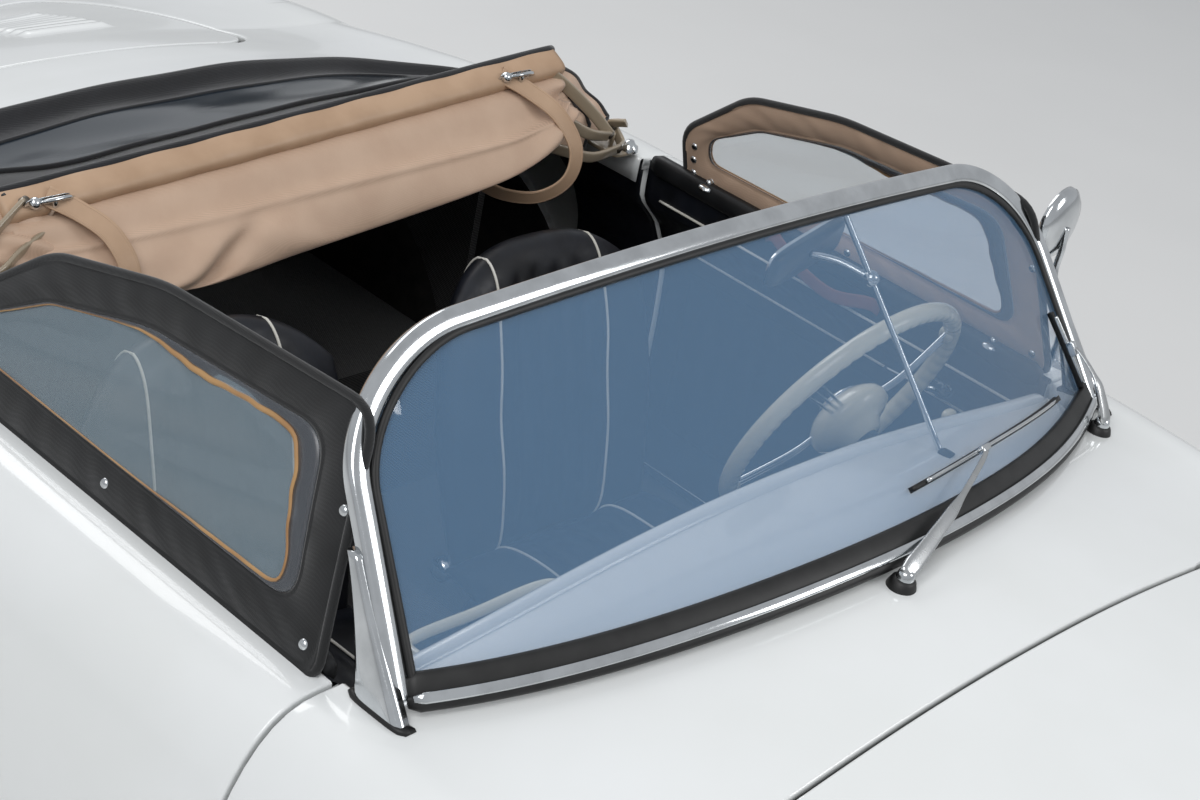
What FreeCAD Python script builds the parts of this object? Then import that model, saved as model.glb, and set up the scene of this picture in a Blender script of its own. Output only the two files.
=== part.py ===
"""Roadster convertible: an open two-seater with its folding hood stowed and its side curtains up.

+X is forward, +Y is the driver's left and +Z is up, in millimetres. The origin is on the ground and on the
centre plane, half way along the overall length; the front axle lies a fixed way ahead of it.
"""

import FreeCAD, Part
import Sketcher
import math
import os
from FreeCAD import Vector

doc = FreeCAD.newDocument("roadster")

# Driving dimensions

SIZES = [
    ("overall_length", 3950, "over the bumpers"),
    ("body_width", 1670, "over the rear wings"),
    ("front_axle", 1145, "front axle ahead of the origin"),
    ("wheelbase", 2100, "front axle to rear axle"),
    ("front_overhang", 830, "front bumper to front axle"),
    ("bumper_reach", 92, "bumper face ahead of the body's nose and tail"),
    ("track_front", 1290, "between the front tyres' middles"),
    ("track_rear", 1250, "between the rear tyres' middles"),
    ("tyre_radius", 320, "ground to wheel centre"),
    ("tyre_width", 158, "section width"),
    ("tyre_shoulder", 34, "rounding of the tread into the side wall"),
    ("rim_radius", 190, "bead seat of the rim"),
    ("rim_width", 126, "over the rim's flanges"),
    ("rim_wall", 8, "pressed steel of the wheel"),
    ("hub_radius", 62, "wheel bearing housing"),
    ("hubcap_radius", 128, "chromed cap"),
    ("kingpin_inset", 95, "king pin inboard of the tyre's middle"),
    ("arch_radius", 345, "front wheel opening"),
    ("rear_arch_radius", 338, "rear wheel opening"),
    ("panel_wall", 12, "body panel with its flanges"),
    ("door_wall", 72, "door skin to inner panel"),
    ("door_front", 402, "front shut line, ahead of the middle"),
    ("door_length", 786, "hinge axis to rear shut face"),
    ("door_foot", 262, "underside of the door"),
    ("shut_gap", 6, "gap round the doors and lids"),
    ("sill_foot", 190, "underside of the body between the wheels"),
    ("waist_height", 470, "height of the widest line"),
    ("nose_length", 635, "the rounded front end"),
    ("tail_length", 730, "the rounded rear end"),
    ("cowl_height", 900, "centre of the body at the windscreen"),
    ("belt_height", 850, "door top"),
    ("lid_rear", 790, "rear edge of the front lid"),
    ("lid_front", 131, "front edge of the front lid, behind the nose"),
    ("lid_half_width", 515, "at the front lid's rear edge"),
    ("lid_nose_half_width", 345, "where the front lid's nose begins"),
    ("lid_nose_length", 215, "rounded end of the front lid"),
    ("lid_corner", 120, "corner radius"),
    ("engine_lid_front", 85, "front edge of the engine lid, behind the rear axle"),
    ("engine_lid_length", 620, "front to rear in plan"),
    ("engine_lid_half_width", 395, "at its front edge"),
    ("engine_lid_tail_half_width", 300, "at its rear edge"),
    ("engine_lid_corner", 90, "corner radius"),
    ("cockpit_rear", -815, "rear edge of the cockpit opening"),
    ("cockpit_half_width", 636, "cockpit opening at the rear wings"),
    ("cockpit_corner", 300, "corner radius of the opening behind the seats"),
    ("screen_base", 620, "windscreen foot on the centre plane"),
    ("screen_base_end", 466, "windscreen foot at the posts"),
    ("screen_base_half", 642, "half width at the foot"),
    ("screen_seat_gap", 1.7, "frame's lower edge above the smooth line of the scuttle"),
    ("screen_top", 276, "top rail"),
    ("screen_top_half", 540, "half width of the top rail"),
    ("screen_top_height", 1172, "top rail on the centre plane"),
    ("screen_top_end_height", 1128, "top rail at the posts"),
    ("screen_frame_width", 26, "face width of the frame"),
    ("screen_frame_depth", 20, "depth of the frame"),
    ("screen_glass", 6, "glass thickness"),
    ("floor_height", 182, "underside of the floor pan"),
    ("floor_wall", 14, "floor pan"),
    ("floor_half_width", 610, "inner edge of the sill boxes"),
    ("tunnel_half_width", 80, "tunnel between the seats"),
    ("tunnel_height", 165, "tunnel above the floor's underside"),
    ("seat_gap", 0.3, "between a piece and what it rests on"),
    ("jack_x", 20, "jacking socket, ahead of the middle"),
    ("jack_bore", 16, "jacking socket's inside radius"),
    ("jack_depth", 60, "jacking socket's length"),
    ("tub_half_width", 375, "luggage tub between the front wheels"),
    ("tub_floor", 452, "underside of the luggage tub"),
    ("bulkhead", 905, "front wall of the cockpit"),
    ("shelf_half_width", 500, "rear shelf between the wheel housings"),
    ("shelf_height", 440, "rear shelf over the gearbox"),
    ("dash_rear", 408, "rear edge of the dashboard"),
    ("dash_height", 852, "top of the dashboard's rear edge"),
    ("seat_middle", 302, "seat's middle from the centre plane"),
    ("seat_width", 440, "over the side bolsters"),
    ("seat_cushion_height", 420, "top of the cushion"),
    ("seat_cushion_thick", 130, "cushion"),
    ("seat_cushion_front", 285, "front edge of the cushion"),
    ("seat_back_foot", -150, "front of the backrest at the cushion"),
    ("seat_back_thick", 105, "backrest"),
    ("seat_back_height", 440, "backrest above the cushion"),
    ("steer_x", 262, "steering wheel's centre"),
    ("steer_y", 355, "steering wheel's centre"),
    ("steer_z", 812, "steering wheel's centre"),
    ("steer_radius", 190, "middle of the steering wheel's rim"),
    ("steer_rim", 12, "rim's section radius"),
    ("steer_rake", 22, "steering column above level, in degrees"),
    ("column_radius", 25, "steering column"),
    ("column_length", 560, "steering column to the bulkhead's foot"),
    ("lever_x", 395, "gear lever's foot"),
    ("lever_rise", 225, "gear lever's knob above its foot"),
    ("lever_lean", 95, "gear lever's knob behind its foot"),
    ("pedal_x", 735, "pedals' feet"),
    ("pedal_y", 320, "middle pedal"),
    ("pedal_pitch", 115, "between pedals"),
    ("pedal_rise", 135, "pedal pads above the floor"),
    ("curtain_foot", 656, "curtain's foot from the centre plane"),
    ("curtain_base", 847.2, "curtain's foot above the ground"),
    ("curtain_lean", 17, "inward lean in degrees"),
    ("curtain_thick", 12, "fabric over the frame"),
    ("curtain_band", 62, "width of the fabric round the window"),
    ("curtain_rear_height", 205, "top of the curtain near its rear end"),
    ("curtain_front_height", 272, "top of the curtain at the windscreen"),
    ("bow_x", -470, "stowed header bow"),
    ("bow_z", 985, "stowed header bow"),
    ("bow_half", 482, "half length of the header bow"),
    ("hood_fold_x", -352, "front fold of the stowed hood"),
    ("hood_fold_z", 862, "lowest fold of the stowed hood"),
    ("hood_half", 470, "half width of the stowed hood's roll"),
    ("hood_pivot_x", -452, "hood's pivot behind the door"),
    ("hood_pivot_y", 590, "hood's pivot"),
    ("iron_width", 22, "face of the hood irons"),
    ("iron_thick", 8, "hood irons"),
    ("lamp_y", 560, "headlamp's centre"),
    ("lamp_z", 655, "headlamp's centre"),
    ("lamp_radius", 98, "headlamp's ring"),
    ("lamp_face", 83, "headlamp's rim behind the nose"),
    ("side_lamp_y", 560, "small front lamp's centre"),
    ("side_lamp_z", 503, "small front lamp's centre"),
    ("side_lamp_radius", 30, "small front lamp"),
    ("side_lamp_face", 58, "small front lamp's lens behind the nose"),
    ("tail_lamp_y", 560, "tail lamp's centre"),
    ("tail_lamp_z", 560, "tail lamp's centre"),
    ("tail_lamp_radius", 40, "tail lamp"),
    ("tail_lamp_face", 83, "tail lamp's lens ahead of the tail"),
    ("bumper_height", 405, "middle of the bumper blades"),
    ("bumper_depth", 88, "height of the blade"),
    ("bumper_wall", 14, "thickness of the blade"),
    ("bumper_half", 720, "half width of the bumpers"),
    ("guard_height", 150, "bumper guards"),
    ("axle_tube_radius", 38, "front torsion bar tubes"),
    ("axle_tube_spacing", 120, "between the two tubes"),
    ("engine_length", 520, "flat four with its fan"),
    ("engine_width", 620, "over the cylinders"),
    ("engine_height", 330, "crankcase and shroud"),
    ("running_gap", 0.4, "between a turning piece and its seat"),
    ("pin_radius", 3.8, "hinge pins of the doors and lids"),
    ("wiper_spindle", 24, "wiper spindle ahead of the windscreen's foot"),
    ("wiper_boss", 11, "wiper spindle's housing radius"),
    ("wiper_rise", 24, "wiper spindle's height"),
    ("wiper_rubber", 10, "face width of the wiper blades"),
    ("mirror_radius", 55, "outside mirror"),
    ("mirror_x", 292, "outside mirror's back"),
    ("mirror_y", 722, "outside mirror's middle"),
    ("mirror_z", 1030, "outside mirror's middle"),
    ("inside_mirror_x", 254, "inside mirror's glass"),
    ("inside_mirror_y", 192, "inside mirror's middle"),
    ("inside_mirror_z", 1081, "inside mirror's middle"),
    ("inside_mirror_width", 200, "inside mirror across the car"),
    ("inside_mirror_height", 52, "inside mirror"),
    ("inside_mirror_share", 0.35, "its rod's place along the windscreen's half width"),
    ("inside_mirror_foot_x", 480, "its rod's foot on the dashboard"),
    ("inside_mirror_foot_y", 262, "its rod's foot on the dashboard"),
]

sheet = doc.addObject("Spreadsheet::Sheet", "Sizes")
for row, (alias, value, note) in enumerate(SIZES, 1):
    sheet.set(f"A{row}", note)
    sheet.set(f"B{row}", str(value))
    sheet.setAlias(f"B{row}", alias)
doc.recompute()
size = {alias: float(sheet.get(alias)) for alias, _, _ in SIZES}

FRONT_AXLE = size["front_axle"]
REAR_AXLE = FRONT_AXLE - size["wheelbase"]
FRONT_END = FRONT_AXLE + size["front_overhang"]
REAR_END = FRONT_END - size["overall_length"]
NOSE, TAIL = FRONT_END - size["bumper_reach"], REAR_END + size["bumper_reach"]
NOSE_START = NOSE - size["nose_length"]
TAIL_START = TAIL + size["tail_length"]
LID_FRONT = NOSE - size["lid_front"]
ENGINE_LID_FRONT = REAR_AXLE - size["engine_lid_front"]
LAMP_FACE = NOSE - size["lamp_face"]
DOOR_REAR = size["door_front"] - size["door_length"]
HALF_WIDTH = size["body_width"] / 2
BELT = size["belt_height"]
COWL = size["cowl_height"]
ROUND = 2.3  # fullness of the side between the widest line and the crown

parts = []


# Construction in the document

def keep(thing, label):
    thing.Label = label
    parts.append(thing)
    return thing


def origin_plane(body, role):
    return next(f for f in body.Origin.OriginFeatures if f.Role == role)


def outline(body, role, points):
    """A closed polygon whose corners are formulas of the sheet's sizes."""
    sketch = body.newObject("Sketcher::SketchObject", body.Name + "_outline")
    sketch.AttachmentSupport = [(origin_plane(body, role), "")]
    sketch.MapMode = "FlatFace"
    places = [[float(sheet.evalExpression(f)) for f in point] for point in points]
    for i, start in enumerate(places):
        end = places[(i + 1) % len(places)]
        sketch.addGeometry(Part.LineSegment(Vector(*start, 0), Vector(*end, 0)), False)
    for i in range(len(points)):
        sketch.addConstraint(Sketcher.Constraint("Coincident", i, 2, (i + 1) % len(points), 1))
    for i, point in enumerate(points):
        for kind, letter, formula, value in zip(("DistanceX", "DistanceY"), "xy", point, places[i]):
            index = sketch.addConstraint(Sketcher.Constraint(kind, -1, 1, i, 1, value))
            sketch.renameConstraint(index, f"{letter}{i}")
            sketch.setExpression(f"Constraints.{letter}{i}", formula)
    return sketch


def turned(name, points, axis="V_Axis"):
    """A body turned from a polygon in the XZ plane."""
    body = doc.addObject("PartDesign::Body", name)
    sketch = outline(body, "XZ_Plane", points)
    feature = body.newObject("PartDesign::Revolution", name + "_turned")
    feature.Profile = sketch
    feature.ReferenceAxis = (sketch, [axis])
    feature.Angle = 360
    doc.recompute()
    return body


def plate(name, role, points, thickness):
    """A body padded evenly to both sides of an origin plane."""
    body = doc.addObject("PartDesign::Body", name)
    feature = body.newObject("PartDesign::Pad", name + "_plate")
    feature.Profile = outline(body, role, points)
    feature.setExpression("Length", thickness)
    feature.SideType = "Symmetric"
    doc.recompute()
    return body


def place(thing, x="0", y="0", z="0", axis=(0, 0, 1), turn="0"):
    """Binds a piece's placement to formulas of the sheet's sizes."""
    thing.Placement = FreeCAD.Placement(Vector(), FreeCAD.Rotation(Vector(*axis), 1))
    for key, formula in (("Base.x", x), ("Base.y", y), ("Base.z", z)):
        thing.setExpression("Placement." + key, formula)
    thing.setExpression("Placement.Rotation.Angle", turn + " * 1 deg")
    return thing


def box(name, length, width, height, x, y, z):
    thing = doc.addObject("Part::Box", name)
    for key, formula in (("Length", length), ("Width", width), ("Height", height)):
        thing.setExpression(key, formula)
    return place(thing, x, y, z)


def fused(name, pieces):
    thing = doc.addObject("Part::MultiFuse", name)
    thing.Shapes = pieces
    return thing


def mirrored(name, source, normal=(0, 1, 0)):
    thing = doc.addObject("Part::Mirroring", name)
    thing.Source = source
    thing.Normal = normal
    return thing


def feature(name, shape):
    thing = doc.addObject("Part::Feature", name)
    thing.Shape = shape
    return thing


# The body's surface

def smooth(rows, x):
    """A smooth curve through rows of (x, value), with no overshoot, and level past its ends."""
    rows = sorted(rows)
    if x <= rows[0][0]:
        return rows[0][1]
    if x >= rows[-1][0]:
        return rows[-1][1]
    i = max(k for k in range(len(rows) - 1) if rows[k][0] <= x)
    slopes = [(b[1] - a[1]) / (b[0] - a[0]) for a, b in zip(rows, rows[1:])]

    def tangent(k):
        if k in (0, len(rows) - 1):
            return slopes[min(k, len(slopes) - 1)]
        before, after = slopes[k - 1], slopes[k]
        return 2 * before * after / (before + after) if before * after > 0 else 0

    (x0, v0), (x1, v1) = rows[i], rows[i + 1]
    span = x1 - x0
    u = (x - x0) / span
    return (
        v0 * (1 + 2 * u) * (1 - u) ** 2
        + v1 * u * u * (3 - 2 * u)
        + span * tangent(i) * u * (1 - u) ** 2
        - span * tangent(i + 1) * u * u * (1 - u)
    )


# Each curve is a list of (x, value). The fan curves run from 0, where an end begins, to 1, its tip.
WAIST = [(TAIL_START, HALF_WIDTH - 5), (REAR_AXLE, HALF_WIDTH), (DOOR_REAR, HALF_WIDTH - 9),
         (size["door_front"], HALF_WIDTH - 20), (NOSE_START, HALF_WIDTH - 35)]
CROWN_INSET = [(TAIL_START, 225), (REAR_AXLE, 205), (size["cockpit_rear"], 185), (DOOR_REAR, 156),
               (size["door_front"], 148), (NOSE_START, 185)]
CROWN_HEIGHT = [(TAIL_START, BELT - 60), (REAR_AXLE, BELT - 30), (size["cockpit_rear"], BELT - 15),
                (DOOR_REAR, BELT), (size["door_front"], BELT), (NOSE_START, BELT - 45)]
SPINE_HEIGHT = [(TAIL_START - 590, COWL - 340), (TAIL_START - 450, COWL - 250),
                (TAIL_START - 250, COWL - 150), (TAIL_START, COWL - 68), (REAR_AXLE, COWL - 28),
                (size["cockpit_rear"], COWL - 10), (size["screen_base"], COWL),
                (size["lid_rear"], COWL - 15), (NOSE_START - 250, COWL - 42),
                (NOSE_START, COWL - 88), (NOSE_START + 290, COWL - 148), (NOSE_START + 427, COWL - 195),
                (NOSE_START + 510, COWL - 260)]
FAN = {
    "nose": {"start": NOSE_START, "way": 1, "reach": size["nose_length"], "spine": 510, "power": 3.0,
             "inset": [(0, 185), (0.5, 100), (1, 55)],
             "crown": [(0, BELT - 45), (0.5, BELT - 102), (1, BELT - 250)],
             "foot": [(0, 0), (0.5, 45), (1, 80)], "foot_inset": [(0, 68), (1, 40)]},
    "tail": {"start": TAIL_START, "way": -1, "reach": size["tail_length"], "spine": 590, "power": 2.6,
             "inset": [(0, 225), (0.5, 140), (1, 60)],
             "crown": [(0, BELT - 60), (0.5, BELT - 160), (1, BELT - 330)],
             "foot": [(0, 0), (0.5, 60), (1, 100)], "foot_inset": [(0, 68), (1, 45)]},
}


class Rib:
    """A vertical section of the left half: from the body's foot over the waist and crown to the spine."""

    def __init__(self, x=None, nose=None, tail=None):
        if x is not None:
            self.waist = Vector(x, smooth(WAIST, x), 0)
            self.spine = Vector(x, 0, smooth(SPINE_HEIGHT, x))
            self.inset = smooth(CROWN_INSET, x)
            self.crown = smooth(CROWN_HEIGHT, x)
            self.foot, self.foot_inset = size["sill_foot"], 68
        else:
            fan, share = (FAN["nose"], nose) if nose is not None else (FAN["tail"], tail)
            angle = share * math.pi / 2
            along = math.sin(angle) ** (2 / fan["power"])
            across = max(math.cos(angle), 0) ** (2 / fan["power"])
            spine_x = fan["reach"] * along - (fan["reach"] - fan["spine"]) * along**3
            spine_x = fan["start"] + fan["way"] * spine_x
            half_width = smooth(WAIST, fan["start"]) * across
            self.waist = Vector(fan["start"] + fan["way"] * fan["reach"] * along, half_width, 0)
            self.spine = Vector(spine_x, 0, smooth(SPINE_HEIGHT, spine_x))
            self.inset, self.crown = smooth(fan["inset"], share), smooth(fan["crown"], share)
            self.foot = size["sill_foot"] + smooth(fan["foot"], share)
            self.foot_inset = smooth(fan["foot_inset"], share)
        flat = Vector(self.spine.x, 0, 0) - self.waist
        self.span = flat.Length
        self.inward = flat.normalize()

    def at(self, inward, height):
        """The point that far in from the widest line."""
        return self.waist + self.inward * inward + Vector(0, 0, height)

    def side(self, angle, inside=0.0):
        """A point between the widest line at 0 degrees and the crown at 90, moved in by the wall."""
        c, s = math.cos(math.radians(angle)), math.sin(math.radians(angle))
        power = 2 / ROUND
        inward = self.inset * (1 - c**power) + inside * c
        height = size["waist_height"] + (self.crown - size["waist_height"]) * s**power - inside * s
        return self.at(inward, height)

    def lower(self, share, inside=0.0):
        """A point from the foot at 0 to the widest line at 1."""
        height = self.foot + share * (size["waist_height"] - self.foot)
        return self.at(self.foot_inset * (1 - share) ** 2 + inside, height)

    def top(self, share, inside=0.0):
        """A point from the crown at 0 to the spine at 1."""
        rise = share * share * (3 - 2 * share)
        height = self.crown + (self.spine.z - self.crown) * rise + 24 * share * (1 - share)
        return self.at(self.inset + (self.span - self.inset) * share, height - inside)

    def skin(self, inside=0.0):
        """The edges from foot to spine, as arcs."""
        stops = [(self.lower(0, inside), self.lower(0.5, inside), self.lower(1, inside)),
                 (self.side(0, inside), self.side(22.5, inside), self.side(45, inside)),
                 (self.side(45, inside), self.side(67.5, inside), self.side(90, inside))]
        stops += [(self.top(0, inside), self.top(0.25, inside), self.top(0.5, inside)),
                  (self.top(0.5, inside), self.top(0.75, inside), self.top(1, inside))]
        return [Part.Arc(*three).toShape() for three in stops]


def closed(outer, inner):
    """One wire from an outer run of edges and an inner run that starts and ends beside it."""
    first, last = outer[0].firstVertex(), outer[-1].lastVertex()
    inner_first, inner_last = inner[0].firstVertex(), inner[-1].lastVertex()
    ends = [Part.makeLine(last.Point, inner_last.Point), Part.makeLine(inner_first.Point, first.Point)]
    return Part.Wire(Part.__sortEdges__(outer + inner + ends))


def shell(ribs):
    wall = size["panel_wall"]
    return Part.makeLoft([closed(r.skin(), r.skin(wall)) for r in ribs], True, True)


def wall_section(rib, foot, depth, top_depth):
    """A thick wall: the body's side outside, flat inside, from the given foot height up to the crown."""
    share = (foot - rib.foot) / (size["waist_height"] - rib.foot)
    outer = [Part.Arc(rib.lower(share), rib.lower((share + 1) / 2), rib.lower(1)).toShape(),
             Part.Arc(rib.side(0), rib.side(22.5), rib.side(45)).toShape(),
             Part.Arc(rib.side(45), rib.side(67.5), rib.side(90)).toShape()]
    crown = rib.side(90)
    inner_top = rib.at(rib.inset + top_depth, rib.crown - 12)
    inner_waist = rib.at(depth, size["waist_height"])
    inner_foot = rib.at(depth, foot)
    lines = [crown, inner_top, inner_waist, inner_foot, rib.lower(share)]
    return Part.Wire(outer + [Part.makeLine(a, b) for a, b in zip(lines, lines[1:])])


def thick_wall(stations, foot, depth, top_depth):
    return Part.makeLoft([wall_section(Rib(x=x), foot, depth, top_depth) for x in stations], True, True)


def prism(points, low, high):
    """A vertical prism on a plan polygon."""
    face = Part.Face(Part.makePolygon([Vector(x, y, low) for x, y in points + points[:1]]))
    return face.extrude(Vector(0, 0, high - low))


def plan_prism(edges, low, high, grow=0.0):
    """A vertical prism on a plan outline, grown outwards by the gap."""
    face = Part.Face(Part.Wire(edges))
    if grow:
        face = face.makeOffset2D(grow)
    face.translate(Vector(0, 0, low))
    return face.extrude(Vector(0, 0, high - low))


def flip(v):
    return Vector(v.x, -v.y, v.z)


def front_lid_outline():
    """Straight across the rear, tapering forward, and round at the nose."""
    x0, x1 = size["lid_rear"], LID_FRONT - size["lid_nose_length"]
    w0, w1, r = size["lid_half_width"], size["lid_nose_half_width"], size["lid_corner"]
    lean = Vector(x1 - x0, w1 - w0, 0).normalize()
    start = Vector(x0, w0 - r, 0)
    end = Vector(x0, w0, 0) + lean * r
    middle = Vector(x0, w0, 0) + (Vector(x0, w0 - r, 0) + end - Vector(x0, w0, 0) * 2) * 0.27
    shoulder, tip = Vector(x1, w1, 0), Vector(LID_FRONT, 0, 0)
    quarter = Vector(x1 + size["lid_nose_length"] * 0.74, w1 * 0.66, 0)
    return [Part.makeLine(flip(start), start), Part.Arc(start, middle, end).toShape(),
            Part.makeLine(end, shoulder), Part.Arc(shoulder, quarter, tip).toShape(),
            Part.Arc(tip, flip(quarter), flip(shoulder)).toShape(), Part.makeLine(flip(shoulder), flip(end)),
            Part.Arc(flip(end), flip(middle), flip(start)).toShape()]


def rounded_plan(corners, radii):
    """Plan outline with rounded corners, each corner listed once with its radius."""
    edges, n = [], len(corners)
    joins = []
    for i, corner in enumerate(corners):
        here = Vector(*corner, 0)
        back = (Vector(*corners[i - 1], 0) - here).normalize()
        ahead = (Vector(*corners[(i + 1) % n], 0) - here).normalize()
        half = back.getAngle(ahead) / 2
        reach = radii[i] / math.tan(half)
        centre = here + (back + ahead).normalize() * (radii[i] / math.sin(half))
        middle = centre + (here - centre).normalize() * radii[i]
        joins.append((here + back * reach, middle, here + ahead * reach))
    for i, (start, middle, end) in enumerate(joins):
        edges.append(Part.Arc(start, middle, end).toShape())
        edges.append(Part.makeLine(end, joins[(i + 1) % n][0]))
    return edges


def engine_lid_outline():
    x0 = ENGINE_LID_FRONT
    x1 = x0 - size["engine_lid_length"]
    w0, w1 = size["engine_lid_half_width"], size["engine_lid_tail_half_width"]
    r = size["engine_lid_corner"]
    return rounded_plan([(x0, w0), (x1, w1), (x1, -w1), (x0, -w0)], [r, r, r, r])


def cockpit_outline():
    x0, x1 = size["screen_base"] + 40, size["cockpit_rear"]
    w, r = size["cockpit_half_width"], size["cockpit_corner"]
    return rounded_plan([(x0, w), (x1, w), (x1, -w), (x0, -w)], [20, r, r, 20])


def mirror_y(shape):
    return shape.mirror(Vector(), Vector(0, 1, 0))


def cylinder_y(radius, x, z, y0, y1):
    return Part.makeCylinder(radius, y1 - y0, Vector(x, y0, z), Vector(0, 1, 0))


LOW, HIGH = 0, 1300
GAP = size["shut_gap"]
PILLAR = 70
RUN = size["running_gap"]
HINGE = Vector(size["door_front"] + GAP / 2, smooth(WAIST, size["door_front"]) - 3, 0)
SEAT = size["seat_gap"]
LID_AXIS = Vector(size["lid_rear"] - GAP / 2, 0, smooth(SPINE_HEIGHT, size["lid_rear"]) - 0.5)
ENGINE_LID_AXIS = Vector(ENGINE_LID_FRONT + GAP / 2, 0, smooth(SPINE_HEIGHT, ENGINE_LID_FRONT) - 0.5)


def door_drum(grow=0.0):
    return Part.makeCylinder(size["door_length"] + grow, HIGH, HINGE)


def slab(x0, x1, y0, y1, z0, z1):
    return Part.makeBox(x1 - x0, y1 - y0, z1 - z0, Vector(x0, y0, z0))


def both_sides(shape):
    return shape.fuse(mirror_y(shape)).removeSplitter()


def pair(shape, stem):
    """Keeps a left-hand piece and its mirror image."""
    left = keep(feature(stem + "_left", shape), stem + "_left")
    keep(mirrored(stem + "_right", left), stem + "_right")


def with_pins(fixed, moving, axis, along, starts, length=28):
    """Gives both sides of a shut line the barrels of its hinge: fixed, moving, fixed along the same axis."""
    r, step = size["pin_radius"], length + RUN
    for start in starts:
        for k in range(3):
            foot = axis + along * (start + k * step)
            barrel = Part.makeCylinder(r, length, foot, along)
            room = Part.makeCylinder(r + RUN, length + 2 * RUN, foot - along * RUN, along)
            if k == 1:
                moving, fixed = moving.fuse(barrel), fixed.cut(room)
            else:
                fixed, moving = fixed.fuse(barrel), moving.cut(room)
    return fixed, moving


def build_front():
    """Both front wings with their half of the nose, the scuttle panel and the front lid."""
    start = size["door_front"] + GAP
    ribs = [Rib(nose=t) for t in (1, 0.85, 0.7, 0.55, 0.4, 0.2)]
    ribs += [Rib(x=x) for x in (NOSE_START, FRONT_AXLE - 100, size["lid_rear"], size["screen_base"], start + PILLAR)]
    half = shell(ribs)
    lid_plan = plan_prism(front_lid_outline(), 480, HIGH)
    opening = plan_prism(front_lid_outline(), 480, HIGH, GAP)
    inner, outer = size["tub_half_width"] + 15, HALF_WIDTH + 60
    arch = cylinder_y(size["arch_radius"], FRONT_AXLE, size["tyre_radius"], inner, outer)
    bucket = Part.makeCylinder(size["lamp_radius"] + SEAT, 400,
                               Vector(LAMP_FACE - 150, size["lamp_y"], size["lamp_z"]), Vector(1, 0, 0))
    wing = half.cut(opening).cut(arch).cut(bucket).cut(side_lamp(SEAT))
    side_y = size["screen_base_half"] - 40
    scuttle_box = slab(start, size["lid_rear"] + 25, -side_y, side_y, 500, HIGH)
    under_screen = slab(start, size["screen_base"] - 60, -side_y, side_y, 300, HIGH)
    scuttle = wing.common(scuttle_box).cut(under_screen)
    wing = wing.cut(scuttle_box)
    post = thick_wall([start, start + PILLAR], size["sill_foot"], size["door_wall"], 30)
    stations = [size["door_front"], size["door_front"] - size["door_length"] / 2, DOOR_REAR - 30]
    door = thick_wall(stations, size["door_foot"] + GAP, size["door_wall"], 40).common(door_drum())
    frame = windscreen_frame()
    wing = wing.fuse(post).cut(bumper_bracket(1, 0.3))
    wing, door = with_pins(wing, door, HINGE, Vector(0, 0, 1), (395, 495))
    pair(wing, "front_wing")
    pair(door, "door")
    scuttle = both_sides(scuttle)
    lid = both_sides(half.common(lid_plan))
    scuttle, lid = with_pins(scuttle, lid, LID_AXIS, Vector(0, 1, 0), (-90, 10), 26)
    keep(feature("scuttle_panel", scuttle), "scuttle_panel")
    keep(feature("front_lid", lid), "front_lid")
    keep(feature("windscreen_frame", frame), "windscreen_frame")


def build_rear():
    """Both rear wings with their half of the tail, the rear deck and the engine lid."""
    quarter_end = DOOR_REAR - 110
    ribs = [Rib(tail=t) for t in (1, 0.85, 0.7, 0.55, 0.4, 0.2)]
    stations = (TAIL_START, ENGINE_LID_FRONT, REAR_AXLE, size["cockpit_rear"], quarter_end)
    ribs += [Rib(x=x) for x in stations]
    half = shell(ribs)
    lid_plan = plan_prism(engine_lid_outline(), 480, HIGH)
    opening = plan_prism(engine_lid_outline(), 480, HIGH, GAP)
    cockpit = plan_prism(cockpit_outline(), size["sill_foot"] + 100, HIGH)
    inner, outer = size["shelf_half_width"] + 25, HALF_WIDTH + 60
    arch = cylinder_y(size["rear_arch_radius"], REAR_AXLE, size["tyre_radius"], inner, outer)
    body = half.cut(opening).cut(cockpit).cut(arch)
    side_y = size["cockpit_half_width"] - 60
    deck_box = slab(TAIL_START - 20, quarter_end, -side_y, side_y, 600, HIGH)
    quarter = thick_wall([DOOR_REAR + 60, quarter_end], size["sill_foot"], size["door_wall"], 40)
    quarter = quarter.cut(door_drum(GAP))
    lamp = tail_lamp()
    wing = body.cut(deck_box).fuse(quarter).cut(bumper_bracket(-1, SEAT)).cut(lamp).removeSplitter()
    pair(wing, "rear_wing")
    deck, lid = both_sides(body.common(deck_box)), both_sides(half.common(lid_plan))
    deck, lid = with_pins(deck, lid, ENGINE_LID_AXIS, Vector(0, 1, 0), (-90, 10), 26)
    keep(feature("rear_deck", deck), "rear_deck")
    keep(feature("engine_lid", lid), "engine_lid")
    keep(feature("tail_lamps", lamp.fuse(mirror_y(lamp))), "tail_lamps")


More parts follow.
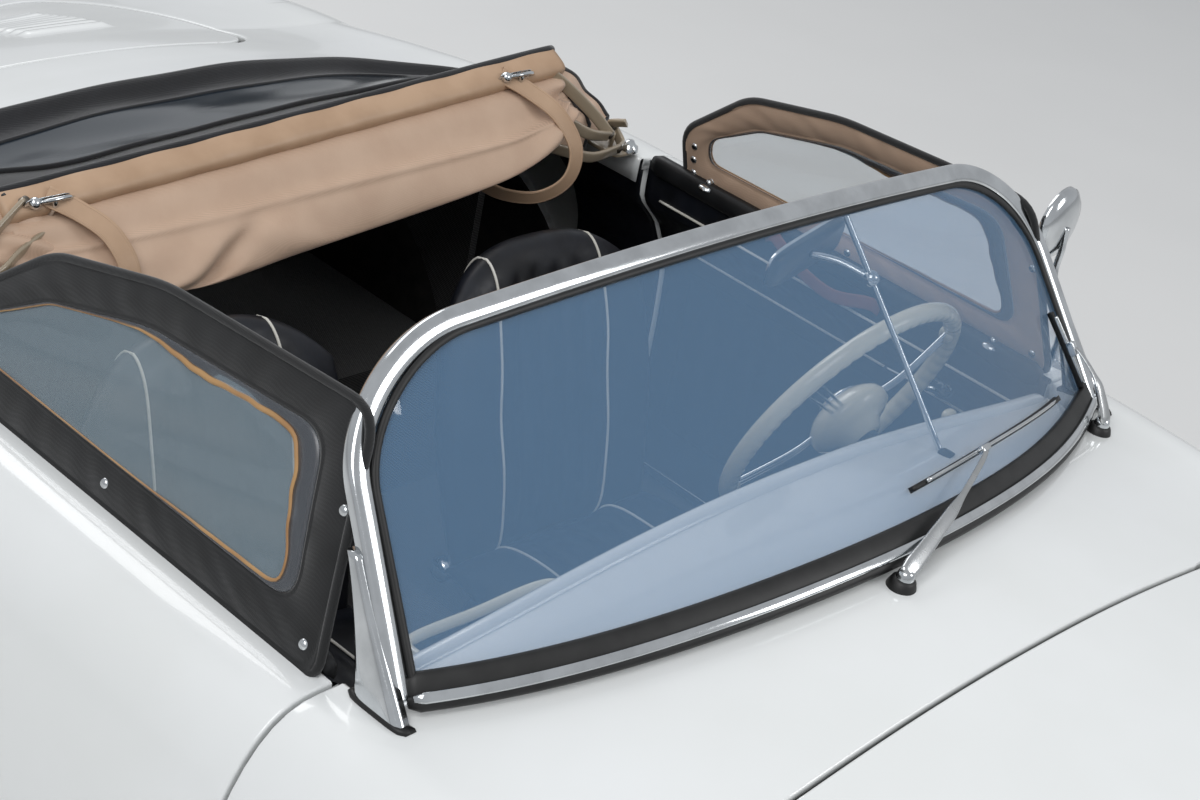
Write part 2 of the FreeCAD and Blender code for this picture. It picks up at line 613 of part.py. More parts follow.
def build_floor():
    """The floor pan with its tunnel, sills and jacking sockets, the stepped bulkhead, the tub and the shelf."""
    t, floor = size["floor_wall"], size["floor_height"]
    wide, narrow, tub = size["floor_half_width"], size["tub_half_width"] + 18, size["tub_half_width"]
    step, front, back = size["bulkhead"] - 150, size["bulkhead"], REAR_AXLE + size["tyre_radius"] + 40
    pan = slab(back, step, -wide, wide, floor, floor + t)
    pan = pan.fuse(slab(step, front, -narrow, narrow, floor, floor + t))
    side, top = size["tunnel_half_width"], floor + size["tunnel_height"]
    tunnel = slab(back, step, -side, side, floor + t, top)
    hollow = slab(back + t, step - t, t - side, side - t, floor - 1, top - t)
    stations = (DOOR_REAR - 70, DOOR_REAR + 60, size["door_front"] + GAP, size["door_front"] + GAP + PILLAR - 12)
    inside = [(x, smooth(WAIST, x) - size["door_wall"] - SEAT) for x in stations]
    sill = prism([(stations[0], wide)] + inside + [(stations[-1], wide)], floor, size["door_foot"])
    foot = Vector(size["jack_x"], wide + 55, floor - 6)
    socket = Part.makeCylinder(size["jack_bore"] + 10, size["jack_depth"], foot)
    sill = sill.fuse(socket).cut(Part.makeCylinder(size["jack_bore"], size["jack_depth"], foot))
    keep(feature("floor_pan", pan.fuse(tunnel).fuse(sill).fuse(mirror_y(sill)).cut(hollow)), "floor_pan")
    low = size["dash_height"] - 185
    half = slab(front, front + t, 0, narrow, floor + t, low + 110)
    half = half.fuse(slab(step, front + t, narrow, narrow + t, floor, low + 60))
    half = half.fuse(slab(step, step + t, narrow + t, smooth(WAIST, step) - 84, floor, low))
    keep(feature("bulkhead", both_sides(half)), "bulkhead")
    tub_z, tub_end = size["tub_floor"], NOSE_START + 330
    tray = slab(front + t, tub_end, -tub, tub, tub_z, tub_z + 190).cut(
        slab(front, tub_end - t, -tub + t, tub - t, tub_z + t, tub_z + 200))
    keep(feature("luggage_tub", tray), "luggage_tub")
    shelf_y, shelf_z, shelf_end = size["shelf_half_width"], size["shelf_height"], REAR_AXLE - 40
    shelf = slab(shelf_end, back, 0, shelf_y, shelf_z, shelf_z + t)
    shelf = shelf.fuse(slab(back, back + t, 0, wide, floor + t, shelf_z + t))
    shelf = shelf.fuse(slab(shelf_end, back, shelf_y, shelf_y + t, shelf_z, 770))
    shelf = shelf.fuse(slab(shelf_end - t, shelf_end, 0, shelf_y + t, shelf_z, 770))
    tunnel_room = slab(back - 1, back + t + 1, -side, side, floor, top)
    keep(feature("rear_shelf", both_sides(shelf).cut(tunnel_room)), "rear_shelf")


# The windscreen

def cowl_height(x, y):
    """The height of the body's upper surface between the crowns."""
    rib = Rib(x=x)
    return rib.top(1 - abs(y) / (rib.span - rib.inset)).z


def screen_at(share, up):
    """A point of the windscreen's middle surface: share runs across from -1 to 1, up from foot to top rail."""
    x = size["screen_base"] + (size["screen_base_end"] - size["screen_base"]) * share**2
    y = size["screen_base_half"] * share
    base = Vector(x, y, cowl_height(x, y) + size["screen_frame_depth"] * 0.39 + size["screen_seat_gap"])
    drop = size["screen_top_height"] - size["screen_top_end_height"]
    top = Vector(size["screen_top"] - 6 * share**2, size["screen_top_half"] * share,
                 size["screen_top_height"] - drop * share**2)
    return base + (top - base) * up


def screen_line(share):
    """The foot, the direction up the screen, the direction out of it and the height along it."""
    foot, head = screen_at(share, 0), screen_at(share, 1)
    rise = head - foot
    length = rise.Length
    rise = rise.normalize()
    ahead = Vector(0, 1, 0).cross(rise).normalize()
    return foot, rise, ahead, length


def screen_slab(stations, low, high, near, far):
    """A ruled strip of the windscreen, from low to high up it and from near to far ahead of its middle.

    A height of 0 or more is measured from the foot, and one below 0 from the head.
    """
    sections = []
    for share in stations:
        foot, rise, ahead, length = screen_line(share)
        a, b = (foot + rise * (up if up >= 0 else length + up) for up in (low, high))
        corners = [a + ahead * near, b + ahead * near, b + ahead * far, a + ahead * far]
        sections.append(Part.makePolygon(corners + corners[:1]))
    return Part.makeLoft(sections, True, True)


SCREEN_SIDE = 1 - size["screen_frame_width"] / size["screen_top_half"]
SCREEN_STATIONS = [-SCREEN_SIDE, -0.8, -0.65, -0.5, -0.25, 0, 0.25, 0.5, 0.65, 0.8, SCREEN_SIDE]


def windscreen_frame():
    w, half = size["screen_frame_width"], size["screen_frame_depth"] / 2
    across = [-1] + SCREEN_STATIONS + [1]
    head = screen_slab(across, -w, -1e-6, -half, half)
    foot = screen_slab(across, 0, w, -half, half)
    post = screen_slab([SCREEN_SIDE, 1], 0, -1e-6, -half, half)
    return head.fuse(foot).fuse(post).fuse(mirror_y(post)).removeSplitter()


def build_windscreen_glass():
    edge = size["screen_frame_width"] + SEAT
    within = [s * (1 - 0.001 * (abs(s) == SCREEN_SIDE)) for s in SCREEN_STATIONS]
    half = size["screen_glass"] / 2
    glass = screen_slab(within, edge, -edge, -half, half)
    keep(feature("windscreen_glass", glass), "windscreen_glass")


# Each wiper: the spindle's share of the half width, the blade's shares, how far up its two edges lie, and
# the share and height where the arm holds it. The driver's blade is parked beside the post.
WIPERS = [(-0.07, (0.09, 0.25, 0.5, 0.65, 0.75), 62, 72, 0.34, 67),
          (0.90, (0.905, 0.925), 50, 250, 0.915, 150)]


def build_wipers():
    """Both wipers: a housing on the scuttle, an arm and a blade that lies on the glass."""
    glass = size["screen_glass"] / 2 + SEAT
    thick = size["wiper_rubber"] + 2
    solids = []
    for spindle, blade, low, high, held, held_at in WIPERS:
        foot = screen_at(spindle, 0)
        x, y = foot.x + size["wiper_spindle"], foot.y
        base = Vector(x, y, cowl_height(x, y) - 0.9)
        boss = Part.makeCylinder(size["wiper_boss"], size["wiper_rise"], base)
        start = base + Vector(0, 0, size["wiper_rise"] - 5)
        line, rise, ahead, _ = screen_line(held)
        end = line + rise * held_at + ahead * (glass + thick + 2)
        arm = Part.makeCylinder(4, (end - start).Length, start, end - start)
        rubber = screen_slab(blade, low, high, glass, glass + thick)
        solids.append(boss.fuse(arm).fuse(rubber))
    keep(feature("wipers", Part.makeCompound(solids)), "wipers")


def build_dashboard():
    """The dashboard's face and top, under the scuttle, with the column's hole."""
    rear, front, lower = size["dash_rear"], size["screen_base"] - 75, 205
    half = size["screen_base_half"] - 45
    sections = []
    for y in (-half, -half * 0.7, -half * 0.35, 0, half * 0.35, half * 0.7, half):
        top, far = cowl_height(rear, y) - 12, cowl_height(front, y) - 14
        profile = [(rear + 55, top - lower), (rear + 8, top - lower + 15), (rear, top - 24), (rear + 16, top),
                   (front, far), (front, far - 30), (rear + 75, top - 60), (rear + 75, top - lower)]
        sections.append(Part.makePolygon([Vector(x, y, z) for x, z in profile + profile[:1]]))
    whole = Part.makeLoft(sections, True, True)
    column = Part.makeCylinder(size["column_radius"] + 0.2, 500, steering_centre(), steering_axis())
    keep(feature("dashboard", whole.cut(column)), "dashboard")


def steering_centre():
    return Vector(size["steer_x"], size["steer_y"], size["steer_z"])


def steering_axis():
    rake = math.radians(size["steer_rake"])
    return Vector(math.cos(rake), 0, -math.sin(rake))


def build_steering():
    """The steering wheel with its hub and spokes, and the column that stays with the body."""
    centre, axis = steering_centre(), steering_axis()
    rim = Part.makeTorus(size["steer_radius"], size["steer_rim"], centre, axis)
    hub = Part.makeCylinder(52, 46, centre, axis)
    shaft = Part.makeCylinder(17, 60, centre + axis * 40, axis)
    wheel = hub.fuse(shaft)
    side = Vector(0, 1, 0)
    for turn in (-35, 35, 145, 215):
        spoke = Part.makeCylinder(7, size["steer_radius"], centre + axis * 8, side)
        spoke.rotate(centre, axis, turn)
        wheel = wheel.fuse(spoke)
    keep(feature("steering_wheel", wheel.fuse(rim)), "steering_wheel")
    start = centre + axis * (100 + RUN)
    tube = Part.makeCylinder(size["column_radius"], size["column_length"], start, axis)
    keep(feature("steering_column", tube), "steering_column")


def build_controls():
    """The gear lever on the tunnel, and the three pedals in front of the driver."""
    foot = Vector(size["lever_x"], 0, size["floor_height"] + size["tunnel_height"] + SEAT)
    knob = foot + Vector(-size["lever_lean"], 0, size["lever_rise"])
    boot = Part.makeCone(34, 12, 40, foot)
    rod = Part.makeCylinder(6, (knob - foot).Length, foot + Vector(0, 0, 6), knob - foot)
    keep(feature("gear_lever", boot.fuse(rod).fuse(Part.makeSphere(18, knob))), "gear_lever")
    floor = size["floor_height"] + size["floor_wall"] + SEAT
    solids = []
    for k in (-1, 0, 1):
        start = Vector(size["pedal_x"], size["pedal_y"] + k * size["pedal_pitch"], floor)
        end = start + Vector(-30, 0, size["pedal_rise"])
        stalk = Part.makeCylinder(6, (end - start).Length, start + Vector(0, 0, 3), end - start)
        heel = slab(start.x - 14, start.x + 8, start.y - 12, start.y + 12, floor, floor + 10)
        pad = slab(end.x - 9, end.x + 3, end.y - 26, end.y + 26, end.z - 34, end.z + 34)
        solids.append(stalk.fuse(heel).fuse(pad))
    keep(feature("pedals", Part.makeCompound(solids)), "pedals")


def build_seats():
    for side, stem in ((1, "left"), (-1, "right")):
        formulas = [("Sizes.seat_back_foot - 60", "Sizes.seat_cushion_height - Sizes.seat_cushion_thick"),
                    ("Sizes.seat_cushion_front - 20", "Sizes.seat_cushion_height - Sizes.seat_cushion_thick"),
                    ("Sizes.seat_cushion_front", "Sizes.seat_cushion_height + 10"),
                    ("Sizes.seat_back_foot + 40", "Sizes.seat_cushion_height - 10"),
                    ("Sizes.seat_back_foot + 25", "Sizes.seat_cushion_height + 10"),
                    ("Sizes.seat_back_foot - 85", "Sizes.seat_cushion_height + Sizes.seat_back_height"),
                    ("Sizes.seat_back_foot - 85 - Sizes.seat_back_thick",
                     "Sizes.seat_cushion_height + Sizes.seat_back_height - 20"),
                    ("Sizes.seat_back_foot - Sizes.seat_back_thick", "Sizes.seat_cushion_height - 60")]
        body = plate(f"Seat_{stem}", "XZ_Plane", formulas, "Sizes.seat_width")
        place(body, y=f"{side} * Sizes.seat_middle")
        floor = "Sizes.floor_height + Sizes.floor_wall"
        runners = []
        for k in (-1, 1):
            runners.append(box(f"Runner_{stem}_{k}", "Sizes.seat_cushion_front - Sizes.seat_back_foot - 60", "24",
                               f"Sizes.seat_cushion_height - Sizes.seat_cushion_thick - ({floor})",
                               "Sizes.seat_back_foot", f"{side} * Sizes.seat_middle + {k} * 150 - 12", floor))
        keep(fused(f"Seat_assembly_{stem}", [body] + runners), f"seat_{stem}")


def build_curtains():
    """Each side curtain: a fabric frame on the door, with a flexible window in its middle."""
    foot_y, base = size["curtain_foot"], size["curtain_base"]
    t, band = size["curtain_thick"], size["curtain_band"]
    rear, front = DOOR_REAR + 74, size["door_front"] - 14
    low_top, high_top = size["curtain_rear_height"], size["curtain_front_height"]
    corners = [(rear, 0), (front, 0), (front - 58, high_top), (0, high_top - 20), (rear + 130, low_top),
               (rear - 4, 90)]
    radii = [12, 12, 30, 200, 90, 40]

    def sheet_of(edges, thick):
        face = Part.Face(Part.Wire(edges))
        solid = face.extrude(Vector(0, 0, thick))
        solid.translate(Vector(0, 0, -thick / 2))
        solid.rotate(Vector(), Vector(1, 0, 0), 90)
        solid.rotate(Vector(), Vector(1, 0, 0), size["curtain_lean"])
        solid.translate(Vector(0, foot_y, base))
        return solid

    outer = rounded_plan(corners, radii)
    inner_corners = [(rear + band, 52), (front - band - 14, 52), (front - 58 - band, high_top - band),
                     (0, high_top - 20 - band), (rear + 150, low_top - band), (rear + band, 95)]
    inner_radii = [20, 20, 30, 160, 60, 30]
    window = rounded_plan(inner_corners, inner_radii)
    frame = sheet_of(outer, t).cut(sheet_of(window, t * 3))
    pair(frame, "curtain")
    face = Part.Face(Part.Wire(window)).makeOffset2D(-0.3)
    pair(sheet_of(face.OuterWire.Edges, 2), "curtain_window")


def build_hood():
    """The stowed hood: its folded fabric, the header bow with its latches, the irons and the rear window flap."""
    x, z = size["bow_x"], size["bow_z"]
    fx, fz, half = size["hood_fold_x"], size["hood_fold_z"], size["hood_half"]
    profile = [(fx - 30, fz - 60), (fx, fz), (fx - 40, fz + 50), (x + 22, z - 10), (x - 22, z - 10),
               (x - 60, z - 60), (x - 180, z - 90), (x - 250, fz + 20), (x - 230, fz - 60)]
    face = Part.Face(Part.makePolygon([Vector(a, 0, b) for a, b in profile + profile[:1]]))
    stack = face.extrude(Vector(0, 2 * half, 0))
    stack.translate(Vector(0, -half, 0))
    keep(feature("hood_fabric", stack), "hood_fabric")
    bow = slab(x - 24, x + 24, -size["bow_half"], size["bow_half"], z - 9.5, z + 24)
    latch = slab(x + 24, x + 60, 395, 425, z - 6, z + 34)
    w, t = size["iron_width"], size["iron_thick"]
    pivot = Vector(size["hood_pivot_x"], size["hood_pivot_y"], size["belt_height"] + 12)
    iron = bar_between(Vector(x, size["bow_half"] + 5, z + 4), pivot + Vector(0, -14, 14), w, t)
    link = bar_between(Vector(x - 60, size["hood_half"] + 6, z - 40), pivot + Vector(40, -24, 22), w, t)
    bracket = slab(pivot.x - 26, pivot.x + 46, pivot.y - 40, pivot.y + 66, BELT - 12, BELT + 10)
    bracket = bracket.cut(next(p for p in parts if p.Label == "rear_wing_left").Shape)
    ear = slab(pivot.x - 20, pivot.x + 52, pivot.y - 26, pivot.y - 10, BELT + 4, BELT + 44)
    half_frame = latch.fuse(iron).fuse(link).fuse(bracket).fuse(ear)
    keep(feature("hood_frame", bow.fuse(half_frame).fuse(mirror_y(half_frame))), "hood_frame")


def bar_between(start, end, width, thick):
    """A flat bar on edge from one point to another."""
    run = end - start
    bar = Part.makeBox(run.Length, thick, width, Vector(0, -thick / 2, -width / 2))
    bar.rotate(Vector(), Vector(0, 1, 0), -math.degrees(math.asin(run.z / run.Length)))
    bar.rotate(Vector(), Vector(0, 0, 1), math.degrees(math.atan2(run.y, run.x)))
    bar.translate(start)
    return bar


def bent_bar(end, way, half, height, depth, wall, reach):
    """A bumper blade curved round the body's end."""
    outer = [Vector(end, 0, 0), Vector(end - way * 45, half * 0.62, 0), Vector(end - way * 150, half * 0.95, 0),
             Vector(end - way * reach, half + 40, 0)]
    path = outer + [v + Vector(-way * wall, -wall * 0.5, 0) for v in reversed(outer)]
    path = [Vector(v.x, max(v.y, 0), 0) for v in path]
    face = Part.Face(Part.makePolygon(path + path[:1]))
    face.translate(Vector(0, 0, height - depth / 2))
    return both_sides(face.extrude(Vector(0, 0, depth)))


def bumper_bracket(way, grow=0.0):
    """The arm that carries the bumper's left half, from inside the body to the blade."""
    end = bumper_face(way)
    low, high = sorted(((NOSE if way > 0 else TAIL) - way * 70, end - way * 36))
    z = size["bumper_height"]
    return slab(low - grow, high + grow, 240 - grow, 290 + grow, z - 20 - grow, z + 20 + grow)


def bumper_face(way):
    """The blade's face, behind its guards."""
    return (FRONT_END if way > 0 else REAR_END) - way * 18


def build_bumpers():
    z, depth, wall = size["bumper_height"], size["bumper_depth"], size["bumper_wall"]
    for way, stem in ((1, "front"), (-1, "rear")):
        end = bumper_face(way)
        bar = bent_bar(end, way, size["bumper_half"], z, depth, wall, 330)
        low, high = sorted((end + way * 18, end - way * 50))
        guard = slab(low, high, 300, 345, z - size["guard_height"] / 2 - 10, z + size["guard_height"] / 2)
        whole = bar.fuse(both_sides(guard)).fuse(both_sides(bumper_bracket(way)))
        keep(feature(f"bumper_{stem}", whole), f"bumper_{stem}")


def tail_lamp():
    """A round lamp, let into the tail."""
    face = Vector(TAIL + size["tail_lamp_face"], size["tail_lamp_y"], size["tail_lamp_z"])
    return Part.makeCylinder(size["tail_lamp_radius"], 130, face, Vector(1, 0, 0))


def side_lamp(grow=0.0):
    """A small round lamp, let into the nose under the headlamp."""
    face = Vector(NOSE - size["side_lamp_face"], size["side_lamp_y"], size["side_lamp_z"])
    return Part.makeCylinder(size["side_lamp_radius"] + grow, 90, face, Vector(-1, 0, 0))


def build_lamps():
    r, y, z, face = size["lamp_radius"], size["lamp_y"], size["lamp_z"], LAMP_FACE
    bucket = Part.makeCylinder(r, 150, Vector(face - 150, y, z), Vector(1, 0, 0)).cut(
        Part.makeCylinder(r - 6, 140, Vector(face - 134, y, z), Vector(1, 0, 0)))
    lens = Part.makeCylinder(r - 6, 12, Vector(face - 22, y, z), Vector(1, 0, 0))
    lamp = bucket.fuse(lens)
    keep(feature("headlamps", lamp.fuse(mirror_y(lamp))), "headlamps")
    small = side_lamp()
    keep(feature("side_lamps", small.fuse(mirror_y(small))), "side_lamps")


def build_front_axle():
    r, gap = size["axle_tube_radius"], size["axle_tube_spacing"]
    x, z = FRONT_AXLE + 105, size["tyre_radius"] + 30
    pin = size["track_front"] / 2 - size["kingpin_inset"]
    tubes = [cylinder_y(r, x, z + k * gap / 2, -(pin - 130), pin - 130) for k in (-1, 1)]
    tie = slab(x - 12, x + 12, 130, 150, z - gap / 2, z + gap / 2)
    link = slab(FRONT_AXLE - 18, FRONT_AXLE + 18, pin - 108, pin - 24 - RUN, z - gap / 2 - 17, z + gap / 2 + 17)
    tower = slab(x - 26, x + 26, 250, 276, z + gap / 2, size["tub_floor"])
    half = tie.fuse(link).fuse(tower)
    for k in (-1, 1):
        level = z + k * gap / 2
        half = half.fuse(slab(FRONT_AXLE - 14, x + 20, pin - 132, pin - 108, level - 17, level + 17))
    whole = tubes[0].fuse(tubes[1]).fuse(half).fuse(mirror_y(half)).removeSplitter()
    keep(feature("front_axle", whole), "front_axle")
    for side, stem in ((1, "left"), (-1, "right")):
        y = size["track_front"] / 2
        kingpin = Part.makeCylinder(24, 120, Vector(FRONT_AXLE, pin, z - 80))
        stub = cylinder_y(20, FRONT_AXLE, size["tyre_radius"], pin, y + 10 - RUN)
        shape = kingpin.fuse(stub)
        keep(feature(f"knuckle_{stem}", shape if side > 0 else mirror_y(shape)), f"knuckle_{stem}")


def build_rear_axle():
    """The gearbox with its swing axle tubes, the torsion bar tube, the trailing arms and the brake plates."""
    y, z, wall = size["track_rear"] / 2, size["tyre_radius"], REAR_AXLE + size["tyre_radius"] + 40
    bar_x = wall - 40 - SEAT
    case = slab(REAR_AXLE - 160, REAR_AXLE + 240, 0, 110, z - 110, z + 70)
    neck = slab(REAR_AXLE + 240, bar_x - 20, 0, 60, z - 30, z + 30)
    tube = Part.makeCylinder(34, y - 195, Vector(REAR_AXLE, 100, z), Vector(0, 1, 0))
    shaft = Part.makeCylinder(20, 150 - RUN, Vector(REAR_AXLE, y + 10 - 150, z), Vector(0, 1, 0))
    bar = Part.makeCylinder(40, y - 200, Vector(bar_x, 0, z), Vector(0, 1, 0))
    arm = slab(REAR_AXLE - 20, bar_x + 20, y - 210, y - 196, z - 40, z + 40)
    drum = Part.makeCylinder(75, 16, Vector(REAR_AXLE, y - 110, z), Vector(0, 1, 0))
    half = case.fuse(neck).fuse(tube).fuse(shaft).fuse(bar).fuse(arm).fuse(drum)
    keep(feature("rear_axle", half.fuse(mirror_y(half))), "rear_axle")


def build_engine():
    x = REAR_AXLE - 160
    length = size["engine_length"]
    block = box("Crankcase", "Sizes.engine_length", "Sizes.engine_width", "Sizes.engine_height",
                "Sizes.front_axle - Sizes.wheelbase - 160 - Sizes.engine_length", "-Sizes.engine_width / 2",
                "Sizes.tyre_radius - 80")
    keep(block, "engine")
    muffler = Part.makeCylinder(62, 520, Vector(x - length - 75, -260, size["tyre_radius"] - 60), Vector(0, 1, 0))
    pipe = Part.makeCylinder(20, 120, Vector(x - length - 75, 90, size["tyre_radius"] - 60), Vector(-1, 0, 0))
    header = Part.makeCylinder(22, 60, Vector(x - length, 180, size["tyre_radius"] - 45), Vector(-1, 0, 0))
    half = pipe.fuse(header)
    keep(feature("exhaust", muffler.fuse(half).fuse(mirror_y(half))), "exhaust")


def tyre_profile():
    r, w, bead = "Sizes.tyre_radius", "Sizes.tyre_width / 2", "Sizes.rim_radius"
    flange = "Sizes.rim_width / 2"
    s = "Sizes.tyre_shoulder"
    return [(bead, f"-{flange}"), (f"{bead} + 14", f"-{flange}"), (f"{bead} + 50", f"-{w}"),
            (f"{r} - {s}", f"-{w} + 2"), (r, f"-{w} + {s}"), (r, f"{w} - {s}"), (f"{r} - {s}", f"{w} - 2"),
            (f"{bead} + 50", w), (f"{bead} + 14", flange), (bead, flange),
            (f"{bead} + 14", f"{flange} - 10"), (f"{r} - 26", f"{w} - {s}"), (f"{r} - 26", f"-{w} + {s}"),
            (f"{bead} + 14", f"-{flange} + 10")]


def rim_profile():
    r, w, t = "Sizes.rim_radius", "Sizes.rim_width / 2", "Sizes.rim_wall"
    return [("0", "10"), ("Sizes.hub_radius", "10"), ("Sizes.hubcap_radius", "32"), (f"{r} - 30", "12"),
            (f"{r} - 22", f"{w} - 12"), (f"{r} - 0.3", f"{w} - 12"), (f"{r} - 0.3", f"{w} + 1"),
            (f"{r} + 12", f"{w} + 1"), (f"{r} + 12", f"{w} + 7"), (f"{r} - {t}", f"{w} + 7"),
            (f"{r} - {t}", f"{w} - 4"), (f"{r} - 30", f"{w} - 4"), (f"{r} - 38", "22"), ("Sizes.hubcap_radius", "44"),
            ("Sizes.hubcap_radius - 30", "60"), ("0", "68")]


def build_wheels():
    for end, track in (("front", "Sizes.track_front"), ("rear", "Sizes.track_rear")):
        for side, stem in ((1, "left"), (-1, "right")):
            name = f"{end}_{stem}"
            centre = "Sizes.front_axle" + ("" if end == "front" else " - Sizes.wheelbase")
            tyre = turned(f"Tyre_{name}", tyre_profile())
            rim = turned(f"Rim_{name}", rim_profile())
            for body in (tyre, rim):
                place(body, centre, f"{side} * {track} / 2", "Sizes.tyre_radius", (1, 0, 0), f"{-90 * side}")
            keep(tyre, f"tyre_{name}")
            keep(rim, f"rim_{name}")


def build_fittings():
    """The outside mirror on the driver's door, and the inside mirror on its rod behind the windscreen."""
    x, y, z = size["mirror_x"], size["mirror_y"], size["mirror_z"]
    head = Part.makeCylinder(size["mirror_radius"], 20, Vector(x, y, z), Vector(1, 0, 0))
    stem = Part.makeCylinder(6, z - BELT - 4, Vector(x + 53, y, BELT), Vector(-0.22, 0, 1))
    foot = slab(x - 12, x + 104, y - 14, y + 14, BELT - 38, BELT + 2)
    door = next(p for p in parts if p.Label == "door_left").Shape
    keep(feature("door_mirror", head.fuse(stem).fuse(foot).cut(door)), "door_mirror")
    share = size["inside_mirror_share"]
    _, rise, ahead, _ = screen_line(share)
    rail = screen_at(0.25, 1) + (screen_at(0.5, 1) - screen_at(0.25, 1)) * ((share - 0.25) / 0.25)
    pad_at = rail - rise * (size["screen_frame_width"] / 2) - ahead * (size["screen_frame_depth"] / 2 + 0.7)
    pad = Part.makeCylinder(8, 6, pad_at, -ahead)
    x, y = size["inside_mirror_foot_x"], size["inside_mirror_foot_y"]
    top, base = pad_at - ahead * 6, Vector(x, y, cowl_height(x, y) - 11.2)
    stalk = Part.makeCylinder(4, (top - base).Length, base, top - base)
    middle = Vector(size["inside_mirror_x"], size["inside_mirror_y"], size["inside_mirror_z"])
    half, rise = size["inside_mirror_width"] / 2, size["inside_mirror_height"] / 2
    glass = slab(middle.x - 6, middle.x + 6, middle.y - half, middle.y + half, middle.z - rise, middle.z + rise)
    at = base + (top - base) * 0.72
    joint = Part.makeCylinder(6, (at - middle).Length, middle, at - middle)
    keep(feature("inside_mirror", pad.fuse(stalk).fuse(glass).fuse(joint)), "inside_mirror")


if __name__ == "__main__":
    for build in (build_front, build_rear, build_floor, build_windscreen_glass, build_wipers, build_dashboard,
                  build_steering, build_controls, build_seats, build_curtains, build_hood, build_bumpers,
                  build_lamps, build_front_axle, build_rear_axle, build_engine, build_wheels, build_fittings):
        build()
    doc.recompute()
    failed = [thing.Label for thing in doc.Objects if {"Invalid", "Error"} & set(thing.State)]
    failed += [part.Label for part in parts if part.Shape.isNull() or not part.Shape.isValid()]
    if failed:
        raise RuntimeError(f"These pieces failed: {sorted(set(failed))}")
    os.makedirs("parts", exist_ok=True)
    for part in parts:
        b = part.Shape.BoundBox
        print(f"{part.Label:22s} {len(part.Shape.Solids)} {part.Shape.Volume / 1e6:7.2f}",
              [round(v) for v in (b.XMin, b.XMax, b.YMin, b.YMax, b.ZMin, b.ZMax)])
        part.Shape.exportStep(f"parts/{part.Label}.step")
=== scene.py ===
"""Dresses the roadster convertible: its panels, glass, soft trim, wheels and finishes, in metres.

+X is forward, +Y is the driver's left and +Z is up.
"""

import math

import bmesh
import bpy
import numpy as np
from mathutils import Matrix, Vector


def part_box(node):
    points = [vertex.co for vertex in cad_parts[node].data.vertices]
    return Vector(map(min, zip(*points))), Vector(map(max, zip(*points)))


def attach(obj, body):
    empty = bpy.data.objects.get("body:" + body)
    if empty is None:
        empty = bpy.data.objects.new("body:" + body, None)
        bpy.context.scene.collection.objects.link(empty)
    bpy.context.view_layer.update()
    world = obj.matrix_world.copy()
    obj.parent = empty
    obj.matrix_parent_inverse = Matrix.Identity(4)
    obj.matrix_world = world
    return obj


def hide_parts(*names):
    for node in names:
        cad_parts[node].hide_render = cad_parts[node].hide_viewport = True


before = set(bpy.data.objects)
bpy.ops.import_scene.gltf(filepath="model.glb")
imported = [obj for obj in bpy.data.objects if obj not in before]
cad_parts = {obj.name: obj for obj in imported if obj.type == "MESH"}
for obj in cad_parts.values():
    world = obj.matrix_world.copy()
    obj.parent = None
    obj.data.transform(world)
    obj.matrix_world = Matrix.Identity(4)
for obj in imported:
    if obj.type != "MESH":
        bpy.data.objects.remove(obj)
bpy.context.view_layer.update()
X, Y, Z = np.eye(3)


# Places taken from the frame

def low(name):
    return np.array(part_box(name)[0])


def high(name):
    return np.array(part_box(name)[1])


def middle(name):
    return (low(name) + high(name)) / 2


NOSE, TAIL = high("front_wing_left")[0] - 0.001, low("rear_wing_left")[0]
NOSE_START, TAIL_START = NOSE - 0.635, TAIL + 0.730
FRONT_WHEEL, REAR_WHEEL = middle("tyre_front_left"), middle("tyre_rear_left")
FRONT_AXLE, REAR_AXLE = FRONT_WHEEL[0], REAR_WHEEL[0]
TYRE = high("tyre_front_left")[2] / 2
SILL = low("front_wing_left")[2]
HALF_WIDTH = 0.835
BELT, COWL, WAIST_HEIGHT = 0.850, 0.900, 0.470
DOOR_FRONT, DOOR_REAR, DOOR_FOOT = 0.402, -0.384, 0.268
SHUT = 0.0055
FRONT_ARCH, REAR_ARCH = 0.345, 0.338
LID_REAR, LID_FRONT = 0.790, 1.744
ENGINE_LID_FRONT, ENGINE_LID_REAR = -1.040, -1.660
COCKPIT_REAR, COCKPIT_SIDE = -0.815, 0.636
FRONT_LID_CORNER, ENGINE_LID_CORNER, COCKPIT_CORNER = 0.120, 0.090, 0.300
COCKPIT_HALF = COCKPIT_SIDE + 0.004
SCREEN_FOOT, SCREEN_BOW, SCREEN_HALF = 0.620, 0.154, 0.642
SCUTTLE_REAR = 0.025
FOOT_INSET = 0.068
SWELL = 0.096
FULLNESS = 2 / 2.3


# Numbers

def smooth(rows, x):
    """The smooth curve through rows of (x, value) with no overshoot, level past its ends."""
    xs, vs = np.array(sorted(rows)).T
    slope = np.diff(vs) / np.diff(xs)
    before, after = slope[:-1], slope[1:]
    alike = before * after > 0
    inner = np.where(alike, 2 * before * after / np.where(alike, before + after, 1), 0)
    tangent = np.concatenate([slope[:1], inner, slope[-1:]])
    x = np.clip(x, xs[0], xs[-1])
    i = np.clip(np.searchsorted(xs, x, side="right") - 1, 0, len(xs) - 2)
    span = xs[i + 1] - xs[i]
    u = (x - xs[i]) / span
    return (vs[i] * (1 + 2 * u) * (1 - u) ** 2 + vs[i + 1] * u * u * (3 - 2 * u)
            + span * tangent[i] * u * (1 - u) ** 2 - span * tangent[i + 1] * u * u * (1 - u))


def step(t):
    """0 below 0, 1 above 1, and 3t^2 - 2t^3 between."""
    t = np.clip(t, 0, 1)
    return t * t * (3 - 2 * t)


def spread(start, end, count, ends=0.0):
    """Count values from start to end, crowded towards both by the share that ends gives."""
    t = np.linspace(0, 1, count)
    return start + (end - start) * ((1 - ends) * t + ends * (1 - np.cos(np.pi * t)) / 2)


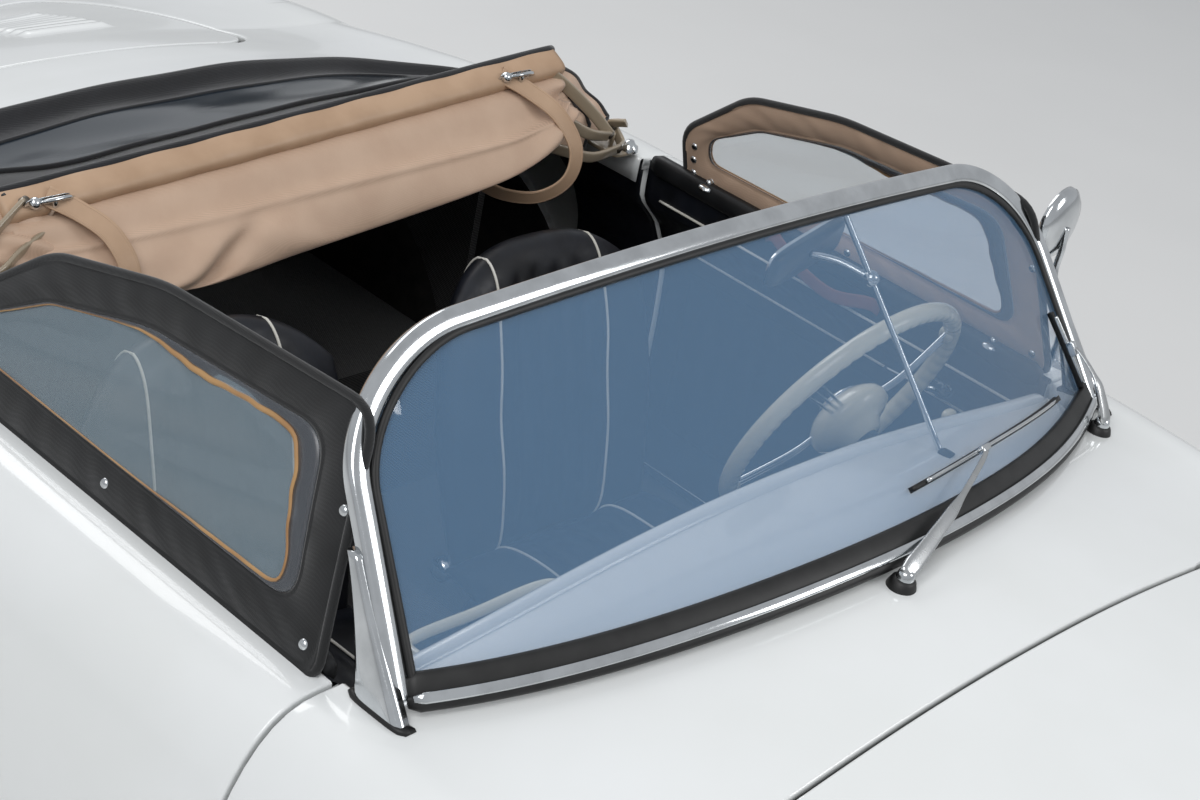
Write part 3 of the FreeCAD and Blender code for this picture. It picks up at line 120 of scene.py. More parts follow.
def unit(v):
    v = np.asarray(v, float)
    return v / np.maximum(np.linalg.norm(v, axis=-1, keepdims=True), 1e-12)


def bisect(f, start, end, rounds=40):
    """Where f changes sign between start and end, for whole arrays; f is positive at start."""
    start, end = np.array(start, float), np.array(end, float)
    for _ in range(rounds):
        half = (start + end) / 2
        positive = f(half) > 0
        start, end = np.where(positive, half, start), np.where(positive, end, half)
    return (start + end) / 2


def flip_y(points):
    return points * np.array([1, -1, 1])


# Meshes

WELD = 1e-5


class Piece:
    """Collects grids of points into one mesh, each with a material of its own."""

    def __init__(self, name):
        self.name, self.points, self.faces, self.marks, self.materials = name, [], [], [], []
        self.count = 0

    def mark(self, material):
        if material not in self.materials:
            self.materials.append(material)
        return self.materials.index(material)

    def grid(self, points, material, wrap=(False, False), turn=False):
        """A grid of points (rows, columns, 3), closed along an axis where wrap says so."""
        points = np.asarray(points, float)
        rows, columns = points.shape[:2]
        index = np.arange(rows * columns).reshape(rows, columns) + self.count
        if wrap[0]:
            index = np.concatenate([index, index[:1]])
        if wrap[1]:
            index = np.concatenate([index, index[:, :1]], 1)
        quads = np.stack([index[:-1, :-1], index[1:, :-1], index[1:, 1:], index[:-1, 1:]], -1)
        quads = quads.reshape(-1, 4)
        self.add(points.reshape(-1, 3), quads[:, ::-1] if turn else quads, material)

    def add(self, points, faces, material):
        self.points.append(points)
        self.faces += np.asarray(faces).tolist()
        self.marks += [self.mark(material)] * len(faces)
        self.count += len(points)

    def fan(self, ring, material, turn=False):
        """Closes a ring of points with triangles to its middle."""
        n = len(ring)
        points = np.concatenate([ring, ring.mean(0, keepdims=True)])
        i = np.arange(n)
        faces = np.stack([i, (i + 1) % n, np.full(n, n)], 1) + self.count
        self.add(points, faces[:, ::-1] if turn else faces, material)

    def make(self, body, recalc=True, thick=0.0, away_from=None, soft_angle=None, stands_for=(), slot=None):
        """Makes the object. Thick gives a shell that wall, inwards from its outer side."""
        mesh = bpy.data.meshes.new(self.name)
        mesh.from_pydata(np.concatenate(self.points).tolist(), [], self.faces)
        for material in self.materials:
            mesh.materials.append(material)
        mesh.polygons.foreach_set("material_index", self.marks)
        mesh.polygons.foreach_set("use_smooth", [True] * len(self.marks))
        bm = bmesh.new()
        bm.from_mesh(mesh)
        bmesh.ops.remove_doubles(bm, verts=bm.verts, dist=WELD)
        bmesh.ops.dissolve_degenerate(bm, edges=bm.edges, dist=WELD / 2)
        if recalc:
            bmesh.ops.recalc_face_normals(bm, faces=bm.faces)
        if away_from is not None:
            centre = Vector(away_from)
            lean = sum((f.calc_center_median() - centre).dot(f.normal) * f.calc_area() for f in bm.faces)
            if lean < 0:
                bmesh.ops.reverse_faces(bm, faces=bm.faces)
        bm.to_mesh(mesh)
        bm.free()
        if soft_angle is not None:
            mesh.set_sharp_from_angle(angle=math.radians(soft_angle))
        piece = bpy.data.objects.new(self.name, mesh)
        bpy.context.scene.collection.objects.link(piece)
        if thick:
            wall = piece.modifiers.new("wall", "SOLIDIFY")
            wall.thickness, wall.offset = thick, -1
        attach(piece, body)
        if stands_for:
            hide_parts(*stands_for)
        return piece


def pipe(piece, points, material, caps=True):
    """Closed rings one after another, with both ends closed where caps says so."""
    piece.grid(points, material, (False, True))
    if caps:
        piece.fan(points[0], material)
        piece.fan(points[-1], material, True)


def between(first, last, count):
    """Straight lines from the points of one line to those of another, cut into that many points."""
    t = np.linspace(0, 1, count)[None, :, None]
    return first[:, None] * (1 - t) + last[:, None] * t


def path_frame(path, up):
    """Side and up along a path: side is tangent x up, and up is squared to the tangent."""
    tangent = unit(np.gradient(path, axis=0))
    up = np.broadcast_to(np.asarray(up, float), path.shape)
    side = unit(np.cross(tangent, up))
    return side, np.cross(side, tangent)


def swept(path, section, up, size=None):
    """A profile of (side, up) offsets carried along a path; size scales it at each point."""
    side, top = path_frame(path, up)
    size = np.ones(len(path)) if size is None else np.asarray(size, float)
    s = np.asarray(section, float)[None] * size[:, None, None]
    return path[:, None] + side[:, None] * s[..., :1] + top[:, None] * s[..., 1:]


def steady_frame(path, first):
    """A frame that turns as little as it can along the path, from the given first side."""
    tangent = unit(np.gradient(path, axis=0))
    side = np.empty_like(path)
    side[0] = unit(first - tangent[0] * (first @ tangent[0]))
    for i in range(1, len(path)):
        side[i] = unit(side[i - 1] - tangent[i] * (side[i - 1] @ tangent[i]))
    return side, np.cross(tangent, side)


def ring(radius, count, flat=1.0, power=2.0):
    """A superellipse section of that radius across, and flat times it the other way."""
    a = np.arange(count) * 2 * np.pi / count
    c, s = np.cos(a), np.sin(a)
    e = 2 / power
    return np.stack([np.sign(c) * np.abs(c) ** e * radius, np.sign(s) * np.abs(s) ** e * radius * flat], 1)


def tube(piece, path, radius, material, sides=12, flat=1.0, power=2.0, first=(0.0, 0.0, 1.0), caps=True):
    """A closed tube along a path; radius may change along it."""
    path = np.asarray(path, float)
    side, top = steady_frame(path, np.asarray(first, float) + 1e-4)
    section = ring(1.0, sides, flat, power)
    size = np.broadcast_to(np.asarray(radius, float), (len(path),))[:, None, None]
    across = side[:, None] * section[None, :, :1] + top[:, None] * section[None, :, 1:]
    pipe(piece, path[:, None] + across * size, material, caps)


def cubic(a, b, c, d, u):
    """The cubic from b to c at u from 0 to 1, with tangents from the neighbours a and d."""
    return 0.5 * (2 * b + (c - a) * u + (2 * a - 5 * b + 4 * c - d) * u**2 + (3 * b - a - 3 * c + d) * u**3)


def curve(points, count):
    """A smooth curve through the points."""
    p = np.asarray(points, float)
    p = np.concatenate([2 * p[:1] - p[1:2], p, 2 * p[-1:] - p[-2:-1]])
    pieces = len(p) - 3
    t = np.linspace(0, pieces, count)
    i = np.minimum(t.astype(int), pieces - 1)
    return cubic(p[i], p[i + 1], p[i + 2], p[i + 3], (t - i)[:, None])


def lathe(piece, profile, centre, axis, material, segments=48):
    """A surface of revolution: profile rows are (radius, height along the axis)."""
    axis = unit(axis)
    side = unit(np.cross(axis, Z if abs(axis[2]) < 0.9 else X))
    other = np.cross(axis, side)
    a = np.linspace(0, 2 * np.pi, segments, endpoint=False)
    round_ = np.cos(a)[:, None] * side + np.sin(a)[:, None] * other
    profile = np.asarray(profile, float)
    points = np.asarray(centre) + profile[:, None, :1] * round_[None] + profile[:, None, 1:] * axis
    piece.grid(points, material, (False, True))


def rounded_box(piece, centre, half, material, axes=(X, Y, Z), power=6.0, steps=20):
    """A superellipsoid: a box of those half sizes whose edges are as round as the power says."""
    u = np.linspace(-np.pi / 2, np.pi / 2, steps)[:, None]
    v = np.linspace(-np.pi, np.pi, 2 * steps, endpoint=False)[None]
    e = 2 / power

    def bent(f):
        return np.sign(f) * np.abs(f) ** e
    a = bent(np.cos(u)) * bent(np.cos(v)) * half[0]
    b = bent(np.cos(u)) * bent(np.sin(v)) * half[1]
    c = bent(np.sin(u)) * np.ones_like(v) * half[2]
    points = np.asarray(centre) + a[..., None] * axes[0] + b[..., None] * axes[1] + c[..., None] * axes[2]
    piece.grid(points, material, (False, True))


# Finishes

# A wave pattern of this scale repeats about every millimetre
WAVE_SCALE = 0.31


def linear(colour):
    """An sRGB hex value as linear red, green, blue and 1."""
    c = [int(colour[i:i + 2], 16) / 255 for i in (1, 3, 5)]
    return [v / 12.92 if v <= 0.04045 else ((v + 0.055) / 1.055) ** 2.4 for v in c] + [1.0]


def add(tree, kind, sockets=None, **settings):
    """Adds a node, with its settings, and gives its sockets values or links."""
    node = tree.nodes.new("ShaderNode" + kind)
    for key, value in settings.items():
        setattr(node, key, value)
    for key, value in (sockets or {}).items():
        if isinstance(value, bpy.types.NodeSocket):
            tree.links.new(value, node.inputs[key])
        else:
            node.inputs[key].default_value = value
    return node


def finish(name, colour, rough, **fixed):
    """A material with its Principled shader: its tree, shader and place in millimetres."""
    made = bpy.data.materials.new(name)
    made.use_nodes = True
    tree = made.node_tree
    shader = tree.nodes["Principled BSDF"]
    shader.inputs["Base Color"].default_value = linear(colour)
    shader.inputs["Roughness"].default_value = rough
    for key, value in fixed.items():
        shader.inputs[key.replace("_", " ")].default_value = value
    place = add(tree, "TexCoord").outputs["Object"]
    millimetres = add(tree, "VectorMath", {0: place, "Scale": 1000.0}, operation="SCALE").outputs[0]
    return made, tree, shader, millimetres


def grain(tree, place, size, detail=3.0, kind="Noise", **sockets):
    """A pattern whose features are that many millimetres wide."""
    node = add(tree, f"Tex{kind}", {"Vector": place, "Scale": 1.0 / size, **sockets})
    if kind == "Noise":
        node.inputs["Detail"].default_value = detail
    return node.outputs["Distance" if kind == "Voronoi" else "Fac"]


def vary(tree, shader, factor, colours, low=0.35, high=0.65):
    """The colour runs from the first to the second as the factor goes from low to high."""
    ramp = add(tree, "MapRange", {"Value": factor, "From Min": low, "From Max": high})
    mix = add(tree, "Mix", {"Factor": ramp.outputs[0]}, data_type="RGBA")
    mix.inputs["A"].default_value, mix.inputs["B"].default_value = map(linear, colours)
    tree.links.new(mix.outputs["Result"], shader.inputs["Base Color"])
    return mix.outputs["Result"]


def rough_between(tree, shader, factor, low, high):
    """The roughness runs from low to high with the factor."""
    ramp = add(tree, "MapRange", {"Value": factor, "From Min": 0.3, "From Max": 0.7, "To Min": low,
                                  "To Max": high})
    tree.links.new(ramp.outputs[0], shader.inputs["Roughness"])


def relief(tree, shader, height, depth, strength=1.0, under=None):
    """Bump from a height of 0 to 1 that is that many metres deep."""
    node = add(tree, "Bump", {"Height": height, "Distance": depth, "Strength": strength})
    if under is not None:
        tree.links.new(under, node.inputs["Normal"])
    tree.links.new(node.outputs[0], shader.inputs["Normal"])
    return node.outputs[0]


def make_paint(name, colour, warm, rough=0.22):
    # Sprayed enamel over steel: a clear skin with faint orange peel of some 4 mm, and dust in wide clouds
    made, tree, shader, mm = finish(name, colour, rough, Coat_Weight=0.8, Coat_Roughness=0.04, IOR=1.5)
    vary(tree, shader, grain(tree, mm, 240), (colour, warm))
    rough_between(tree, shader, grain(tree, mm, 140, 1.0), rough - 0.02, rough + 0.04)
    relief(tree, shader, grain(tree, mm, 4.0, 1.0), 0.00002, 0.5)
    return made


def make_metal(name, colour, dull, low, high, size=40.0, scratch=0.000004):
    # Plated or bare metal: the roughness wanders where hands and weather have dulled it
    made, tree, shader, mm = finish(name, colour, low, Metallic=1.0)
    vary(tree, shader, grain(tree, mm, size, 6.0), (colour, dull))
    rough_between(tree, shader, grain(tree, mm, size, 2.0), low, high)
    relief(tree, shader, grain(tree, mm, size / 10), scratch, 0.3)
    return made


def make_rubber(name, colour, pale, rough=0.62, size=1.2):
    # Moulded rubber: a dull skin with a fine tooth and a grey bloom
    made, tree, shader, mm = finish(name, colour, rough, IOR=1.5)
    vary(tree, shader, grain(tree, mm, 30, 6.0), (colour, pale))
    relief(tree, shader, grain(tree, mm, size, 2.0), 0.00012, 0.7)
    return made


def make_leather(name, colour, light, rough=0.42, cell=1.6):
    # Coated hide: closed cells a millimetre or two wide, paler and shinier where it is sat on
    made, tree, shader, mm = finish(name, colour, rough, IOR=1.47)
    vary(tree, shader, grain(tree, mm, 70, 4.0), (colour, light))
    rough_between(tree, shader, grain(tree, mm, 25, 4.0), rough - 0.1, rough + 0.12)
    cells = grain(tree, mm, cell, kind="Voronoi")
    creases = relief(tree, shader, grain(tree, mm, 22, 3.0), 0.0009, 0.35)
    relief(tree, shader, cells, 0.00010, 0.4, creases)
    return made


def make_cloth(name, colour, light, thread=1.4, rough=0.85, sheen=0.25, depth=0.00025):
    # Woven cloth: crossed threads, drawn a little coarse so that they show, with soft patches
    made, tree, shader, mm = finish(name, colour, rough, Sheen_Weight=sheen, Sheen_Roughness=0.5)
    mixed = vary(tree, shader, grain(tree, mm, 60, 5.0), (colour, light))
    weave = {"Vector": mm, "Scale": WAVE_SCALE / thread, "Distortion": 0.6}
    warp, weft, over = (add(tree, "TexWave", weave, bands_direction=way).outputs["Fac"] for way in "XYZ")
    threads = add(tree, "Math", {0: warp, 1: weft}, operation="MULTIPLY")
    threads = add(tree, "Math", {0: threads.outputs[0], 1: over}, operation="ADD")
    dark = add(tree, "Mix", {"Factor": 0.16, "A": mixed, "B": threads.outputs[0]}, data_type="RGBA",
               blend_type="MULTIPLY")
    tree.links.new(dark.outputs["Result"], shader.inputs["Base Color"])
    relief(tree, shader, threads.outputs[0], depth, 0.6)
    return made


def make_clear(name, colour, rough, alpha, coat=1.0):
    # A clear sheet: most light goes straight through, and the rest shows its base colour and gloss
    made, tree, shader, mm = finish(name, colour, rough, Alpha=alpha, IOR=1.5, Coat_Weight=coat,
                                    Coat_Roughness=rough, Coat_IOR=1.9)
    rough_between(tree, shader, grain(tree, mm, 60, 5.0), rough, rough + 0.03)
    return made


def make_lens(name, colour, deep, rib=0.0, transmission=0.0):
    # Pressed lens: ribs of some 5 mm under a smooth face
    made, tree, shader, mm = finish(name, colour, 0.08, Coat_Weight=1.0, Coat_Roughness=0.02,
                                    Transmission_Weight=transmission)
    vary(tree, shader, grain(tree, mm, 12), (colour, deep))
    bands = add(tree, "TexWave", {"Vector": mm, "Scale": WAVE_SCALE / 5.0}, bands_direction="Y")
    relief(tree, shader, bands.outputs["Fac"], rib, 0.7)
    return made


PAINT = make_paint("enamel_white", "#E4E6E6", "#E0E2E1")
BRIGHT_PAINT = make_paint("wheel_enamel_silver", "#B9BBBC", "#AEB0B0", 0.35)
UNDER_PAINT = make_paint("enamel_white_thin", "#B9BAB6", "#8F8D87", 0.5)
CHROME = make_metal("chrome_plate", "#D6D9DB", "#C3C6C8", 0.07, 0.17)
BRIGHT = make_metal("anodised_aluminium", "#C9CBCC", "#B2B4B4", 0.2, 0.34, 60)
STEEL = make_metal("steel_bare", "#8B8780", "#5D564E", 0.4, 0.6, 50, 0.00005)
CAST = make_metal("cast_aluminium", "#8E8F8E", "#6C6C69", 0.45, 0.65, 12, 0.0002)
MIRROR = make_metal("mirror_silver", "#DDE1E3", "#D8DCDE", 0.01, 0.03)
RUBBER = make_rubber("rubber_moulded", "#0C0C0C", "#191919", 0.5)
TYRE_RUBBER = make_rubber("tyre_rubber", "#111111", "#1F1E1D", 0.75, 2.0)
UNDERSEAL = make_rubber("underseal_bitumen", "#131211", "#262422", 0.8, 6.0)
LEATHER = make_leather("leather_black", "#0B0D12", "#171A22")
PIPING = make_leather("vinyl_piping_white", "#D8D6CF", "#C9C6BC", 0.4, 1.0)
DASH_VINYL = make_leather("vinyl_padded_black", "#0D0E10", "#191A1C", 0.5)
TAN = make_leather("strap_tan", "#8A4E34", "#6E3C28", 0.55)
BEIGE_VINYL = make_leather("vinyl_beige", "#B89A7F", "#AC8E73", 0.5)
LINING = make_cloth("hood_lining_beige", "#BFA28B", "#C6AA93", 0.9, 0.62, 0.1, 0.00005)
HOOD_CLOTH = make_cloth("hood_canvas_black", "#0C0D11", "#15161B", 1.5)
CURTAIN_CLOTH = make_cloth("curtain_canvas_black", "#0C0D0E", "#17181A", 1.3)
CARPET = make_cloth("carpet_black", "#0B0B0C", "#151515", 3.0, 1.0, 0.4, 0.0015)
IRON_PAINT = make_paint("iron_enamel_khaki", "#A29480", "#938570", 0.4)
IVORY = make_paint("ivory_moulded_plastic", "#DFD8C2", "#D3CAB0", 0.25)
# The windscreen's blue base colour is partly the glass's faint tint and mostly painted reflection of the
# sky
GLASS = make_clear("laminated_glass", "#6F9AC2", 0.0, 0.27)
PLASTIC = make_clear("window_vinyl", "#A9BFCC", 0.03, 0.24)
REAR_PANE = make_clear("window_vinyl_folded", "#1E2831", 0.09, 0.93, 0.0)
LENS = make_lens("headlamp_glass", "#F2F5F6", "#E6EBED", 0.0006, 0.9)
RED = make_lens("lamp_glass_red", "#A30A08", "#7C0504", 0.0005)
AMBER = make_lens("lamp_glass_amber", "#D96B0A", "#B95606", 0.0005)
# Black enamel for dial faces, the mirror's back and the like; it also stands as painted shade behind the
# wheel slots and in the lamp slots
BLACK_AND_PAINTED_SHADE = make_rubber("black_enamel_and_painted_shade", "#08080A", "#0E0E10", 0.3, 0.8)


# The body's surface

WAIST = [(TAIL_START, HALF_WIDTH - 0.005), (REAR_AXLE, HALF_WIDTH), (DOOR_REAR, HALF_WIDTH - 0.009),
         (DOOR_FRONT, HALF_WIDTH - 0.020), (NOSE_START, HALF_WIDTH - 0.035)]
CROWN_INSET = [(TAIL_START, 0.225), (REAR_AXLE, 0.205), (COCKPIT_REAR, 0.185), (DOOR_REAR, 0.156),
               (DOOR_FRONT, 0.148), (NOSE_START, 0.185)]
CROWN_HEIGHT = [(TAIL_START, BELT - 0.060), (REAR_AXLE, BELT - 0.030), (COCKPIT_REAR, BELT - 0.015),
                (DOOR_REAR, BELT), (DOOR_FRONT, BELT), (NOSE_START, BELT - 0.045)]
SPINE_HEIGHT = [(TAIL_START - 0.590, COWL - 0.340), (TAIL_START - 0.450, COWL - 0.250),
                (TAIL_START - 0.250, COWL - 0.150), (TAIL_START, COWL - 0.068), (REAR_AXLE, COWL - 0.028),
                (COCKPIT_REAR, COWL - 0.010), (SCREEN_FOOT, COWL), (LID_REAR, COWL - 0.015),
                (NOSE_START - 0.250, COWL - 0.042), (NOSE_START, COWL - 0.088),
                (NOSE_START + 0.290, COWL - 0.148), (NOSE_START + 0.427, COWL - 0.195),
                (NOSE_START + 0.510, COWL - 0.260)]
NOSE_FAN = dict(start=NOSE_START, way=1, reach=0.635, spine=0.510, power=3.0,
                inset=[(0, 0.185), (0.5, 0.100), (1, 0.055)], crown=[(0, 0.805), (0.5, 0.748), (1, 0.600)],
                foot=[(0, 0), (0.5, 0.045), (1, 0.080)], foot_inset=[(0, FOOT_INSET), (1, 0.040)])
TAIL_FAN = dict(start=TAIL_START, way=-1, reach=0.730, spine=0.590, power=2.6,
                inset=[(0, 0.225), (0.5, 0.140), (1, 0.060)], crown=[(0, 0.790), (0.5, 0.690), (1, 0.520)],
                foot=[(0, 0), (0.5, 0.060), (1, 0.100)], foot_inset=[(0, FOOT_INSET), (1, 0.045)])


def top_rise(t, crown, spine):
    """The height of the body's top at t of the way from the crown to the spine."""
    return crown + (spine - crown) * t * t * (3 - 2 * t) + SWELL * (t * (1 - t)) ** 2


class Ribs:
    """Lines across the left half of the body, each from its foot past the waist and the crown to the spine.

    Along a rib, 0 is the foot, 1 the waist, 2 the crown and 3 the spine. From foot to waist the side leans
    out as a parabola, and from waist to crown it is a quarter of a superellipse. The top rises by
    3t^2 - 2t^3 with a slight swell.
    """

    def __init__(self, x=None, fan=None, share=None):
        if fan is None:
            x = np.asarray(x, float)
            self.waist = np.stack([x, smooth(WAIST, x)], -1)
            self.spine_x, self.inset, self.crown = x, smooth(CROWN_INSET, x), smooth(CROWN_HEIGHT, x)
            self.foot, self.foot_inset = np.full_like(x, SILL), np.full_like(x, FOOT_INSET)
        else:
            share = np.asarray(share, float)
            along, across = np.sin(share * np.pi / 2) ** (2 / fan["power"]), np.cos(share * np.pi / 2)
            across = np.maximum(across, 0) ** (2 / fan["power"]) * (share < 1)
            start, way, reach = fan["start"], fan["way"], fan["reach"]
            self.waist = np.stack([start + way * reach * along, smooth(WAIST, start) * across], -1)
            self.spine_x = start + way * (reach * along - (reach - fan["spine"]) * along**3)
            self.inset, self.crown = smooth(fan["inset"], share), smooth(fan["crown"], share)
            self.foot, self.foot_inset = SILL + smooth(fan["foot"], share), smooth(fan["foot_inset"], share)
        way = np.stack([self.spine_x, np.zeros_like(self.spine_x)], -1) - self.waist
        self.span = np.linalg.norm(way, axis=-1)
        self.inward = unit(way)
        self.spine = smooth(SPINE_HEIGHT, self.spine_x)

    def __len__(self):
        return len(self.span)

    def points(self, v, inside=0.0):
        """The places at v along each rib: v has a row for each rib."""
        v = np.asarray(v, float)
        inset, crown, foot, span = (a[:, None] for a in (self.inset, self.crown, self.foot, self.span))
        low_in = self.foot_inset[:, None] * (1 - np.clip(v, 0, 1)) ** 2 + inside
        low_z = foot + np.clip(v, 0, 1) * (WAIST_HEIGHT - foot)
        angle = np.clip(v - 1, 0, 1) * np.pi / 2
        c, s = np.cos(angle), np.sin(angle)
        side_in = inset * (1 - np.maximum(c, 0) ** FULLNESS) + inside * c
        side_z = WAIST_HEIGHT + (crown - WAIST_HEIGHT) * s**FULLNESS - inside * s
        t = np.clip(v - 2, 0, 1)
        top_in = inset + (span - inset) * t
        top_z = top_rise(t, crown, self.spine[:, None]) - inside
        across = np.where(v < 1, low_in, np.where(v < 2, side_in, top_in))
        height = np.where(v < 1, low_z, np.where(v < 2, side_z, top_z))
        plan = self.waist[:, None] + self.inward[:, None] * across[..., None]
        return np.concatenate([plan, height[..., None]], -1)

    def at(self, v, inside=0.0):
        """One place on each rib: v has one value for each."""
        return self.points(v[:, None], inside)[:, 0]

    def at_height(self, z, start, end):
        """Where along each rib, between start and end, the side has the height z."""
        count = len(self)
        return bisect(lambda v: z - self.at(v)[:, 2], np.full(count, start), np.full(count, end))


def join(*several):
    """Ribs one after another."""
    made = Ribs(x=np.zeros(1))
    for key in vars(made):
        setattr(made, key, np.concatenate([getattr(one, key) for one in several]))
    return made


def fan_shares(fan, count, extra=()):
    """Shares that put the ribs evenly round the end, with ribs added where the waist has the extra x."""
    fine = np.linspace(0, 1, 2001)
    waist = Ribs(fan=fan, share=fine).waist
    run = np.concatenate([[0], np.cumsum(np.linalg.norm(np.diff(waist, axis=0), axis=1))])
    even = np.interp(np.linspace(0, run[-1], count), run, fine)
    there = np.interp([fan["way"] * x for x in extra], fan["way"] * waist[:, 0], fine)
    return np.unique(np.concatenate([even, there]))[1:]


def outside_arch(points, axle, radius):
    """Positive outside the wheel's opening, which is round above the axle and straight below it."""
    dx, dz = points[..., 0] - axle, np.maximum(points[..., 2] - TYRE, 0)
    return np.hypot(dx, dz) - radius


def front_lid_half(x, grow=0.0):
    """The front lid's half width: straight sides that close in, round rear corners and a round front."""
    rear, tip, corner = LID_REAR - grow, LID_FRONT + grow, FRONT_LID_CORNER
    side = 0.515 + grow - (x - LID_REAR) * 0.2276
    back = np.clip(rear + corner - x, 0, corner)
    ahead = np.clip((x - 1.537) / (tip - 1.537), 0, 1)
    return (side - corner + np.sqrt(corner**2 - back**2)) * np.sqrt(np.maximum(1 - ahead**2.61, 0))


def engine_lid_half(x, grow=0.0):
    """The engine lid's half width: it narrows rearwards and its four corners are round."""
    front, rear, corner = ENGINE_LID_FRONT + grow, ENGINE_LID_REAR - grow, ENGINE_LID_CORNER
    side = 0.395 + grow + (x - ENGINE_LID_FRONT) * 0.153
    over = np.maximum(np.clip(x - (front - corner), 0, corner), np.clip(rear + corner - x, 0, corner))
    return side - corner + np.sqrt(corner**2 - over**2)


def cockpit_half(x):
    """The half width of the opening behind the screen: straight, with large round rear corners."""
    corner = COCKPIT_CORNER
    back = np.clip(COCKPIT_REAR + corner - x, 0, corner)
    return COCKPIT_HALF - corner + np.sqrt(corner**2 - back**2)


def screen_foot_x(y):
    """The windscreen's foot in plan: a parabola."""
    return SCREEN_FOOT - SCREEN_BOW * (y / SCREEN_HALF) ** 2


def top_height(x, y):
    """The height of the body between its crowns."""
    x, y = np.broadcast_arrays(np.asarray(x, float), np.asarray(y, float))
    waist, inset = smooth(WAIST, x), smooth(CROWN_INSET, x)
    t = 1 - np.abs(y) / (waist - inset)
    return top_rise(t, smooth(CROWN_HEIGHT, x), smooth(SPINE_HEIGHT, x))


def top_share(ribs, y):
    """Where along straight ribs the body's top has that distance from the centre."""
    return 3 - y / (ribs.span - ribs.inset)


def outward(points):
    """Roughly outwards from the body's core."""
    core = np.stack([np.clip(points[..., 0], -1.2, 1.2), points[..., 1] * 0, points[..., 0] * 0 + 0.42], -1)
    return unit(points - core)


def surface_normals(points):
    """The unit normals of a grid on the body, pointing out."""
    n = unit(np.cross(np.gradient(points, axis=0), np.gradient(points, axis=1)))
    return n * np.where((n * outward(points)).sum(-1, keepdims=True) < 0, -1, 1)


def lip(edge, normals, beyond, radius=0.003, depth=0.014, steps=4):
    """A rolled edge: a quarter round from the edge towards beyond, then straight in by the depth."""
    out = np.cross(unit(np.gradient(edge, axis=0)), normals)
    out = unit(out * np.where((out * beyond).sum(-1, keepdims=True) < 0, -1, 1))[:, None]
    n, t = normals[:, None], np.linspace(0, np.pi / 2, steps)[None, :, None]
    bend = edge[:, None] + radius * (np.sin(t) * out - (1 - np.cos(t)) * n)
    return np.concatenate([bend, bend[:, -1:] - depth * n], 1)


def both(piece, points, material, **how):
    """The grid and its mirror image."""
    piece.grid(points, material, **how)
    piece.grid(flip_y(points), material, turn=not how.get("turn", False))


def start_of(ribs, axle, radius):
    """Where each rib begins: at its foot, or above the wheel's opening."""
    def clearance(v):
        return outside_arch(ribs.at(v), axle, radius)
    foot = np.zeros(len(ribs))
    return np.where(clearance(foot) < 0, bisect(clearance, np.full(len(ribs), 1.9), foot), foot)


def lid_crossing(ribs, half, ends, grow, slack=(0.0, 0.0)):
    """Where each rib meets the outline of a lid, which half gives between its two ends along X."""
    def beyond(v):
        p = ribs.at(v)
        inside = (p[:, 0] > ends[0] - slack[0]) & (p[:, 0] < ends[1] + slack[1])
        return np.where(inside, np.abs(p[:, 1]) - half(np.clip(p[:, 0], *ends), grow), 0.01)
    return bisect(beyond, np.full(len(ribs), 2.0), np.full(len(ribs), 3.0))


def columns(first, last, count):
    """Rows of v from first to last at even steps."""
    t = np.linspace(0, 1, count)[None]
    return first[:, None] + (last - first)[:, None] * t


def strip(ribs, first, last, low, high):
    """A body strip whose columns run from first to the crown and on to last."""
    crown = np.minimum(2.0, last)
    v = np.concatenate([columns(first, crown, low), columns(crown, last, high)[:, 1:]], 1)
    return ribs.points(v)


# The painted panels

EDGE = 0.003
LIP = 0.016
FOOT_ROLL = dict(radius=0.004, depth=0.022)
RIM_ROLL = dict(radius=0.006, depth=0.035)
LID_LIP = 0.012
BODY_SHEET, LID_SHEET = 0.0018, 0.0016
ARCH_STEP = 0.0004
LAMP_Y = 0.560
LAMP = np.array([NOSE - 0.083, LAMP_Y, 0.655])
LAMP_RADIUS = 0.098


def lamp_pods(points, normals):
    """The wings' skin with a pod drawn out of it round each headlamp, and a seat for the lamp.

    The pod is a cone along X about the lamp. Skin and pod meet in a smooth union: each point moves out
    along its normal by the distance t at which the smooth least of t and its distance to the cone is 0.
    """
    near = (points[..., 0] > 1.20) & (points[..., 2] > 0.40) & (points[..., 1] > 0.25)
    face, blend = LAMP[0] - 0.004, 0.045

    def cone(p):
        back = np.maximum(face - p[..., 0], 0)
        wide = LAMP_RADIUS + 0.009 + 0.06 * back
        round_ = np.hypot(p[..., 1] - LAMP[1] - 0.10 * back, p[..., 2] - LAMP[2] + 0.10 * back) - wide
        return np.maximum(round_, p[..., 0] - face)

    def union(t):
        d = cone(points + normals * t[..., None])
        mix = np.clip(0.5 + 0.5 * (d - t) / blend, 0, 1)
        return d * (1 - mix) + t * mix - blend * mix * (1 - mix)
    here = union(np.zeros(points.shape[:-1]))
    far = bisect(union, np.full(here.shape, 0.26), np.zeros(here.shape))
    out = np.where((near & (here < 0))[..., None], points + normals * far[..., None], points)
    inside = near & (np.hypot(out[..., 1] - LAMP[1], out[..., 2] - LAMP[2]) < LAMP_RADIUS + 0.002)
    seat = inside & (out[..., 0] > 1.60)
    out[..., 0] = np.where(seat, np.minimum(out[..., 0], face - 0.03), out[..., 0])
    return out


def edge_strip(piece, points, normals, beyond, material=PAINT, radius=EDGE, depth=LIP):
    both(piece, lip(points, normals, beyond, radius, depth), material)


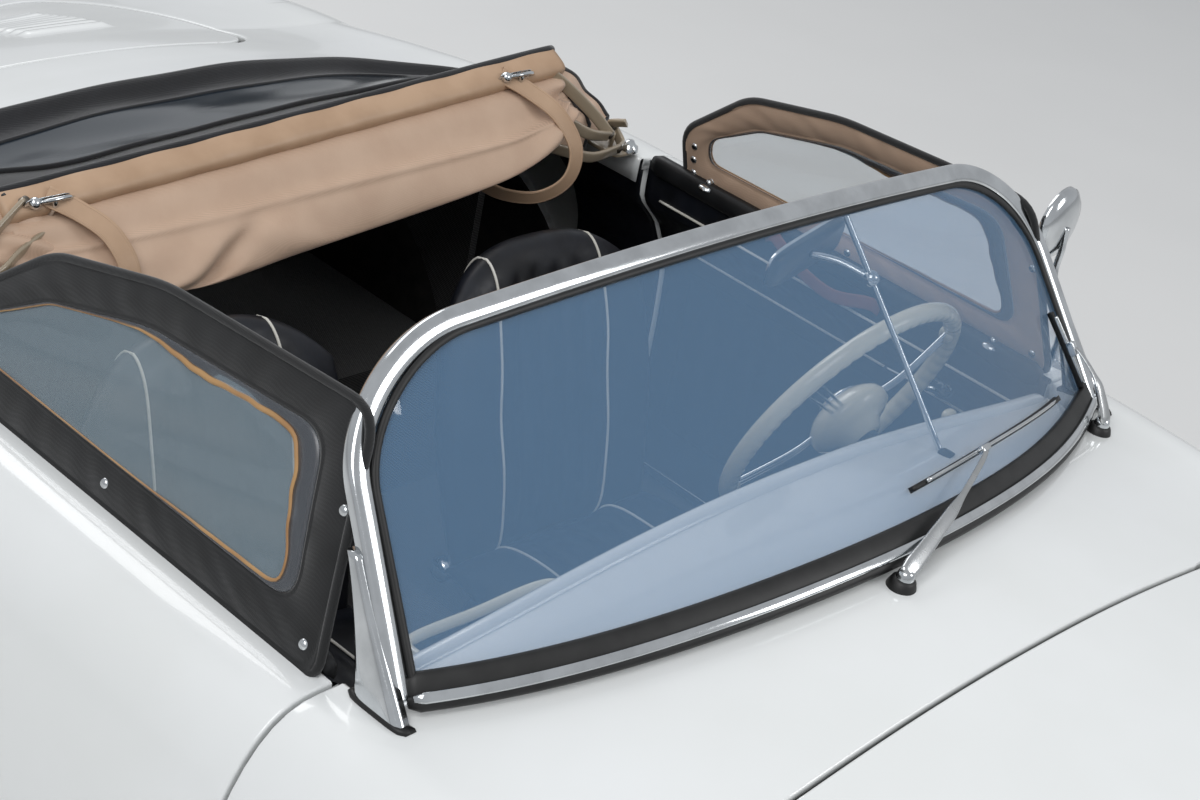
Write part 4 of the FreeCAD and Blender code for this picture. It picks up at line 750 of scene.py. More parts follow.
def make_body_front():
    """The front of the body: both wings, the scuttle and the nose, round the front lid's opening."""
    piece = Piece("body_front")
    grow = SHUT + EDGE
    arch_x = FRONT_AXLE - FRONT_ARCH * np.cos(np.linspace(0, np.pi, 60))
    tip_x = LID_FRONT + grow
    inner_y = 0.392
    split_x = float(bisect(lambda x: x - screen_foot_x(inner_y) + SCUTTLE_REAR, 0.7, 0.45))
    rear_x = LID_REAR - grow
    corner_x = rear_x + FRONT_LID_CORNER * (1 - np.cos(np.linspace(0.02, np.pi / 2, 12)))
    xs = np.concatenate([np.linspace(DOOR_FRONT + SHUT, split_x, 12), np.linspace(split_x, rear_x, 16),
                         corner_x, arch_x, arch_x[:1] - 0.0006, np.linspace(rear_x, NOSE_START, 40)])
    straight = Ribs(x=np.unique(xs[xs <= NOSE_START].round(6)))
    front_end = FRONT_AXLE + FRONT_ARCH
    shares = fan_shares(NOSE_FAN, 94, [front_end - ARCH_STEP, front_end + ARCH_STEP])
    fan = Ribs(fan=NOSE_FAN, share=shares)
    tip_share = np.interp(tip_x, fan.spine_x, shares)
    shares = np.unique(np.append(shares, tip_share))
    ribs = join(straight, Ribs(fan=NOSE_FAN, share=shares))
    xs = straight.spine_x
    first = start_of(ribs, FRONT_AXLE, FRONT_ARCH)
    last = lid_crossing(ribs, front_lid_half, (rear_x, tip_x), grow)
    last[ribs.spine_x >= tip_x - 1e-6] = 3.0
    cowl = len(xs[xs <= rear_x + 1e-6])
    y_edge = np.where(xs[:cowl] < split_x, SCREEN_HALF * np.sqrt(np.maximum(0.595 - xs[:cowl],
                                                                            0) / SCREEN_BOW), inner_y)
    y_edge = np.clip(y_edge, inner_y, 0.640)
    y_edge[-1] = front_lid_half(rear_x, grow)
    last[:cowl] = [top_share(Ribs(x=[x]), y)[0] for x, y in zip(xs[:cowl], y_edge)]
    skin = strip(ribs, first, last, 28, 25)
    normals = surface_normals(skin)
    skin = lamp_pods(skin, normals)
    normals = surface_normals(skin)
    both(piece, skin, PAINT)
    turned = cowl - 1
    open_end = int(np.argmax(ribs.spine_x >= tip_x - 1e-6)) + 1
    edge_strip(piece, skin[turned:open_end, -1], normals[turned:open_end, -1], np.array([0, -1.0, 0]))
    edge_strip(piece, skin[:, 0], normals[:, 0], -Z, **FOOT_ROLL)
    edge_strip(piece, skin[0], normals[0], -X)
    cut = int(np.sum(xs < split_x - 1e-6)) + 1
    edge_strip(piece, skin[:cut, -1], normals[:cut, -1], np.array([-1.0, -1.0, 0]), depth=0.030)
    rows = (xs[cut - 1:cowl] - split_x) / (rear_x - split_x)
    ys = y_edge[cut - 1:cowl][:, None] * np.linspace(1, 0, 24)[None]
    back = screen_foot_x(ys) - SCUTTLE_REAR
    places = back + rows[:, None] * (rear_x - back)
    inner = np.stack([places, ys, top_height(places, ys)], -1)
    inner[:, 0] = skin[cut - 1:cowl, -1]
    both(piece, inner, PAINT, turn=False)
    up = np.broadcast_to(Z, inner[-1].shape)
    edge_strip(piece, inner[-1], up, X)
    edge_strip(piece, inner[0], up, -X, depth=LID_LIP)
    return piece.make("body", thick=BODY_SHEET, away_from=(1.0, 0, 0.3),
                      stands_for=("front_wing_left", "front_wing_right", "scuttle_panel"), slot="paint")


def make_front_lid():
    """The front lid: the body's own surface inside the lid's outline, with its edge rolled under."""
    piece = Piece("front_lid_panel")
    rear_x, tip_x = LID_REAR + EDGE, LID_FRONT - EDGE
    corner = rear_x + FRONT_LID_CORNER * (1 - np.cos(np.linspace(0.0, np.pi / 2, 14)))
    xs = np.unique(np.concatenate([corner, np.linspace(rear_x, NOSE_START, 24)]).round(6))
    shares = fan_shares(NOSE_FAN, 94)
    spine_x = Ribs(fan=NOSE_FAN, share=shares).spine_x
    tip_share = np.interp(tip_x, spine_x, shares)
    shares = np.append(shares[shares < tip_share - 1e-4], tip_share)
    ribs = join(Ribs(x=xs), Ribs(fan=NOSE_FAN, share=shares))
    first = lid_crossing(ribs, front_lid_half, (rear_x, tip_x), -EDGE, (1e-6, 0.0))
    first[-1] = 3.0
    skin = ribs.points(columns(first, np.full(len(ribs), 3.0), 31))
    normals = surface_normals(skin)
    both(piece, skin, PAINT)
    edge_strip(piece, skin[:, 0], normals[:, 0], Y, depth=LID_LIP)
    edge_strip(piece, skin[0], normals[0], -X, depth=LID_LIP)
    return piece.make("front_lid", thick=LID_SHEET, away_from=(1.2, 0, 0.2), stands_for=("front_lid",),
                      slot="paint")


def make_body_rear():
    """The rear of the body: wings, quarters, sills, deck and tail, round the cockpit and the engine lid."""
    piece = Piece("body_rear")
    grow = SHUT + EDGE
    arch_x = REAR_AXLE + REAR_ARCH * np.cos(np.linspace(0, np.pi, 60))
    lid_front, lid_rear = ENGINE_LID_FRONT + grow, ENGINE_LID_REAR - grow
    bend = ENGINE_LID_CORNER * (1 - np.cos(np.linspace(0.02, np.pi / 2, 10)))
    xs = np.concatenate([np.linspace(DOOR_REAR - SHUT, COCKPIT_REAR + COCKPIT_CORNER, 10), arch_x,
                         COCKPIT_REAR + COCKPIT_CORNER * (1 - np.cos(np.linspace(0, np.pi / 2, 22))),
                         arch_x[:1] + 0.0006, np.linspace(COCKPIT_REAR, lid_front, 12), lid_front - bend,
                         np.linspace(lid_front, TAIL_START, 8)])
    straight = Ribs(x=np.unique(xs[(xs >= TAIL_START) & (xs <= DOOR_REAR - SHUT + 1e-6)].round(6))[::-1])
    rear_end = REAR_AXLE - REAR_ARCH
    shares = fan_shares(TAIL_FAN, 110, [rear_end - ARCH_STEP, rear_end + ARCH_STEP])
    tip_share = np.interp(-lid_rear, -Ribs(fan=TAIL_FAN, share=shares).spine_x, shares)
    shares = np.unique(np.append(shares, tip_share))
    ribs = join(straight, Ribs(fan=TAIL_FAN, share=shares))
    xs = straight.spine_x
    first = start_of(ribs, REAR_AXLE, REAR_ARCH)
    last = lid_crossing(ribs, engine_lid_half, (lid_rear, lid_front), grow)
    last[ribs.spine_x <= lid_rear + 1e-6] = 3.0
    deck = int(np.sum(xs >= lid_front - 1e-6))
    cut = int(np.sum(xs > COCKPIT_REAR + 1e-6)) + 1
    y_end = engine_lid_half(lid_front, grow)
    slide = np.clip((COCKPIT_REAR - xs[:deck]) / (COCKPIT_REAR - lid_front), 0, 1)
    y_deck = cockpit_half(COCKPIT_REAR) * (1 - slide) + y_end * slide
    y_edge = np.where(xs[:deck] > COCKPIT_REAR, cockpit_half(xs[:deck]), y_deck)
    last[:deck] = [top_share(Ribs(x=[x]), y)[0] for x, y in zip(xs[:deck], y_edge)]
    skin = strip(ribs, first, last, 28, 25)
    normals = surface_normals(skin)
    both(piece, skin, PAINT)
    open_end = int(np.argmax(ribs.spine_x <= lid_rear + 1e-6)) + 1
    edge_strip(piece, skin[deck - 1:open_end, -1], normals[deck - 1:open_end, -1], np.array([0, -1.0, 0]))
    edge_strip(piece, skin[:, 0], normals[:, 0], -Z, **FOOT_ROLL)
    edge_strip(piece, skin[0], normals[0], X)
    edge_strip(piece, skin[:cut, -1], normals[:cut, -1], np.array([1.0, -1.0, 0]), **RIM_ROLL)
    ys = y_edge[cut - 1:][:, None] * np.linspace(1, 0, 26)[None]
    places = np.broadcast_to(xs[cut - 1:deck][:, None], ys.shape)
    inner = np.stack([places, ys, top_height(places, ys)], -1)
    inner[:, 0] = skin[cut - 1:deck, -1]
    both(piece, inner, PAINT)
    up = np.broadcast_to(Z, inner[-1].shape)
    edge_strip(piece, inner[-1], up, -X)
    edge_strip(piece, inner[0], up, X, **RIM_ROLL)
    sill_x = np.linspace(DOOR_REAR - SHUT, DOOR_FRONT + SHUT, 40)
    sill_top = (DOOR_FOOT - 0.001 - SILL) / (WAIST_HEIGHT - SILL)
    sill = Ribs(x=sill_x).points(np.broadcast_to(np.linspace(0, sill_top, 10), (40, 10)))
    normals = surface_normals(sill)
    both(piece, sill, PAINT)
    edge_strip(piece, sill[:, -1], normals[:, -1], Z, depth=0.06)
    edge_strip(piece, sill[:, 0], normals[:, 0], -Z, **FOOT_ROLL)
    return piece.make("body", thick=BODY_SHEET, away_from=(-1.0, 0, 0.3),
                      stands_for=("rear_wing_left", "rear_wing_right", "rear_deck"), slot="paint")


def make_engine_lid():
    """The engine lid, with two banks of pressed louvres and its edge rolled under."""
    piece = Piece("engine_lid_panel")
    lid_front, lid_rear = ENGINE_LID_FRONT - EDGE, ENGINE_LID_REAR + EDGE
    bend = ENGINE_LID_CORNER * (1 - np.cos(np.linspace(0, np.pi / 2, 12)))
    xs = np.unique(np.concatenate([lid_front - bend, np.linspace(lid_front, TAIL_START, 8)]).round(6))[::-1]
    xs = xs[xs >= TAIL_START]
    shares = fan_shares(TAIL_FAN, 200)
    spine_x = Ribs(fan=TAIL_FAN, share=shares).spine_x
    tip_share = np.interp(-lid_rear, -spine_x, shares)
    shares = np.append(shares[shares < tip_share - 1e-4], tip_share)
    ribs = join(Ribs(x=xs), Ribs(fan=TAIL_FAN, share=shares))
    first = lid_crossing(ribs, engine_lid_half, (lid_rear, lid_front), -EDGE, (0.0, 1e-6))
    first[-1] = 3.0
    skin = ribs.points(columns(first, np.full(len(ribs), 3.0), 66))
    normals = surface_normals(skin)
    pitch, count, start, inner, outer, fade = 0.026, 9, -1.215, 0.045, 0.225, 0.018
    row = (start - skin[..., 0]) / pitch
    within = (row > 0) & (row < count) & (skin[..., 1] > inner) & (skin[..., 1] < outer)
    side = step((skin[..., 1] - inner) / fade) * step((outer - skin[..., 1]) / fade)
    saw = row - np.floor(row)
    raised = np.where(within, 0.008 * side * np.where(saw < 0.8, saw / 0.8, (1 - saw) / 0.2), 0)
    skin = skin + normals * raised[..., None]
    both(piece, skin, PAINT)
    edge_strip(piece, skin[:, 0], normals[:, 0], Y, depth=LID_LIP)
    edge_strip(piece, skin[0], normals[0], X, depth=LID_LIP)
    return piece.make("engine_lid", thick=LID_SHEET, away_from=(-1.3, 0, 0.2), stands_for=("engine_lid",),
                      slot="paint")


def make_wheel_houses():
    """The dark wheel liners: half round over the tyre, straight below the axle, with an inner wall."""
    piece = Piece("wheel_houses")
    foot = 0.200
    t = np.linspace(0, np.pi, 40)
    for axle, arch, wide, deep in ((FRONT_AXLE, FRONT_ARCH, 0.372, 0.402),
                                   (REAR_AXLE, REAR_ARCH, 0.358, 0.480)):
        centre = np.array([axle, TYRE])
        arc = np.stack([axle + wide * np.cos(t), TYRE + wide * np.sin(t)], -1)
        arc = np.concatenate([[[axle + wide, foot]], arc, [[axle - wide, foot]]])
        edge = centre + (arc - centre) * (arch / wide)
        edge[[0, -1], 1] = foot
        waist = smooth(WAIST, arc[:, 0])
        lift = np.clip((arc[:, 1] - WAIST_HEIGHT) / 0.33, 0, 1)
        under = np.where(arc[:, 1] < WAIST_HEIGHT, 0.05 * ((WAIST_HEIGHT - arc[:, 1]) / 0.28) ** 2,
                         0.06 * lift**2)
        outer = waist - under - 0.016
        small = centre + (arc - centre) * 0.93
        small[[0, -1], 1] = foot
        hub = np.stack([np.full(len(arc), axle), np.minimum(small[:, 1], 0.42)], -1)
        rows = ((edge, outer), (arc, outer - 0.03), (arc, 0.62), (arc, 0.52), (arc, deep + 0.03),
                (small, deep), (hub, deep))
        both(piece, np.stack([np.stack([line[:, 0], np.broadcast_to(y, len(arc)), line[:, 1]], -1)
                              for line, y in rows]), UNDERSEAL)
    return piece.make("body", thick=0.002, slot="paint_grey")


# The doors

DOOR_X = np.linspace(DOOR_REAR + SHUT, DOOR_FRONT - SHUT, 56)
INNER_DEPTHS = [(0.845, 0.176), (0.790, 0.174), (0.720, 0.118), (0.620, 0.078), (0.480, 0.070),
                (0.360, 0.076), (0.276, 0.098)]


def door_inside(x, z, out=0.0):
    """The door's trimmed side: the waist line less a depth that changes smoothly with height."""
    return smooth(WAIST, x) - smooth(INNER_DEPTHS, z) - out


def make_door(side, stem):
    """One door: the body's own surface outside, a trimmed wall inside and painted faces at its ends."""
    piece = Piece(f"door_{stem}_panel")
    ribs = Ribs(x=DOOR_X)
    n = len(DOOR_X)
    foot = np.full(n, (DOOR_FOOT + SHUT + EDGE - SILL) / (WAIST_HEIGHT - SILL))
    last = np.array([top_share(Ribs(x=[x]), 0.648)[0] for x in DOOR_X])
    skin = strip(ribs, foot, last, 34, 6)
    normals = surface_normals(skin)

    def put(points, material):
        piece.grid(points if side > 0 else flip_y(points), material)
    put(skin, PAINT)
    faces = []
    for row, beyond in ((0, -X), (-1, X)):
        rolled = lip(skin[row], normals[row], beyond, EDGE, 0.003)
        put(rolled, PAINT)
        z = np.linspace(skin[0, 0, 2], 0.845, skin.shape[1])
        x = rolled[:, -1, 0].mean()
        inner = np.stack([np.full_like(z, x), door_inside(x, z), z], -1)
        put(between(rolled[:, -1], inner, 6), PAINT)
        faces.append(inner)
    rolled = lip(skin[:, 0], normals[:, 0], -Z, EDGE, 0.003)
    put(rolled, PAINT)
    z = faces[0][:, 2]
    xs = np.linspace(faces[0][0, 0], faces[1][0, 0], n)
    grid_x, grid_z = np.meshgrid(xs, z, indexing="ij")
    trim = np.stack([grid_x, door_inside(grid_x, grid_z), grid_z], -1)
    put(trim, LEATHER)
    put(between(rolled[:, -1], trim[:, 0], 4), PAINT)
    put(between(skin[:, -1], trim[:, -1], 4), LEATHER)
    return piece.make(f"door_{stem}", away_from=(0, side * 0.72, 0.5), stands_for=(f"door_{stem}",),
                      slot="paint")


def make_door_trim(side, stem):
    """What is fixed to a door: the padded top roll, piping, pad, lever, strap and curtain sockets."""
    piece = Piece(f"door_{stem}_trim")
    n = 60
    x = np.linspace(DOOR_REAR + 0.012, DOOR_FRONT - 0.016, n)
    waist = smooth(WAIST, x)
    fade = np.minimum(1, np.minimum(x - x[0], x[-1] - x) / 0.012 + 0.45)
    roll = np.stack([x, waist - 0.178, np.full(n, BELT - 0.001)], -1)
    mirror = np.array([1, side, 1])
    tube(piece, roll * mirror, 0.017 * np.sqrt(fade), DASH_VINYL, 16, 0.62, 2.6)
    for z, thick in ((0.792, 0.0022), (0.700, 0.0022)):
        line = np.stack([x[2:-2], door_inside(x[2:-2], z, 0.001), np.full(n - 4, z)], -1)
        tube(piece, line * mirror, thick, PIPING, 8)
    pad_x, pad_z = np.meshgrid(np.linspace(-0.33, 0.34, 50), np.linspace(0.36, 0.66, 26), indexing="ij")
    u, v = (pad_x + 0.33) / 0.67 * 2 - 1, (pad_z - 0.36) / 0.30 * 2 - 1
    crown = np.maximum((1 - u**8) * (1 - v**8), 0)
    ribs = np.abs(np.sin(pad_x * np.pi / 0.045))
    puff = 0.009 * crown**0.5 * (0.62 + 0.38 * ribs**0.6)
    pad = np.stack([pad_x, door_inside(pad_x, pad_z, puff - 0.001), pad_z], -1) * mirror
    piece.grid(pad, LEATHER, turn=side > 0)
    base = np.array([0.215, float(door_inside(0.215, 0.735)) - 0.002, 0.735])
    lathe(piece, [(0, 0.008), (0.016, 0.007), (0.021, 0.002), (0.021, -0.004)], base * mirror,
          (0, -side, 0), CHROME, 28)
    arm = curve([base, base + (-0.002, -0.022, 0.0), base + (-0.03, -0.026, -0.004),
                 base + (-0.088, -0.024, -0.008)], 26)
    tube(piece, arm * mirror, np.linspace(0.0065, 0.0042, 26), CHROME, 12)
    for place_x in (-0.255, 0.300):
        spot = np.array([place_x, float(np.interp(place_x, x, waist)) - 0.178, BELT + 0.009])
        lathe(piece, [(0, 0.003), (0.009, 0.003), (0.015, 0.0008), (0.016, -0.003)], spot * mirror, Z,
              CHROME, 24)
        lathe(piece, [(0, 0.012), (0.004, 0.011), (0.006, 0.007), (0.006, 0.002)], spot * mirror, Z,
              CHROME, 18)
    strap = curve([(-0.13, waist[0] - 0.176, 0.832), (-0.10, waist[0] - 0.196, 0.846),
                   (-0.04, waist[0] - 0.208, 0.826), (0.03, waist[0] - 0.206, 0.812),
                   (0.09, waist[0] - 0.19, 0.822), (0.11, waist[0] - 0.168, 0.806)], 50)
    tube(piece, strap * mirror, 0.011, TAN, 14, 0.16, 3.0, first=(0, 0, 1))
    return piece.make(f"door_{stem}", slot="leather")


def make_door_outside(side, stem):
    """The bright parts outside a door: its pull handle and its lock."""
    piece = Piece(f"door_{stem}_brightwork")
    mirror = np.array([1, side, 1])

    def skin_at(x, z, out=0.0):
        ribs = Ribs(x=[x])
        return ribs.at(ribs.at_height(z, 0.3, 2.0), -out)[0]
    for x in (-0.215, -0.325):
        base = skin_at(x, 0.700, 0.001)
        lathe(piece, [(0, 0.010), (0.010, 0.009), (0.014, 0.003), (0.016, -0.004)], base * mirror,
              np.array([0, 0.93, 0.36]) * mirror, CHROME, 24)
    ends = [skin_at(x, 0.702, out) for x, out in
            ((-0.190, 0.020), (-0.215, 0.027), (-0.270, 0.032), (-0.325, 0.027), (-0.345, 0.018))]
    size = np.interp(np.linspace(0, 1, 44), [0, 0.1, 0.5, 0.9, 1], [0.005, 0.0085, 0.0075, 0.0085, 0.005])
    tube(piece, curve(ends, 44) * mirror, size, CHROME, 14, 0.75)
    lock = skin_at(-0.335, 0.655, 0.001)
    lathe(piece, [(0, 0.003), (0.007, 0.003), (0.009, 0.001), (0.010, -0.003)], lock * mirror,
          np.array([0, 0.95, 0.3]) * mirror, CHROME, 20)
    return piece.make(f"door_{stem}", slot="chrome")


STRIP_HEIGHT = 0.300


def make_side_strips():
    """A thin bright strip low along each wing and door."""
    for side, stem in ((1, "left"), (-1, "right")):
        for part, body, x0, x1 in (("front", "body", DOOR_FRONT + 0.010, FRONT_AXLE - FRONT_ARCH - 0.022),
                                   ("rear", "body", REAR_AXLE + REAR_ARCH + 0.022, DOOR_REAR - 0.010),
                                   ("door", f"door_{stem}", DOOR_REAR + 0.008, DOOR_FRONT - 0.009)):
            piece = Piece(f"side_strip_{part}_{stem}")
            x = np.linspace(x0, x1, 60)
            ribs = Ribs(x=x)
            line = ribs.at(ribs.at_height(STRIP_HEIGHT, 0.0, 1.5), -0.0015) * np.array([1, side, 1])
            fade = np.sqrt(np.clip(np.minimum(x - x0, x1 - x) / 0.02 + 0.2, 0, 1))
            tube(piece, line, 0.0075 * fade, BRIGHT, 12, 0.5, 2.5, first=(0, 0, 1))
            piece.make(body, slot="chrome")


def make_jambs():
    """The painted door posts, the trimmed walls next to the doors, and the carpeted sill covers."""
    piece = Piece("door_jambs")
    ahead, behind, foot_wall, limit = DOOR_FRONT + SHUT + 0.003, DOOR_REAR - SHUT - 0.003, 0.770, 0.76
    z = np.linspace(DOOR_FOOT - 0.002, BELT - 0.008, 40)
    for x in (ahead, behind):
        ribs = Ribs(x=np.full(40, x))
        outer = ribs.at(ribs.at_height(z, 0.1, 2.0), 0.003)
        inner = np.stack([outer[:, 0], np.minimum(outer[:, 1] - 0.002, door_inside(x, z)), z], -1)
        both(piece, between(outer, inner, 8), PAINT)
    for x0, x1, skin in ((behind, -0.590, LEATHER), (foot_wall, ahead, CARPET)):
        grid_x, grid_z = np.meshgrid(np.linspace(x0, x1, 16), np.linspace(0.190, BELT - 0.012, 30),
                                     indexing="ij")
        y = np.minimum(door_inside(grid_x, np.maximum(grid_z, DOOR_FOOT)), limit)
        both(piece, np.stack([grid_x, y, grid_z], -1), skin)
    x, share = np.meshgrid(np.linspace(ahead, foot_wall, 16), np.linspace(0, 1, 6), indexing="ij")
    y = 0.585 * (1 - share) + (np.minimum(door_inside(x, DOOR_FOOT), limit) + 0.001) * share
    both(piece, np.stack([x, y, np.full_like(x, 0.202)], -1), CARPET)
    return piece.make("body", thick=0.0015, slot="paint_grey")


# The windscreen

def screen_at(share, up, out=0.0):
    """A point of the screen: across by the share, up it from foot to head, and out of its surface."""
    share, up = np.broadcast_arrays(np.asarray(share, float), np.asarray(up, float))
    x, y = screen_foot_x(SCREEN_HALF * share), SCREEN_HALF * share
    base = np.stack([x, y, top_height(x, y) + 0.0095], -1)
    head = np.stack([0.276 - 0.010 * share**2, 0.598 * share, 1.174 - 0.030 * share**2], -1)
    rise = unit(head - base)
    ahead = unit(np.cross(np.broadcast_to(Y, rise.shape), rise))
    return base + (head - base) * up[..., None] + ahead * np.asarray(out, float)[..., None]


def screen_out(share):
    """The direction out of the screen."""
    base, head = screen_at(share, 0.0), screen_at(share, 1.0)
    rise = unit(head - base)
    return unit(np.cross(np.broadcast_to(Y, rise.shape), rise))


CORNER_SHARE, CORNER_UP = 0.25, 0.36
GLASS_END, GLASS_TOP, GLASS_FOOT = 0.968, 0.952, 0.045


def screen_outline(inset, count=32):
    """The arch of the rail: up one post, round the corner, across the head and down the other post."""
    side, top = 1 - inset / 0.57, 1 - inset / 0.42
    t = np.linspace(0, np.pi / 2, count)
    corner = np.stack([side - CORNER_SHARE + CORNER_SHARE * np.cos(t),
                       top - CORNER_UP + CORNER_UP * np.sin(t)], -1)
    post = np.stack([np.full(count, side), np.linspace(0.0, top - CORNER_UP, count)], -1)[:-1]
    head = np.stack([np.linspace(side - CORNER_SHARE, 0, 2 * count), np.full(2 * count, top)], -1)[1:]
    half = np.concatenate([post, corner, head])
    return np.concatenate([half, (half * [-1, 1])[-2::-1]])


def make_windscreen_frame():
    """The rail round the glass with its rubbers, the foot rubber with a bright strip, and the post feet."""
    piece = Piece("windscreen_rail")
    for inset, out, wide, deep, paint, sides in ((0.013, 0.0, 0.0130, 0.0095, CHROME, 24),
                                                 (0.0275, 0.0012, 0.0045, 0.0062, RUBBER, 12)):
        line = screen_outline(inset)
        path = screen_at(line[:, 0], line[:, 1], out)
        section = ring(wide, sides, deep / wide, 3.6)
        if paint is CHROME:
            section[:, 1] += 0.0016 * np.cos(section[:, 0] / wide * 1.4)
        points = swept(path, section, screen_out(line[:, 0]))
        pipe(piece, points, paint)
    end = 0.965
    share = np.linspace(-end, end, 120)
    fade = np.sqrt(np.clip((end - np.abs(share)) / 0.02 + 0.3, 0, 1))
    for up, out, wide, deep, paint in ((0.050, 0.003, 0.0150, 0.0075, RUBBER),
                                       (0.008, 0.004, 0.0105, 0.0085, RUBBER),
                                       (0.016, 0.0135, 0.0060, 0.0032, CHROME)):
        points = swept(screen_at(share, up, out), ring(wide, 16, deep / wide, 2.8), screen_out(share),
                       size=fade)
        pipe(piece, points, paint)
    for side in (1, -1):
        post = screen_at(side * 0.982, np.linspace(0, 0.44, 30))
        t = np.linspace(0, 1, 30)
        wide = 0.0300 * (1 - t) ** 1.5 + 0.0062
        back = post - wide[:, None] * 1.15 * X + np.array([-0.004, side * 0.013, 0])
        fore = post + wide[:, None] * 0.62 * X + np.array([0.002, side * 0.011, 0])
        foot_z = top_height(np.array([back[0, 0], fore[0, 0]]), np.full(2, side * 0.655)) + 0.0035
        back[:, 2] += (foot_z[0] - back[0, 2]) * (1 - t)
        fore[:, 2] += (foot_z[1] - fore[0, 2]) * (1 - t)
        a = np.linspace(0, 1, 12)[None, :, None]
        bulge = 0.0055 * np.sqrt(np.clip(1 - (2 * a - 1) ** 4, 0, 1))
        plate = between(back, fore, 12) + bulge * np.array([0.15, side, 0.1])
        inner = plate - np.array([0, side * 0.011, 0])
        piece.grid(np.concatenate([plate, inner[:, ::-1]], 1), CHROME, (False, True))
        piece.fan(np.concatenate([plate[-1], inner[-1, ::-1]]), CHROME)
        gasket = np.concatenate([plate[0], inner[0, ::-1]])
        middle_ = gasket.mean(0)
        rings = [middle_ + (gasket - middle_) * k + np.array([0, 0, h]) for k, h in
                 ((0.9, 0.0015), (1.16, 0.0010), (1.22, -0.0020), (1.18, -0.0060))]
        piece.grid(np.stack(rings), RUBBER, (False, True))
    return piece.make("body", stands_for=("windscreen_frame",), slot="chrome")


def make_windscreen_glass():
    """The curved glass, with its upper corners round where the rail turns."""
    piece = Piece("windscreen_pane")
    share = np.linspace(-GLASS_END, GLASS_END, 100)
    over = np.clip((np.abs(share) - (GLASS_END - CORNER_SHARE)) / CORNER_SHARE, 0, 1)
    top = GLASS_TOP - CORNER_UP * (1 - np.sqrt(1 - over**2))
    up = GLASS_FOOT + (top - GLASS_FOOT)[:, None] * np.linspace(0, 1, 40)[None]
    shares = np.broadcast_to(share[:, None], up.shape)
    piece.grid(screen_at(shares, up, 0.0025), GLASS)
    return piece.make("body", thick=0.005, away_from=(-0.4, 0, 0.9), stands_for=("windscreen_glass",),
                      slot="glass")


WIPERS = ((-0.07, (0.075, 0.755), 0.150, 0.33), (0.90, None, None, 0.915))


def make_wipers():
    """Both wipers. The left one's blade lies across the glass and the right one's is parked by the post."""
    piece = Piece("wiper_arms")
    for spindle, blade, height, held in WIPERS:
        foot = screen_at(spindle, 0.0)
        base = np.array([foot[0] + 0.026, foot[1], 0.0])
        base[2] = top_height(base[0], base[1]) - 0.001
        up = unit(np.array([0.10, 0.02, 1.0]))
        lathe(piece, [(0, 0.013), (0.0110, 0.013), (0.0145, 0.010), (0.0170, 0.003), (0.0185, -0.002)],
              base, up, RUBBER, 30)
        lathe(piece, [(0, 0.024), (0.006, 0.0235), (0.0090, 0.021), (0.0105, 0.016), (0.0110, 0.011)],
              base, up, CHROME, 24)
        if blade:
            shares = np.linspace(*blade, 50)
            ups = np.full(50, height) + 0.012 * np.sin(np.linspace(0, np.pi, 50))
            hold_up = height + 0.006
        else:
            shares = np.linspace(0.926, 0.900, 50)
            ups = np.linspace(0.09, 0.40, 50)
            hold_up = 0.26
        out = screen_out(shares)
        line = screen_at(shares, ups, 0.0075)
        rubber = swept(line, [(-0.0035, -0.004), (0.0035, -0.004), (0.0012, -0.0005), (0.0035, 0.003),
                              (-0.0035, 0.003), (-0.0012, -0.0005)], out)
        pipe(piece, rubber, RUBBER)
        inner = slice(3, -3)
        tube(piece, (line + out * 0.0045)[inner], 0.0034, CHROME, 10, 0.6)
        hold = screen_at(held, hold_up, 0.0185)
        start = base + up * 0.021
        bow = unit(start - hold)
        middle_ = (start * 0.5 + hold * 0.5) + screen_out(held) * 0.014
        arm = curve([start + bow * 0.006, start * 0.8 + hold * 0.2 + screen_out(held) * 0.008, middle_,
                     start * 0.15 + hold * 0.85 + screen_out(held) * 0.008, hold], 40)
        wide = np.interp(np.linspace(0, 1, 40), [0, 0.08, 0.45, 0.55, 1],
                         [0.0085, 0.0110, 0.0075, 0.0040, 0.0030])
        across = unit(np.cross(unit(hold - start), screen_out(held)))
        tube(piece, arm, wide, BRIGHT, 16, 0.42, 3.0, first=across)
        i = int(np.argmin(np.abs(shares - held))) if blade else len(line) // 2
        along = line[min(i + 1, len(line) - 1)] - line[i - 1]
        rounded_box(piece, line[i] + out[i] * 0.009, (0.011, 0.0045, 0.006), CHROME,
                    (unit(along), unit(np.cross(out[i], along)), out[i]), 5.0, 12)
    return piece.make("body", stands_for=("wipers",), slot="chrome")


# The side curtains

def rounded_outline(corners, radii, count=180):
    """A polygon with a radius at each corner, walked at even steps from its first corner."""
    c, out = np.asarray(corners, float), []
    for i, here in enumerate(c):
        back, ahead = unit(c[i - 1] - here), unit(c[(i + 1) % len(c)] - here)
        half = np.arccos(np.clip(back @ ahead, -1, 1)) / 2
        reach = min(radii[i] / np.tan(half), 0.46 * min(np.linalg.norm(c[i - 1] - here),
                                                        np.linalg.norm(c[(i + 1) % len(c)] - here)))
        t = np.linspace(0, 1, 14)[:, None]
        out.append((here + back * reach) * (1 - t) ** 2 + here * 2 * t * (1 - t) + (here + ahead * reach)
                   * t**2)
    line = np.concatenate(out)
    closed = np.concatenate([line, line[:1]])
    run = np.concatenate([[0], np.cumsum(np.linalg.norm(np.diff(closed, axis=0), axis=1))])
    at = np.linspace(0, run[-1], count, endpoint=False)
    return np.stack([np.interp(at, run, closed[:, k]) for k in (0, 1)], -1)


def outline_area(outer, inner):
    """The area between two outlines."""
    def inside(o):
        return abs(np.sum(o[:, 0] * np.roll(o[:, 1], -1) - np.roll(o[:, 0], -1) * o[:, 1])) / 2
    return float(inside(outer) - inside(inner))


